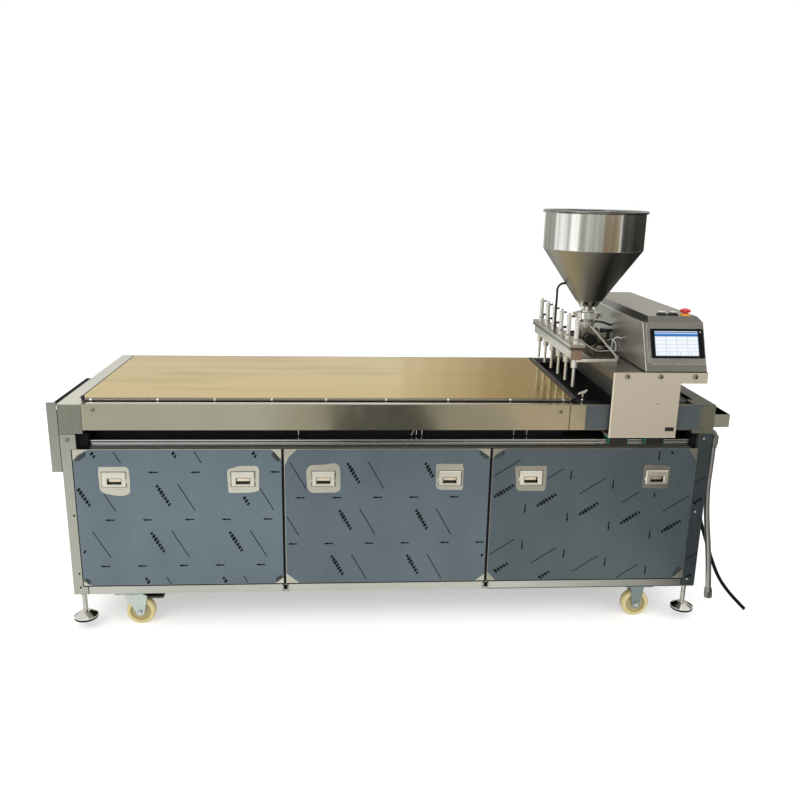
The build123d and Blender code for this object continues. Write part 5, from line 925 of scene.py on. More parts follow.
class DORAYAKI_OT_plate(Operator):
    """Finishes the cooking plate, the drip pan and the gutter rod with its straps"""

    bl_idname = "dorayaki.plate"
    bl_label = "Cooking plate"

    # Places of the straps along the table.
    strap_places = (-1.021, -0.803, -0.615, -0.425, -0.243, -0.040, 0.173, 0.388, 0.573)

    def execute(self, context):
        colours = finishes()
        dress(self.plate_brass(), "hot_plate")
        dress(self.pan_steel(), "drip_pan")
        # The gutter rod takes the darkened colour, painted shade down in the gutter.
        dress(polished("gutter_steel", colours.rod_steel, 0.3), "gutter_rod")
        self.straps(polished("strap_steel", colours.polished_steel, 0.12), fittings().strap_width)
        # Painted shade: a black strip along the plate's left edge for the gap there; the same piece holds a
        # dark block at the rod's left end.
        black = moulded("plate_edge_black", colours.black, 0.6)
        edge = Shape().box((PLATE_LOW.x - 0.003, PLATE_LOW.y, PLATE_HIGH.z - 0.006),
                           (PLATE_LOW.x - 0.0003, PLATE_HIGH.y, PLATE_HIGH.z + 0.0005))
        edge.box((ROD_LOW.x - 0.012, ROD_LOW.y, FASCIA_HIGH.z),
                 (ROD_LOW.x - 0.003, ROD_HIGH.y, ROD_HIGH.z + 0.010), 0.001)
        edge.put("plate_edge", black, "table", "black_rubber")
        return {"FINISHED"}

    def straps(self, steel, width):
        """Narrow clips over the gutter rod that reach down in front of it."""
        middle, radius = (ROD_LOW.y + ROD_HIGH.y) / 2, (ROD_HIGH.y - ROD_LOW.y) / 2
        gap, gauge, drop = 0.0002, 0.0012, 0.012
        height = ROD_HIGH.z - radius
        inner, outer = [], []
        for turn in range(40, 181, 20):
            way = Vector((math.cos(math.radians(turn)), math.sin(math.radians(turn))))
            inner.append((middle + (radius + gap) * way.x, height + (radius + gap) * way.y))
            outer.append((middle + (radius + gauge) * way.x, height + (radius + gauge) * way.y))
        inner.append((inner[-1][0], height - drop))
        outer.append((outer[-1][0], height - drop))
        shape = Shape()
        for x in self.strap_places:
            shape.prism(inner + outer[::-1], width, standing((x - width / 2, 0, 0), FACING_RIGHT))
        shape.put("gutter_straps", steel, "table", "bright_steel")
        lip = Shape().box((ROD_LOW.x, FASCIA_LOW.y + 0.014, FASCIA_HIGH.z - 0.002),
                          (ROD_HIGH.x, FASCIA_LOW.y + 0.030, FASCIA_HIGH.z), 0.0005)
        lip.put("gutter_lip", steel, "table", "bright_steel")

    def plate_brass(self):
        """Ground brass: pale, with long brown streaks and a faint bloom from heat."""
        recipe = Recipe("plate_brass", finishes().plate, 0.24, metallic=0.9)
        streaks = recipe.noise(14.0, 5.0, (0.12, 1, 1))
        fine = recipe.noise(420.0, 2.0, ALONG_X)
        bloom = recipe.noise(1.7, 2.0)
        brown = toned(recipe.tint, 0.7)
        pale = recipe.shade(bloom, 0.93, 1.08)
        streaked = recipe.mix(recipe.span(streaks, 0.0, 0.6, 0.56, 0.78), pale, brown)
        scratches = recipe.noise(70.0, 4.0, (0.05, 1, 1))
        streaked = recipe.mix(recipe.span(scratches, 0.0, 0.4, 0.6, 0.74), streaked, brown)
        recipe.paint(streaked)
        # Painted shade along the plate's front edge, next to the gutter.
        recipe.stain(recipe.zone(0.003, y_to=PLATE_LOW.y + 0.010), recipe.shade(streaks, 0.1, 0.2))
        wear = recipe.added(recipe.span(fine, -0.02, 0.02), recipe.span(streaks, 0.09, 0.2, 0.3, 0.75))
        recipe.gloss(wear)
        recipe.relief(fine, 0.00005)
        return recipe.material

    def pan_steel(self):
        """Dark oiled steel with a lighter rubbed edge on the scraper bar."""
        recipe = Recipe("pan_steel", finishes().dark_steel, 0.34, metallic=0.5)
        oil = recipe.noise(11.0, 4.0)
        dark = recipe.shade(oil, 0.7, 1.5)
        bar = recipe.zone(z_from=PLATE_HIGH.z - 0.006, x_to=PLATE_HIGH.x + 0.017)
        recipe.paint(recipe.mix(bar, dark, recipe.shade(oil, 2.2, 3.4)))
        recipe.gloss(recipe.span(oil, 0.25, 0.5))
        return recipe.material


def flat_sheet(name, outline, holes, thickness, place):
    """A flat sheet with straight-sided holes."""
    curve = bpy.data.curves.new(name, "CURVE")
    curve.dimensions = "2D"
    curve.fill_mode = "BOTH"
    curve.extrude = thickness / 2
    for points in (outline, *holes):
        new_spline(curve, "POLY", [(x, y, 0.0) for x, y in points]).use_cyclic_u = True
    mesh = plain_mesh(name, placed(name, curve))
    mesh.transform(place)
    return mesh


def print_tree():
    """Rows of thin slanting lines and blocks, with short arrows between the rows, kept inside the sheet."""
    tree = NodeTree("Film print")
    names = ("Width", "Height", "Pitch", "Row", "Shift", "Line", "Turn")
    wide, tall, pitch, row, shift, line, turn = [tree.setting(name) for name in names]
    start = tree.setting("Start", "Vector")
    finish = tree.setting("Finish", "Material")
    columns, rows = 9, 13
    lean = math.radians(-58)
    grid = tree.add("GeometryNodeMeshGrid", Vertices_X=columns, Vertices_Y=rows,
                    Size_X=tree.maths("MULTIPLY", pitch, columns - 1.0),
                    Size_Y=tree.maths("MULTIPLY", row, rows - 1.0))
    index = tree.add("GeometryNodeInputIndex").outputs[0]
    from_middle = tree.maths("SUBTRACT", tree.maths("MODULO", index, float(rows)), (rows - 1) / 2)
    slide = tree.add("ShaderNodeCombineXYZ", X=tree.maths("MULTIPLY", from_middle, shift))
    points = tree.add("GeometryNodeSetPosition", Geometry=grid, Offset=slide)
    stroke = tree.add("GeometryNodeMeshGrid", Vertices_X=25, Vertices_Y=2, Size_X=line, Size_Y=0.0030)
    blocks = tree.add("GeometryNodeMeshLine", Count=7, Start_Location=(-0.0345, 0, 0), Offset=(0.0115, 0, 0))
    block = tree.add("GeometryNodeMeshGrid", Vertices_X=2, Vertices_Y=2, Size_X=0.0085, Size_Y=0.015)
    uneven = tree.add("FunctionNodeRandomValue", {"data_type": "FLOAT_VECTOR"}, _0=(0.7, 0.5, 1),
                      _1=(1.1, 1.1, 1))
    hatch = tree.add("GeometryNodeInstanceOnPoints", Points=blocks, Instance=block,
                     Rotation=(0, 0, 0.4), Scale=uneven)
    tail = tree.add("GeometryNodeMeshGrid", Vertices_X=3, Vertices_Y=2, Size_X=0.028, Size_Y=0.0042)
    head = tree.add("GeometryNodeMeshCircle", {"fill_type": "NGON"}, Vertices=3, Radius=0.0062)
    tip = tree.add("GeometryNodeTransform", Geometry=head, Translation=(-0.0105, 0, 0),
                   Rotation=(0, 0, math.pi), Scale=(1.5, 0.7, 1))
    arrow = tree.add("GeometryNodeJoinGeometry")
    for shape in (tail, tip):
        tree.feed(arrow.inputs[0], shape)
    marks = tree.add("GeometryNodeJoinGeometry")
    for shape, along, down, angle in ((stroke, 0.0, 0.0, lean), (hatch, -0.29, 0.044, lean),
                                      (arrow, 0.030, -0.472, 0.0), (arrow, 0.499, -0.472, 0.0)):
        copies = tree.add("GeometryNodeInstanceOnPoints", Points=points, Instance=shape,
                          Rotation=(0, 0, angle))
        offset = tree.add("ShaderNodeCombineXYZ", X=tree.maths("MULTIPLY", pitch, along),
                          Y=tree.maths("MULTIPLY", row, down))
        moved = tree.add("GeometryNodeTranslateInstances", Instances=copies,
                         Translation=offset, Local_Space=False)
        tree.feed(marks.inputs[0], moved)
    real = tree.add("GeometryNodeRealizeInstances", Geometry=marks)
    spin = tree.add("ShaderNodeCombineXYZ", Z=turn)
    turned = tree.add("GeometryNodeTransform", Geometry=real, Translation=start,
                      Rotation=spin)
    spot = tree.add("ShaderNodeSeparateXYZ", Vector=tree.add("GeometryNodeInputPosition").outputs[0])
    past = [tree.maths("GREATER_THAN", tree.maths("ABSOLUTE", along), tree.maths("MULTIPLY", size, 0.5))
            for along, size in ((spot.outputs[0], wide), (spot.outputs[1], tall))]
    outside = tree.maths("MAXIMUM", *past)
    kept = tree.add("GeometryNodeDeleteGeometry", {"domain": "POINT"}, Geometry=turned,
                    Selection=outside)
    return tree.end(kept, finish)


class DORAYAKI_OT_panels(Operator):
    """Lays the protective film with its print on the front panels, the right leg and the right fascia"""

    bl_idname = "dorayaki.panels"
    bl_label = "Panels and film"

    # Bare corners of each panel's film as (across, up): top left, top right, bottom right, bottom left.
    cuts = {"left_panel": ((0.052, 0.040), (0.036, 0.044), (0.032, 0.026), (0.026, 0.022)),
            "middle_panel": ((0.042, 0.058), (0.046, 0.034), (0.036, 0.028), (0.044, 0.036)),
            "right_panel": ((0.044, 0.032), (0.030, 0.046), (0.038, 0.044), (0.030, 0.034))}
    handle_insets = {"left_panel": (0.132, 0.134), "middle_panel": (0.132, 0.140),
                     "right_panel": (0.138, 0.136)}
    handle_drop = 0.106
    # Bare patches that were cut by hand round the pulls, from each pull's middle.
    patches = {"left_panel":
                   (((-0.048, 0.043), (-0.044, 0.045), (0.041, 0.045), (0.048, 0.040), (0.051, 0.030),
                     (0.052, -0.004), (0.050, -0.046), (0.043, -0.053), (0.028, -0.058),
                     (0.016, -0.059), (-0.006, -0.056), (-0.030, -0.050), (-0.043, -0.044),
                     (-0.048, -0.035), (-0.049, -0.018), (-0.050, 0.018)),
                    ((-0.052, 0.028), (-0.050, 0.033), (-0.046, 0.036), (-0.019, 0.044),
                     (-0.010, 0.047), (0.044, 0.047), (0.051, 0.044), (0.055, 0.031), (0.053, -0.038),
                     (0.050, -0.043), (0.032, -0.048), (0.014, -0.050), (-0.047, -0.050),
                     (-0.050, -0.046), (-0.052, 0.001))),
               "middle_panel":
                   (((-0.058, 0.027), (-0.055, 0.037), (-0.045, 0.048), (-0.038, 0.049), (0.006, 0.051),
                     (0.029, 0.055), (0.040, 0.055), (0.052, 0.048), (0.057, 0.034), (0.058, -0.033),
                     (0.055, -0.045), (0.040, -0.051), (-0.039, -0.052), (-0.046, -0.047),
                     (-0.054, -0.037), (-0.057, -0.003)),
                    ((-0.049, 0.052), (0.042, 0.051), (0.046, 0.031), (0.046, -0.038), (0.042, -0.044),
                     (-0.032, -0.043), (-0.041, -0.039), (-0.048, -0.030))),
               "right_panel":
                   (((-0.055, 0.043), (0.052, 0.043), (0.054, 0.023), (0.054, -0.037), (0.049, -0.049),
                     (-0.041, -0.048), (-0.049, -0.042), (-0.053, -0.002), (-0.058, 0.033)),
                    ((-0.050, 0.041), (-0.046, 0.046), (0.040, 0.042), (0.046, 0.037), (0.045, 0.026),
                     (0.046, -0.022), (0.044, -0.038), (0.037, -0.045), (-0.042, -0.040),
                     (-0.049, -0.038), (-0.050, -0.019)))}
    # Corners where a flap of dark film is left: across and up, with -1 for left or bottom.
    flaps = {"left_panel": ((-1, 1), (1, 1), (-1, -1), (1, -1)), "middle_panel": ((1, 1),),
             "right_panel": ((-1, 1), (1, -1))}
    # One long mark's middle on each panel, and the turn of its film.
    print_starts = {"left_panel": ((-0.742, 0.3225), 0.0), "middle_panel": ((-0.101, 0.3995), 0.0),
                    "right_panel": ((0.6856, 0.5272), math.radians(89))}

    def execute(self, context):
        colours = finishes()
        pull = self.pull_steel(colours.pull_steel)
        # Black strips of painted shade along the panels' edges.
        edge_shade = moulded("trim_black", colours.black, 0.8, 0.1)
        flap = protective_film("flap_film", toned(colours.film_dark, 0.45))
        # Painted shade: each panel's film and bare steel get a darker tone towards the right.
        shaded_tints = {"left_panel": (colours.film_left, 1.05), "middle_panel": (colours.film_middle, 0.9),
                 "right_panel": (colours.film_right, 0.62)}
        marking = moulded("film_print", colours.film_print, 0.5, 0.1)
        print_tree()
        for panel, (tint, steel_shade) in shaded_tints.items():
            dress(brushed_sheet(panel + "_steel", toned(colours.bare_steel, steel_shade), ALONG_X, 0.3), panel)
            dress(pull, panel + "_handles")
            self.lay_film(panel, protective_film(panel + "_film", tint))
            low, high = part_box(panel)
            start, turn = self.print_starts[panel]
            mesh = self.print_mesh(panel + "_print", low, high, start, turn, marking)
            self.clear_pulls(mesh, panel)
            piece(panel + "_print", mesh, marking, panel)
            self.curl_corners(panel, flap)
            self.edge_trim(panel, edge_shade)
        self.dark_film(colours, marking)
        return {"FINISHED"}

    def pull_steel(self, tint):
        """Pressed steel; painted shade at the cup's floor and where it meets the panel; warm painted light at
        its back.
        """
        recipe = brushed("pull_steel", tint, ALONG_X, 0.24, 0.8)
        # Painted shade in the cup and where the pull meets the panel; the noise called wear only makes these
        # painted tones uneven.
        sunk_shade = recipe.zone(0.0004, y_from=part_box("left_panel")[0].y - 0.0022)
        wear = recipe.noise(30.0)
        recipe.stain(sunk_shade, recipe.shade(wear, 0.1, 0.2))
        # Painted light: a warm pale colour at the cup's upper back.
        cup = recipe.both(sunk_shade, recipe.zone(z_from=0.5475, z_to=0.5605))
        recipe.stain(cup, recipe.mix(wear, linear(232, 218, 196), linear(212, 196, 172)))
        return recipe.material

    def edge_trim(self, panel, edge_shade):
        """Black strips along a panel's foot and its outer upright edges: painted shade in the gaps there."""
        low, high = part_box(panel)
        front, foot_width, right_width, left_width = low.y - 0.0007, 0.0036, 0.004, 0.003
        shape = Shape().box((low.x, front, low.z), (high.x, low.y, low.z + foot_width))
        if panel != "right_panel":
            shape.box((high.x - right_width, front, low.z), (high.x, low.y, high.z))
        if panel == "left_panel":
            shape.box((low.x, front, low.z), (low.x + left_width, low.y, high.z))
        shape.put(panel + "_trim", edge_shade, panel, "black_rubber")

    def pull_places(self, panel):
        """The middles of a panel's two pulls, as (along, up)."""
        low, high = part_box(panel)
        first, last = self.handle_insets[panel]
        return [(x, high.z - self.handle_drop) for x in (low.x + first, high.x - last)]

    def lay_film(self, panel, film):
        """The film on one panel: cut corners, and a bare patch round each pull."""
        low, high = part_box(panel)
        top_left, top_right, bottom_right, bottom_left = self.cuts[panel]
        edge = 0.0015
        left, right, bottom, top = low.x + edge, high.x - edge, low.z + 0.0045, high.z - edge
        outline = ((left, bottom + bottom_left[1]), (left + bottom_left[0], bottom),
                   (right - bottom_right[0], bottom), (right, bottom + bottom_right[1]),
                   (right, top - top_right[1]), (right - top_right[0], top),
                   (left + top_left[0], top), (left + 0.35 * top_left[0], top - 0.45 * top_left[1]),
                   (left, top - top_left[1]))
        holes = [[(x + across, z + up) for across, up in patch]
                 for (x, z), patch in zip(self.pull_places(panel), self.patches[panel])]
        self.sheet(panel + "_film", outline, holes, standing((0, low.y - self.proud(), 0)), film, panel)

    def proud(self):
        """How far the middle of a film stands off its sheet."""
        return fittings().film_lift + fittings().film_thickness / 2

    def sheet(self, name, outline, holes, place, film, body):
        """One piece of film."""
        mesh = flat_sheet(name, outline, holes, fittings().film_thickness, place)
        piece(name, mesh, film, body)

    def print_mesh(self, name, low, high, start, turn, marking):
        """The print on a film between two corners, with one long mark's middle at the start."""
        sizes = fittings()
        middle = (low + high) / 2
        pull = sizes.print_stretch
        values = {"Width": high.x - low.x - 0.008, "Height": (high.z - low.z - 0.010) / pull,
                  "Pitch": sizes.print_pitch, "Row": sizes.print_row, "Shift": sizes.print_shift,
                  "Line": sizes.print_line, "Turn": turn, "Finish": marking,
                  "Start": (start[0] - middle.x, (start[1] - middle.z) / pull, 0.0)}
        mesh = grown(name, bpy.data.node_groups["Film print"], bpy.data.meshes.new(name), values)
        face = low.y - sizes.film_lift - 1.3 * sizes.film_thickness
        mesh.transform(standing((middle.x, face, middle.z)) @ Matrix.Diagonal((1, pull, 1, 1)))
        return mesh

    def clear_pulls(self, mesh, panel):
        """Takes the print off the bare sheet round the pulls and at the cut corners."""
        low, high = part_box(panel)
        places = self.pull_places(panel)
        patch_half, patch_rise, bare_corner = 0.054, 0.052, 0.062
        shape = bmesh.new()
        shape.from_mesh(mesh)
        gone = []
        for vertex in shape.verts:
            at_pull = any(abs(vertex.co.x - x) < patch_half and abs(vertex.co.z - z) < patch_rise
                          for x, z in places)
            across = min(vertex.co.x - low.x, high.x - vertex.co.x)
            up = min(vertex.co.z - low.z, high.z - vertex.co.z)
            if at_pull or across + up < bare_corner:
                gone.append(vertex)
        bmesh.ops.delete(shape, geom=gone, context="VERTS")
        shape.to_mesh(mesh)
        shape.free()

    def curl_corners(self, panel, flap):
        """Dark flaps of film along some of the cut corners, crumpled and lifting a little."""
        low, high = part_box(panel)
        top_left, top_right, bottom_right, bottom_left = self.cuts[panel]
        cuts = {(-1, 1): top_left, (1, 1): top_right, (1, -1): bottom_right, (-1, -1): bottom_left}
        shape = bmesh.new()
        steps, width, lift, curl, crumple = 8, 0.013, 0.0008, 0.0035, 0.0012
        for across, up in self.flaps[panel]:
            wide, tall = cuts[across, up]
            corner = Vector((high.x if across > 0 else low.x, high.z if up > 0 else low.z + 0.004))
            first, second = corner - Vector((across * wide, 0)), corner - Vector((0, up * tall))
            inward = Vector((-across * tall, -up * wide)).normalized()
            rows = []
            for row in range(steps):
                out = row / (steps - 1)
                height = lift + curl * math.sin(2.6 * out)
                line = []
                for step in range(steps):
                    share = 0.12 + 0.76 * (step / (steps - 1)) * (1 - 0.45 * out) + 0.2 * out
                    crease = crumple * math.sin(9 * share + 5 * out)
                    flat = first.lerp(second, share) + inward * width * out
                    line.append(shape.verts.new((flat.x, low.y - height - abs(crease), flat.y)))
                rows.append(line)
            for lower, upper in zip(rows, rows[1:]):
                for step in range(steps - 1):
                    shape.faces.new((lower[step], lower[step + 1], upper[step + 1], upper[step]))
        bmesh.ops.recalc_face_normals(shape, faces=shape.faces)
        bmesh.ops.solidify(shape, geom=shape.faces[:], thickness=0.0003)
        mesh = bpy.data.meshes.new(panel + "_flaps")
        shape.to_mesh(mesh)
        shape.free()
        mesh.shade_smooth()
        piece(panel + "_flaps", mesh, flap, panel)

    def dark_film(self, colours, marking):
        """The darker film on the right front leg and on the right-hand fascia, which ends in a torn wave."""
        film = protective_film("dark_film", colours.film_dark)
        leg_film = protective_film("leg_film", colours.film_leg)
        left, right = LEG_HIGH.x - LEG_TUBE, LEG_HIGH.x
        foot, top = LEG_LOW.z + 0.002, CORNER_FOOT
        front = standing((0, LEG_LOW.y - self.proud(), 0))
        outline = ((left, foot), (right, foot), (right, top), (left, top))
        self.sheet("leg_film", outline, (), front, leg_film, "table")
        low, high = Vector((left, LEG_LOW.y, foot)), Vector((right, LEG_LOW.y, top))
        mesh = self.print_mesh("leg_print", low, high, (1.069, 0.5466), math.radians(89), marking)
        piece("leg_print", mesh, marking, "table")
        near, far = LEG_LOW.y, LEG_LOW.y + LEG_TUBE
        outline = ((near, foot), (far, foot), (far, top), (near, top))
        side = standing((right + self.proud(), 0, 0), FACING_RIGHT)
        self.sheet("leg_side_film", outline, (), side, leg_film, "table")
        left, bottom, top = PLATE_HIGH.x + 0.026, FASCIA_LOW.z + 0.001, FASCIA_HIGH.z - 0.001
        wave = [(LEG_HIGH.x - 0.04 - 0.018 * math.sin(3.1 * k / 8) - 0.004 * math.sin(9 * k / 8),
                 bottom + (top - bottom) * k / 8) for k in range(9)]
        self.sheet("fascia_film", [(left, top), (left, bottom)] + wave, (), front, film, "table")


class DORAYAKI_OT_carriage(Operator):
    """Finishes the carriage's sheets and blocks, with green seals and a blank plate"""

    bl_idname = "dorayaki.carriage"
    bl_label = "Carriage"

    block_places = (0.766, 0.896)
    block_length = 0.064

    def execute(self, context):
        colours = finishes()
        dress(self.skirt_sheet(), "skirts")
        dress(protective_film("beam_film", toned(colours.film_dark, 0.35)), "cross_beam")
        # Painted shade: the deck under the hopper takes the darkened colour.
        dress(brushed_sheet("deck_steel", colours.deck, ALONG_Y, 0.3), "deck_plate")
        dress(self.housing_steel(), "housing")
        dress(moulded("block_black", colours.black, 0.35), "bearing_blocks")
        self.housing_edges(polished("edge_bright", colours.spun_steel, 0.3))
        self.seals(moulded("seal_green", colours.seal, 0.4), fittings().seal_thickness)
        self.blank_plate(moulded("plate_black", colours.black, 0.6))
        return {"FINISHED"}

    def housing_edges(self, bright):
        """Painted highlights: bright lines on the folds up the housing's left wall and along its bend."""
        bend = HOUSING_HIGH.z - 0.0205
        lean = LEAN_RUN * (bend - HOUSING_LOW.z) / LEAN_RISE
        corner = (HOUSING_LOW.x, HOUSING_LOW.y + lean, bend)
        edges = Shape().pipe([(HOUSING_LOW.x, HOUSING_LOW.y, HOUSING_LOW.z + 0.006), corner], 0.0016, 8)
        edges.pipe([corner, (HOUSING_LOW.x, HOUSING_HIGH.y, bend)], 0.0012, 8)
        edges.put("housing_edges", bright, "carriage", "bright_steel")

    def blank_plate(self, black):
        """A blank plate and a black disc on the front skirt, the disc painted shade for a small hole, and a
        painted shadow line round the housing's foot.
        """
        blank = Shape().box((0.915, SKIRT_LOW.y - 0.0006, 0.732), (0.946, SKIRT_LOW.y, 0.746), 0.0002)
        # Painted shade: a black disc for a small hole in the skirt.
        blank.turned(((0, 0), (0.0024, 0), (0.0024, 0.0004), (0, 0.0004)),
                     standing((0.880, SKIRT_LOW.y, 0.829)))
        # Painted shadow: a dark line round the housing's foot.
        left, front, foot, half = HOUSING_LOW.x, HOUSING_LOW.y, HOUSING_LOW.z, 0.001
        for low, high in (((left - half, front - half), (HOUSING_HIGH.x, front + half)),
                          ((left - half, front), (left + half, HOUSING_HIGH.y))):
            blank.box((*low, foot), (*high, foot + 0.005))
        blank.put("blank_plate", black, "carriage", "black_plastic")

    def housing_steel(self):
        """Brushed sheet, with a painted dark reflection along the bend at the top of its left wall."""
        recipe = Recipe("housing_steel", finishes().housing_steel, 0.3, metallic=0.85)
        lines = recipe.noise(650.0, 3.0, ALONG_Y)
        smears = recipe.noise(5.0, 2.0, (1, 0.4, 1))
        tone = recipe.added(recipe.span(lines, 0.0, 0.5), recipe.span(smears, 0.0, 0.5))
        recipe.paint(recipe.shade(tone, 0.92, 1.08))
        # Painted dark reflection along the bend.
        bend = recipe.zone(0.0005, x_to=HOUSING_LOW.x + 0.0195, z_from=HOUSING_HIGH.z - 0.0195)
        recipe.stain(bend, recipe.shade(smears, 0.24, 0.34))
        recipe.gloss(recipe.span(lines, 0.27, 0.33))
        recipe.relief(lines, 0.00004)
        return recipe.material

    def skirt_sheet(self):
        """Satin beige sheet, slightly darker towards its foot."""
        recipe = Recipe("skirt_sheet", finishes().skirt, 0.4, metallic=0.35)
        fade = recipe.span(recipe.axis("Z"), 0.0, 0.6, SKIRT_LOW.z, SKIRT_HIGH.z)
        satin = recipe.noise(300.0, 2.0, ALONG_Z)
        recipe.paint(recipe.shade(recipe.added(fade, recipe.span(satin, 0.0, 0.4)), 0.9, 1.08))
        hem = 0.004
        for edge in ({"x_to": SKIRT_LOW.x + hem}, {"z_to": SKIRT_LOW.z + hem}):
            recipe.stain(recipe.zone(0.0005, **edge), recipe.shade(satin, 1.5, 1.7))
        recipe.gloss(recipe.span(satin, 0.34, 0.46))
        return recipe.material

    def seals(self, green, thick):
        """A green seal with its rail cut-out on both ends of each bearing block."""
        low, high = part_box("bearing_blocks")
        half = 0.0225
        tall = high.z - low.z - 0.002
        rail, rail_top = 0.0125, 0.0165
        outline = ((-half, 0), (-rail, 0), (-rail, rail_top), (rail, rail_top), (rail, 0), (half, 0),
                   (half, tall - 0.004), (half - 0.004, tall), (0.004 - half, tall), (-half, tall - 0.004))
        shape = Shape()
        for track in (low.y + 0.023, high.y - 0.023):
            for centre in self.block_places:
                for end in (centre - self.block_length / 2 - thick, centre + self.block_length / 2):
                    shape.prism(outline, thick, standing((end, track, low.z + 0.001), FACING_RIGHT))
        shape.put("block_seals", green, "carriage", "bearing_black")


class DORAYAKI_OT_controls(Operator):
    """Makes the lit touch screen and finishes the buttons and the emergency stop"""

    bl_idname = "dorayaki.controls"
    bl_label = "Controls"

    def execute(self, context):
        colours = finishes()
        frame_steel = brushed_sheet("touch_frame", colours.housing_steel, ALONG_X, 0.35)
        dress(frame_steel, "touch_panel")
        dress(self.button_collars(), "control_bezels")
        dress(self.button_caps(), "start_button", "stop_button")
        dress(moulded("stop_red", colours.red, 0.32), "estop_head")
        self.screen(colours, frame_steel)
        return {"FINISHED"}

    def button_caps(self):
        """Lit tops of the push buttons, with black sides."""
        recipe = Recipe("button_caps", finishes().lens, 0.3)
        grain = recipe.noise(700.0, 2.0)
        recipe.paint(recipe.mix(grain, linear(244, 242, 236), linear(226, 224, 214)))
        sides = recipe.zone(0.0003, z_to=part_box("start_button")[1].z - 0.0016)
        recipe.stain(sides, recipe.shade(grain, 0.02, 0.04))
        recipe.gloss(recipe.span(grain, 0.26, 0.36))
        return recipe.material

    def button_collars(self):
        """Black collars under the buttons and an amber one under the emergency stop."""
        recipe = Recipe("button_collars", finishes().black, 0.35)
        amber = recipe.zone(x_from=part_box("estop_head")[0].x - 0.001)
        grain = recipe.noise(700.0, 2.0)
        recipe.paint(recipe.mix(amber, recipe.shade(grain, 0.8, 1.2), tuple(finishes().amber)))
        recipe.gloss(recipe.span(grain, 0.3, 0.42))
        return recipe.material

    def screen(self, colours, frame_steel):
        """A bezel with black glass on the leaning face, and a lit page."""
        lean = math.atan2(LEAN_RUN, LEAN_RISE)
        slope = Vector((0, math.sin(lean), math.cos(lean)))
        outward = Vector((0, -math.cos(lean), math.sin(lean)))
        centre = Vector((0.9415, -0.3601, 1.0211)) + slope * 0.005 + outward * 0.0073
        place = Matrix.Translation(centre) @ Matrix((RIGHTWARD, slope, outward)).transposed().to_4x4()
        frame_outline, depth = self.rounded(0.199, 0.144, 0.010), 0.0062
        bezel = Shape().prism(frame_outline, depth, place @ Matrix.Translation((0, 0, -depth)))
        bezel.put("touch_bezel", frame_steel, "carriage", "stainless_sheet")
        # Painted highlight: a bright line round the bezel's edge.
        rim = [place @ Vector((x, y, 0)) for x, y in frame_outline]
        rim_highlight = polished("bezel_bright", colours.polished_steel, 0.3)
        Shape().pipe(rim + rim[:1], 0.0007, 6).put("bezel_edge", rim_highlight, "carriage", "stainless_sheet")
        place = place @ Matrix.Translation((0.004, 0, 0))
        glass = Shape().prism(self.rounded(0.185, 0.103, 0.004), 0.0008, place)
        dark = Recipe("black_glass", colours.black, 0.12)
        dark.gloss(dark.span(dark.noise(50.0, 3.0), 0.08, 0.2))
        glass.put("touch_glass", dark.material, "carriage", "black_plastic")
        self.lit_page(colours, place)

    def lit_page(self, colours, place):
        """A page with two bars and columns of plain cells, each with a thin mark, and a lamp beside it."""
        left, foot, wide, margin = -0.0775, -0.043, 0.150, 0.002
        column_pitch, row_pitch, cell = 0.0372, 0.0131, (0.0345, 0.0112)
        low, middle, top = 0.0009, 0.0010, 0.0012
        page = [(left, foot, wide, 0.086, low)]
        bars = [(left, foot + up, wide, tall, middle) for up, tall in ((0.0680, 0.0085), (0.0800, 0.0030))]
        cells = []
        for column in range(4):
            start = left + margin + column_pitch * column
            cells += [(start, foot + margin + row_pitch * row, *cell, middle) for row in range(5)]
            bars.append((start + 0.0085, foot + 0.003, 0.0012, 0.0092, top))
        cells.append((0.0805, 0.0385, 0.0035, 0.0035, low))
        for name, light, rectangles in (("page", glowing("page_light", colours.screen, 0.72), page),
                                        ("bars", glowing("bar_light", colours.screen_bar, 0.75), bars),
                                        ("cells", glowing("cell_light", linear(244, 248, 253), 0.9), cells)):
            shape = Shape()
            for x, y, across, tall, lift in rectangles:
                outline = ((x, y), (x + across, y), (x + across, y + tall), (x, y + tall))
                shape.prism(outline, 0.0001, place @ Matrix.Translation((0, 0, lift)))
            shape.put("screen_" + name, light, "carriage", "white_plastic")

    def rounded(self, wide, tall, radius):
        """A rectangle about its middle with rounded corners."""
        outline = []
        for turn, (x, y) in enumerate(((1, 1), (-1, 1), (-1, -1), (1, -1))):
            for step in range(5):
                angle = math.radians(90 * turn + 22.5 * step)
                outline.append((x * (wide / 2 - radius) + radius * math.cos(angle),
                                y * (tall / 2 - radius) + radius * math.sin(angle)))
        return outline


def nozzle_places(count, shift=0.0):
    """Where nozzles stand across the table; with a shift of a half, the middles between them."""
    low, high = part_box("nozzles")
    first, last = low.y + NOZZLE_RADIUS, high.y - NOZZLE_RADIUS
    return [first + (last - first) * (k + shift) / (NOZZLES - 1) for k in range(count)]


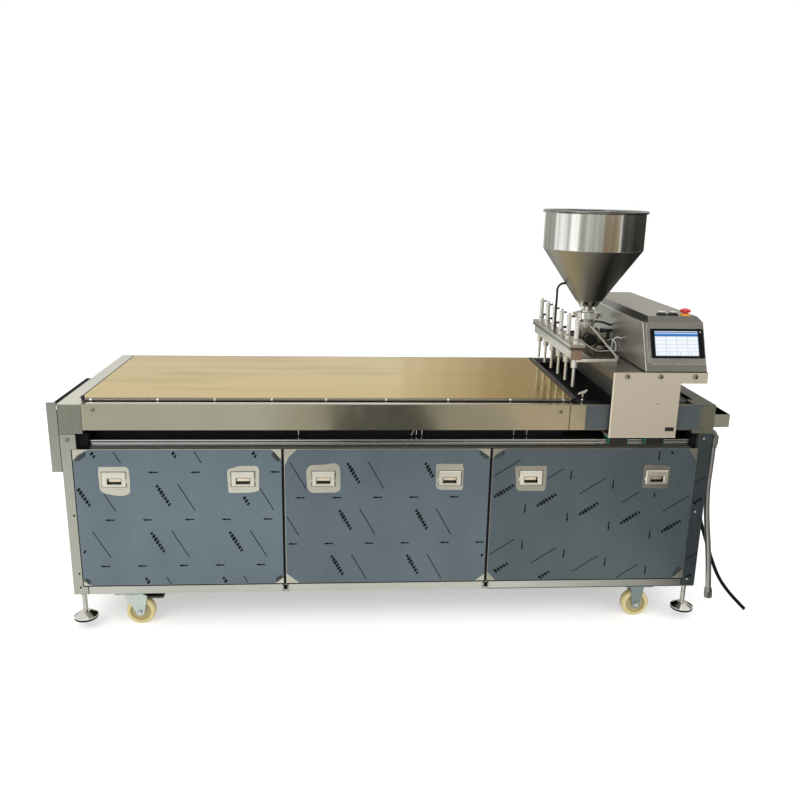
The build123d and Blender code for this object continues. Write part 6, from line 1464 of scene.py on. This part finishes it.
class DORAYAKI_OT_depositor(Operator):
    """Finishes the hopper, the valve and the nozzle bar, with their fittings"""

    bl_idname = "dorayaki.depositor"
    bl_label = "Depositor head"

    def execute(self, context):
        colours = finishes()
        bright = polished("head_bright", colours.polished_steel, 0.2)
        dress(self.spun_steel(), "hopper")
        dress(bright, "valve_needles", "dosing_piston")
        dress(polished("nozzle_bright", linear(236, 236, 232), 0.2, 0.55), "nozzles", "air_cylinders")
        dress(polished("clamp_bright", linear(244, 244, 240), 0.1), "clamp_ring")
        dress(brushed_sheet("head_steel", colours.bare_steel, ALONG_Y, 0.24), "valve_body", "dosing_cylinder")
        dress(self.bar_steel(colours), "nozzle_bar", "bar_lid")
        dress(moulded("hub_black", colours.black, 0.35), "valve_plug")
        dress(self.pipe_steel(), "head_pipes")
        self.cylinder_fittings(colours, bright)
        self.clamp_screw(bright)
        self.air_lines(colours)
        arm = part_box("nozzle_bar")[0].z
        # Painted highlight: a bright strip along the front arm's edge.
        edge = Shape().box((0.640, -0.2305, arm - 0.008), (0.790, -0.2276, arm + 0.003), 0.0005)
        arm_highlight_steel = brushed_sheet("arm_edge", colours.arm_edge, ALONG_X, 0.3, 0.5)
        edge.put("arm_edge", arm_highlight_steel, "carriage", "stainless_sheet")
        return {"FINISHED"}

    def bar_steel(self, colours):
        """Nozzle bar and lid: a brown front end, and a shadow under the lid's upper layer."""
        recipe = brushed("bar_steel", colours.bare_steel, ALONG_Y, 0.24)
        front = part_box("nozzle_bar")[0].y
        end = recipe.both(recipe.zone(0.0003, y_to=front + 0.0006), recipe.zone(z_to=LID_LOW.z))
        recipe.stain(end, tuple(colours.bar_end))
        foot = recipe.zone(0.0002, z_from=LID_LOW.z + 0.0002)
        recipe.mottle(recipe.both(foot, recipe.zone(z_to=LID_LOW.z + 0.009)), 9.0, 0.12, 0.24)
        return recipe.material

    def spun_steel(self):
        """Spun bowl with upright bands of painted reflection, over a cone with a painted pale band and a half
        in painted shade, and a rim darkened with painted shade.
        """
        recipe = Recipe("spun_steel", finishes().spun_steel, 0.22, metallic=1.0)
        axis_x, axis_y = (HOPPER_LOW.x + HOPPER_HIGH.x) / 2, (HOPPER_LOW.y + HOPPER_HIGH.y) / 2
        # Painted reflection: upright bands of lighter and darker tone on the bowl.
        bands = recipe.noise(38.0, 3.0, ALONG_Z)
        rings = recipe.noise(520.0, 2.0, (0.05, 0.05, 1))
        bowl = recipe.shade(recipe.span(bands, 0.0, 1.0, 0.32, 0.68), 0.58, 1.2)
        cone_tint = finishes().hopper_cone
        # Painted light and shade on the cone, by the turn round the hopper's axis: a pale band at the front
        # left, darkening towards the left edge and from the front middle round the right half.
        leftward = recipe.maths("SUBTRACT", axis_x, recipe.axis("X"))
        turn = recipe.maths("ARCTAN2", recipe.maths("SUBTRACT", axis_y, recipe.axis("Y")), leftward)
        rise, fall = recipe.span(turn, 1.0, 0.0, -0.1, 0.6), recipe.span(turn, 0.0, 0.93, 0.7, 1.7)
        satin = recipe.added(recipe.maths("MAXIMUM", rise, fall),
                             recipe.span(recipe.noise(9.0, 2.0, ALONG_Z), 0.0, 0.1, 0.3, 0.7))
        cone = recipe.mix(satin, toned(cone_tint, 1.42), toned(cone_tint, 0.07))
        inside = recipe.span(recipe.reach((axis_x, axis_y, 0), (1, 1, 0)), 0.0, 1.0, 0.05, 0.052)
        neck = recipe.both(recipe.zone(z_to=1.313), inside)
        recipe.paint(recipe.mix(neck, bowl, cone))
        # Painted shade: the rolled rim at the top of the bowl is darkened.
        recipe.stain(recipe.zone(z_from=HOPPER_HIGH.z - 0.012), recipe.shade(bands, 0.14, 0.34))
        recipe.gloss(recipe.added(recipe.span(rings, 0.09, 0.2), recipe.maths("MULTIPLY", neck, 0.26)))
        recipe.surface(Metallic=recipe.span(neck, 1.0, 0.5), Specular_IOR_Level=0.15)
        recipe.relief(rings, 0.00004)
        return recipe.material

    def pipe_steel(self):
        """Dark return pipe, bright stay and milky air hose, told apart by where they run."""
        recipe = Recipe("pipe_steel", finishes().polished_steel, 0.2, metallic=0.75)
        marks = recipe.noise(40.0, 3.0)
        bright = recipe.shade(marks, 0.8, 1.05)
        pipe = recipe.zone(z_from=LID_HIGH.z + 0.0005, x_to=0.72)
        recipe.paint(recipe.mix(pipe, bright, recipe.shade(marks, 0.06, 0.12)))
        recipe.gloss(recipe.span(marks, 0.15, 0.35))
        return recipe.material

    def nozzle_spots(self, x, z, facing):
        """A spot over each nozzle."""
        return [((x, y, z), facing) for y in nozzle_places(NOZZLES)]

    def cylinder_fittings(self, colours, bright):
        """Lock nuts, top screws and black push-in fittings on the air cylinders."""
        sizes = fittings()
        nozzle_x = (LID_LOW.x + LID_HIGH.x) / 2
        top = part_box("air_cylinders")[1].z
        black = moulded("fitting_black", colours.black, 0.4)
        nut = Shape().prism(hexagon(1.0), 0.42)
        set_out("lock_nuts", nut.mesh("lock_nut"), sizes.lock_nut, bright, "carriage",
                self.nozzle_spots(nozzle_x, LID_HIGH.z + 0.0092, UPWARD))
        profile = ((0, 0), (0.26, 0), (0.26, 0.34), (0.5, 0.36), (0.5, 0.72), (0.42, 0.8), (0, 0.8))
        stud = Shape().turned(profile, sides=16)
        set_out("cylinder_screws", stud.mesh("cylinder_screw"), sizes.cylinder_screw, bright, "carriage",
                self.nozzle_spots(nozzle_x, top, UPWARD))
        profile = ((0, 0), (0.3, 0), (0.3, 0.55), (0.5, 0.6), (0.5, 1.15), (0.42, 1.3), (0, 1.3))
        elbow = Shape().turned(profile, sides=16).box((-0.38, -0.38, -0.1), (0.38, 0.38, 0.35), 0.05)
        set_out("push_fittings", elbow.mesh("push_fitting"), sizes.push_fitting, black, "carriage",
                self.nozzle_spots(nozzle_x + 0.0075, LID_HIGH.z + 0.024, RIGHTWARD))
        profile = ((0, 0), (0.34, 0), (0.34, 0.5), (0.5, 0.55), (0.5, 0.95), (0, 0.95))
        upper = Shape().turned(profile, sides=14)
        set_out("upper_fittings", upper.mesh("upper_fitting"), sizes.upper_fitting, black, "carriage",
                self.nozzle_spots(nozzle_x + 0.0095, top - 0.0045, RIGHTWARD))

    def clamp_screw(self, bright):
        """The clamp's swing bolt with its wing nut."""
        low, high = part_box("clamp_ring")
        middle = (low + high) / 2
        ear = Vector((high.x - 0.008, middle.y, middle.z))
        shape = Shape().turned(((0, -0.02), (0.003, -0.02), (0.003, 0.022), (0, 0.022)),
                               Matrix.Translation(ear) @ Matrix.Rotation(math.pi / 2, 4, "X"))
        shape.turned(((0, 0), (0.0062, 0), (0.0045, 0.008), (0, 0.008)),
                     Matrix.Translation(ear - Vector((0, 0.0065, 0))) @ Matrix.Rotation(math.pi / 2, 4, "X"))
        for lean in (-1, 1):
            tip = ear + Vector((0, -0.013, lean * 0.009))
            shape.box(tip - Vector((0.0016, 0.006, 0.006)), tip + Vector((0.0016, 0.004, 0.006)), 0.001)
        shape.put("clamp_screw", bright, "carriage", "bright_steel")

    def air_lines(self, colours):
        """A black tee on the housing's left wall, a black line to the valve's neck and a milky loop."""
        wall = HOUSING_LOW.x + 0.0005
        arm_radius, line_radius, tube_radius = 0.0065, 0.0042, 0.0026
        centre = Vector((HOUSING_LOW.x - 0.014, -0.02, 1.013))
        shape = Shape().pipe([(wall, centre.y, centre.z), centre - Vector((0.028, 0, 0))], arm_radius, 14)
        shape.pipe([centre, centre - Vector((0, 0, 0.032))], arm_radius, 14)
        for end, turn in ((centre - Vector((0.030, 0, 0)), Matrix.Rotation(math.pi / 2, 4, "Y")),
                          (centre - Vector((0, 0, 0.034)), Matrix())):
            shape.turned(((0, 0), (0.0085, 0), (0.0085, 0.010), (0, 0.010)), Matrix.Translation(end) @ turn)
        line = ((0.778, 0.024, 1.040), (0.795, 0.006, 1.042), (0.815, -0.002, 1.038), (wall, -0.004, 1.030))
        shape.pipe(smooth_route("neck_line", line), line_radius, 10)
        shape.put("air_tee", moulded("tee_black", colours.black, 0.38), "carriage", "black_plastic")
        loop = ((wall, -0.130, 1.002), (0.815, -0.130, 1.012), (0.801, -0.125, 0.988), (0.805, -0.120, 0.955),
                (0.822, -0.112, 0.948), (0.829, -0.096, 0.975), (0.824, -0.060, 0.990),
                (0.819, -0.020, 0.972), (0.819, -0.020, 0.982))
        tube = Shape().pipe(smooth_route("loop_line", loop), tube_radius, 10)
        tube.put("air_loop", moulded("milky_tube", colours.hose, 0.2), "carriage", "white_plastic")


class DORAYAKI_OT_fasteners(Operator):
    """Sets the screws and bolts on the sheets, the lid and the arms"""

    bl_idname = "dorayaki.fasteners"
    bl_label = "Screws and bolts"

    def execute(self, context):
        colours, sizes = finishes(), fittings()
        bright = polished("screw_steel", colours.screw, 0.14)
        head = button_head()
        front = FASCIA_LOW.y
        table = [((x, front, z), FORWARD) for x, z in ((-1.002, 0.800), (0.552, 0.795), (-1.0915, 0.698))]
        table += self.rear_spots()
        left = [((-1.0915, front, z), FORWARD) for z in (0.429, 0.213, 0.161)]
        black = moulded("screw_black", colours.black, 0.5, 0.2)
        set_out("left_leg_screws", head, sizes.leg_screw, black, "table", left)
        right = [((1.0665, front - 0.00035, z), FORWARD) for z in (0.699, 0.426, 0.163)]
        pale = polished("leg_screw_bright", colours.spun_steel, 0.3)
        set_out("right_leg_screws", head, sizes.leg_screw, pale, "table", right)
        set_out("table_screws", head, sizes.screw_head, bright, "table", table)
        skirt = [((x, y, 0.9235), way) for y, way in ((SKIRT_LOW.y, FORWARD), (SKIRT_HIGH.y, BACKWARD))
                 for x in (0.767, 0.881, 1.0015)]
        set_out("skirt_screws", head, sizes.skirt_screw, bright, "carriage", skirt)
        lid = [((x, y, LID_HIGH.z), UPWARD) for x in (LID_LOW.x + 0.008, LID_HIGH.x - 0.008)
               for y in nozzle_places(NOZZLES - 1, 0.5)]
        set_out("lid_screws", head, sizes.small_screw, bright, "carriage", lid)
        arms = [((x, y, 0.942), UPWARD) for x in (0.735, 0.772) for y in (-0.2125, 0.3075)]
        set_out("arm_bolts", hexagon_bolt(), sizes.plate_bolt, bright, "carriage", arms)
        return {"FINISHED"}

    def rear_spots(self):
        """Screws along the rear panels and down the end panels."""
        spots = []
        low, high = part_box("side_panels")
        for x in (-1.03, -0.73, -0.42, -0.345, -0.03, 0.29, 0.365, 0.7, 1.02):
            spots += [((x, high.y, z), BACKWARD) for z in (low.z + 0.02, 0.655)]
        for y in (-0.30, 0.0, 0.30):
            for x, way in ((low.x, LEFTWARD), (high.x, RIGHTWARD)):
                spots += [((x, y, z), way) for z in (low.z + 0.02, high.z - 0.02)]
        return spots


def thread_tree():
    """A raised thread round upright studs: one helix on each point."""
    tree = NodeTree("Thread on studs")
    radius, pitch, height = [tree.setting(name) for name in ("Radius", "Pitch", "Height")]
    finish = tree.setting("Finish", "Material")
    turns = tree.maths("DIVIDE", height, pitch)
    helix = tree.add("GeometryNodeCurveSpiral", Resolution=14, Rotations=turns, Start_Radius=radius,
                     End_Radius=radius, Height=height)
    ridge = tree.add("GeometryNodeCurvePrimitiveCircle", Resolution=4,
                     Radius=tree.maths("MULTIPLY", pitch, 0.3))
    thread = tree.add("GeometryNodeCurveToMesh", Curve=helix, Profile_Curve=ridge,
                      Fill_Caps=True)
    points = tree.add("GeometryNodeMeshToPoints", Mesh=tree.sources.outputs[0])
    copies = tree.add("GeometryNodeInstanceOnPoints", Points=points, Instance=thread)
    return tree.end(copies, finish)


class DORAYAKI_OT_running_gear(Operator):
    """Finishes the casters and levelling feet, with axle nuts, bolts, threads and pedal ridges"""

    bl_idname = "dorayaki.running_gear"
    bl_label = "Running gear"

    def execute(self, context):
        colours, sizes = finishes(), fittings()
        zinc = plated("caster_zinc", colours.zinc)
        dress(zinc, "front_swivel_fork", "rear_swivel_fork")
        # Painted shade: the rigid casters' mounts take the darker zinc.
        dress(plated("mount_zinc", colours.mount_zinc), "caster_mounts")
        dress(self.foot_steel(), "feet")
        pedal_black = moulded("pedal_black", colours.black, 0.42)
        for side in ("front", "rear"):
            dress(pedal_black, side + "_brake_pedal")
            for kind in ("swivel", "rigid"):
                wheel = f"{side}_{kind}_wheel"
                dress(self.wheel_rubber(wheel), wheel)
            self.axle_nuts(side, zinc)
            self.pedal_ridges(side, pedal_black)
        self.plate_bolts(zinc)
        self.threads(colours, sizes)
        return {"FINISHED"}

    def wheel_rubber(self, wheel):
        """Cream tread, a tan web inside it and a grey hub, told apart by the distance from the axle."""
        low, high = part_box(wheel)
        centre = (low + high) / 2
        recipe = Recipe(wheel + "_rubber", finishes().wheel, 0.42)
        distance = recipe.reach(centre, (1, 0, 1))
        scuffs = recipe.noise(120.0, 4.0)
        tread = recipe.shade(scuffs, 0.78, 1.06)
        web = recipe.shade(scuffs, 0.5, 0.72)
        body = recipe.mix(recipe.span(distance, 0.0, 1.0, 0.0355, 0.0365), web, tread)
        hub = (0.25, 0.25, 0.24, 1.0)
        recipe.paint(recipe.mix(recipe.span(distance, 0.0, 1.0, 0.0145, 0.0155), hub, body))
        recipe.gloss(recipe.span(scuffs, 0.34, 0.52))
        recipe.relief(scuffs, 0.0002)
        return recipe.material

    def foot_steel(self):
        """Bright pressed foot with a dark rubber rim under it."""
        recipe = Recipe("foot_steel", finishes().polished_steel, 0.16, metallic=1.0)
        marks = recipe.noise(45.0, 3.0)
        rubber = recipe.zone(0.0005, z_to=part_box("feet")[0].z + 0.007)
        recipe.paint(recipe.mix(rubber, recipe.shade(marks, 0.75, 1.05), recipe.shade(marks, 0.015, 0.03)))
        recipe.gloss(recipe.added(recipe.span(marks, 0.1, 0.24), recipe.maths("MULTIPLY", rubber, 0.4)))
        return recipe.material

    def axle_nuts(self, side, zinc):
        """Nuts on both cheeks of one side's casters."""
        nut = hexagon_bolt()
        for kind, body in (("swivel", side + "_swivel_fork"), ("rigid", "table")):
            low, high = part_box(f"{side}_{kind}_wheel")
            centre = (low + high) / 2
            outside = 0.022
            spots = [((centre.x, centre.y - outside, centre.z), FORWARD),
                     ((centre.x, centre.y + outside, centre.z), BACKWARD)]
            set_out(f"{side}_{kind}_axle_nuts", nut, fittings().axle_nut, zinc, body, spots)

    def pedal_ridges(self, side, black):
        """Raised ridges across the foot plate of a brake pedal."""
        low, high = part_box(side + "_brake_pedal")
        start, pitch, width, margin, foot, top = high.x - 0.046, 0.007, 0.003, 0.004, 0.1118, 0.1134
        shape = Shape()
        for ridge in range(fittings().pedal_ridges):
            x = start + pitch * ridge
            shape.box((x, low.y + margin, foot), (x + width, high.y - margin, top), 0.0006)
        shape.put(side + "_pedal_ridges", black, side + "_brake_pedal", "black_plastic")

    def plate_bolts(self, zinc):
        """Bolts at the corners of the casters' plates, seen from below."""
        under, along, across = 0.130, 0.041, 0.031
        corners = [(x, y) for x in (-along, along) for y in (-across, across)]
        spots = []
        for x in (-0.930, 0.895):
            for y in (-0.3475, 0.3475):
                spots += [((x + dx, y + dy, under), DOWNWARD) for dx, dy in corners]
        set_out("caster_bolts", hexagon_bolt(), fittings().plate_bolt, zinc, "table", spots)

    def threads(self, colours, sizes):
        """A thread on each levelling foot's stud, and a lock nut under the leg."""
        low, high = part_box("feet")
        steel = polished("thread_steel", colours.deck, 0.3)
        half, thread_foot, nut_foot = 0.04, 0.064, 0.126
        places = [(x, y) for x in (low.x + half, high.x - half) for y in (low.y + half, high.y - half)]
        base = bpy.data.meshes.new("foot_threads")
        base.from_pydata([(x, y, thread_foot) for x, y in places], [], [])
        values = {"Radius": 0.0073, "Pitch": sizes.thread_pitch, "Height": 0.058, "Finish": steel}
        mesh = grown("foot_threads", thread_tree(), base, values)
        mesh.shade_smooth()
        piece("foot_threads", mesh, steel, "table")
        nut = Shape().prism(hexagon(1.0), 0.4).mesh("foot_nut")
        spots = [((x, y, nut_foot), UPWARD) for x, y in places]
        set_out("foot_nuts", nut, sizes.foot_nut, steel, "table", spots)


class DORAYAKI_OT_end_pieces(Operator):
    """Makes the gutter tap, seam stops, rail buffers, dark joint lines of painted shade and a black strip of
    painted shade above the drawer
    """

    bl_idname = "dorayaki.end_pieces"
    bl_label = "End pieces"

    def execute(self, context):
        colours = finishes()
        bright = polished("tap_steel", colours.polished_steel, 0.2)
        black = moulded("edge_black", colours.black, 0.8, 0.1)
        self.tap(bright)
        self.seam_stops(brushed_sheet("stop_steel", colours.leg_steel, ALONG_Z))
        self.buffers(black)
        self.joint_lines(black)
        self.slot_brackets(bright)
        # Painted shade: a black strip above the drawer, for the dark gap there.
        low, high = (LEG_LOW.x - 0.018, LEG_LOW.y + 0.0085, 0.812), (LEG_LOW.x - 0.0002, -0.025, 0.820)
        Shape().box(low, high, 0.001).put("end_edging", black, "table", "black_plastic")
        return {"FINISHED"}

    def tap(self, bright):
        """A small tap with a bent wing handle at the end of the gutter."""
        foot = Vector((0.644, -0.330, PLATE_HIGH.z - 0.012))
        stem = ((0, 0), (0.006, 0), (0.006, 0.014), (0.003, 0.016), (0.003, 0.038), (0, 0.038))
        shape = Shape().turned(stem, Matrix.Translation(foot))
        wing = ((-0.017, -0.009), (-0.009, -0.007), (0.0, -0.006), (0.008, -0.003), (0.011, 0.002),
                (0.016, 0.006), (0.012, 0.009), (0.004, 0.004), (-0.006, 0.000), (-0.014, -0.004))
        shape.prism(wing, 0.005, standing(foot + Vector((0, 0.002, 0.042))))
        shape.put("gutter_tap", bright, "table", "bright_steel")

    def buffers(self, black):
        """Rubber buffers at both ends of the two linear rails."""
        shape = Shape()
        low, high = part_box("linear_rails")
        overlap, depth = 0.012, 0.047
        for front in (low.y - overlap, high.y + overlap - depth):
            for wall, end in ((LEG_LOW.x + LEG_TUBE, low.x), (LEG_HIGH.x - LEG_TUBE, high.x)):
                left, right = sorted((wall, end))
                shape.box((left, front, low.z - overlap), (right, front + depth, CORNER_FOOT), 0.002)
        shape.put("rail_buffers", black, "table", "black_rubber")

    def joint_lines(self, black):
        """Dark strips of painted shade in the joints between the corner boxes, the fascias and the rails, and
        in the panel seams.
        """
        shape = Shape()
        front, proud, half, box_width = FASCIA_LOW.y, 0.0002, 0.0007, 0.075
        inner_left, inner_right = LEG_LOW.x + LEG_TUBE, LEG_HIGH.x - LEG_TUBE
        lines = [(x - half, x + half, FASCIA_LOW.z, FASCIA_HIGH.z)
                 for x in (LEG_LOW.x + box_width, LEG_HIGH.x - box_width, PLATE_HIGH.x - 0.028)]
        lines += [(x - 2 * half, x + 2 * half, LEG_LOW.z, LEG_LOW.z + 0.032)
                  for x in (inner_left, inner_right)]
        lines.append((0.335, inner_right, LEG_LOW.z, LEG_LOW.z + 0.0025))
        lines += [(x, x + wide, CORNER_FOOT - 0.0003, CORNER_FOOT + 0.0009)
                  for x, wide in ((LEG_LOW.x, box_width), (inner_right, LEG_TUBE))]
        for left, right, bottom, top in lines:
            shape.box((left, front - proud, bottom), (right, front + proud, top))
        for seam in SEAMS:
            shape.box((seam - 0.0019, -0.3942, 0.168), (seam + 0.0019, -0.3765, 0.662))
            shape.box((seam - 0.007, front - 0.001, 0.145), (seam + 0.007, front, 0.162))
        shape.put("joint_lines", black, "table", "black_rubber")

    def slot_brackets(self, steel):
        """Thin wires that hang in the slot behind the rail."""
        shape = Shape()
        depth, top, radius = -0.330, 0.718, 0.0016
        wires = [((x, 0.690), x) for x in (-0.338, 0.068, 0.087, 0.409, 0.455)]
        for (x, foot), head in wires + [((0.050, 0.694), 0.062)]:
            shape.pipe([(x, depth, foot), (head, depth, top)], radius, 6)
        shape.put("slot_brackets", steel, "table", "bright_steel")

    def seam_stops(self, steel):
        """Folded stops on the bottom rail, under the seams between the panels."""
        shape = Shape()
        front, foot, edge, half_width, half_cheek = FASCIA_LOW.y, 0.137, 0.0005, 0.011, 0.002
        for seam in SEAMS:
            for x in (seam - half_width + half_cheek, seam + half_width - half_cheek):
                shape.box((x - half_cheek, front - 0.006, foot), (x + half_cheek, front, 0.163), edge)
            shape.box((seam - half_width, front - 0.0015, foot), (seam + half_width, front, 0.145), edge)
        shape.put("seam_stops", steel, "table", "stainless_sheet")


STEPS = (DORAYAKI_OT_stage, DORAYAKI_OT_cords, DORAYAKI_OT_table, DORAYAKI_OT_plate, DORAYAKI_OT_panels,
         DORAYAKI_OT_carriage, DORAYAKI_OT_controls, DORAYAKI_OT_depositor, DORAYAKI_OT_fasteners,
         DORAYAKI_OT_running_gear, DORAYAKI_OT_end_pieces)


class DORAYAKI_PT_sidebar(Panel):
    """Lists the steps and their settings"""

    bl_idname = "DORAYAKI_PT_sidebar"
    bl_label = "Dorayaki machine"
    bl_space_type = "VIEW_3D"
    bl_region_type = "UI"
    bl_category = "Dorayaki"

    def draw(self, context):
        for step in STEPS:
            self.layout.operator(step.bl_idname)
        for settings in (context.scene.dorayaki_finishes, context.scene.dorayaki_fittings,
                         context.scene.dorayaki_studio):
            box = self.layout.box()
            for name in settings.__annotations__:
                box.prop(settings, name)


CLASSES = (FinishSettings, FittingSettings, StudioSettings, *STEPS, DORAYAKI_PT_sidebar)


def register():
    for entry in CLASSES:
        bpy.utils.register_class(entry)
    bpy.types.Scene.dorayaki_finishes = PointerProperty(type=FinishSettings)
    bpy.types.Scene.dorayaki_fittings = PointerProperty(type=FittingSettings)
    bpy.types.Scene.dorayaki_studio = PointerProperty(type=StudioSettings)


def unregister():
    del bpy.types.Scene.dorayaki_studio
    del bpy.types.Scene.dorayaki_fittings
    del bpy.types.Scene.dorayaki_finishes
    for entry in reversed(CLASSES):
        bpy.utils.unregister_class(entry)


def main():
    register()
    copies_tree()
    for step in STEPS:
        group, name = step.bl_idname.split(".")
        getattr(getattr(bpy.ops, group), name)()


if __name__ == "__main__":
    main()
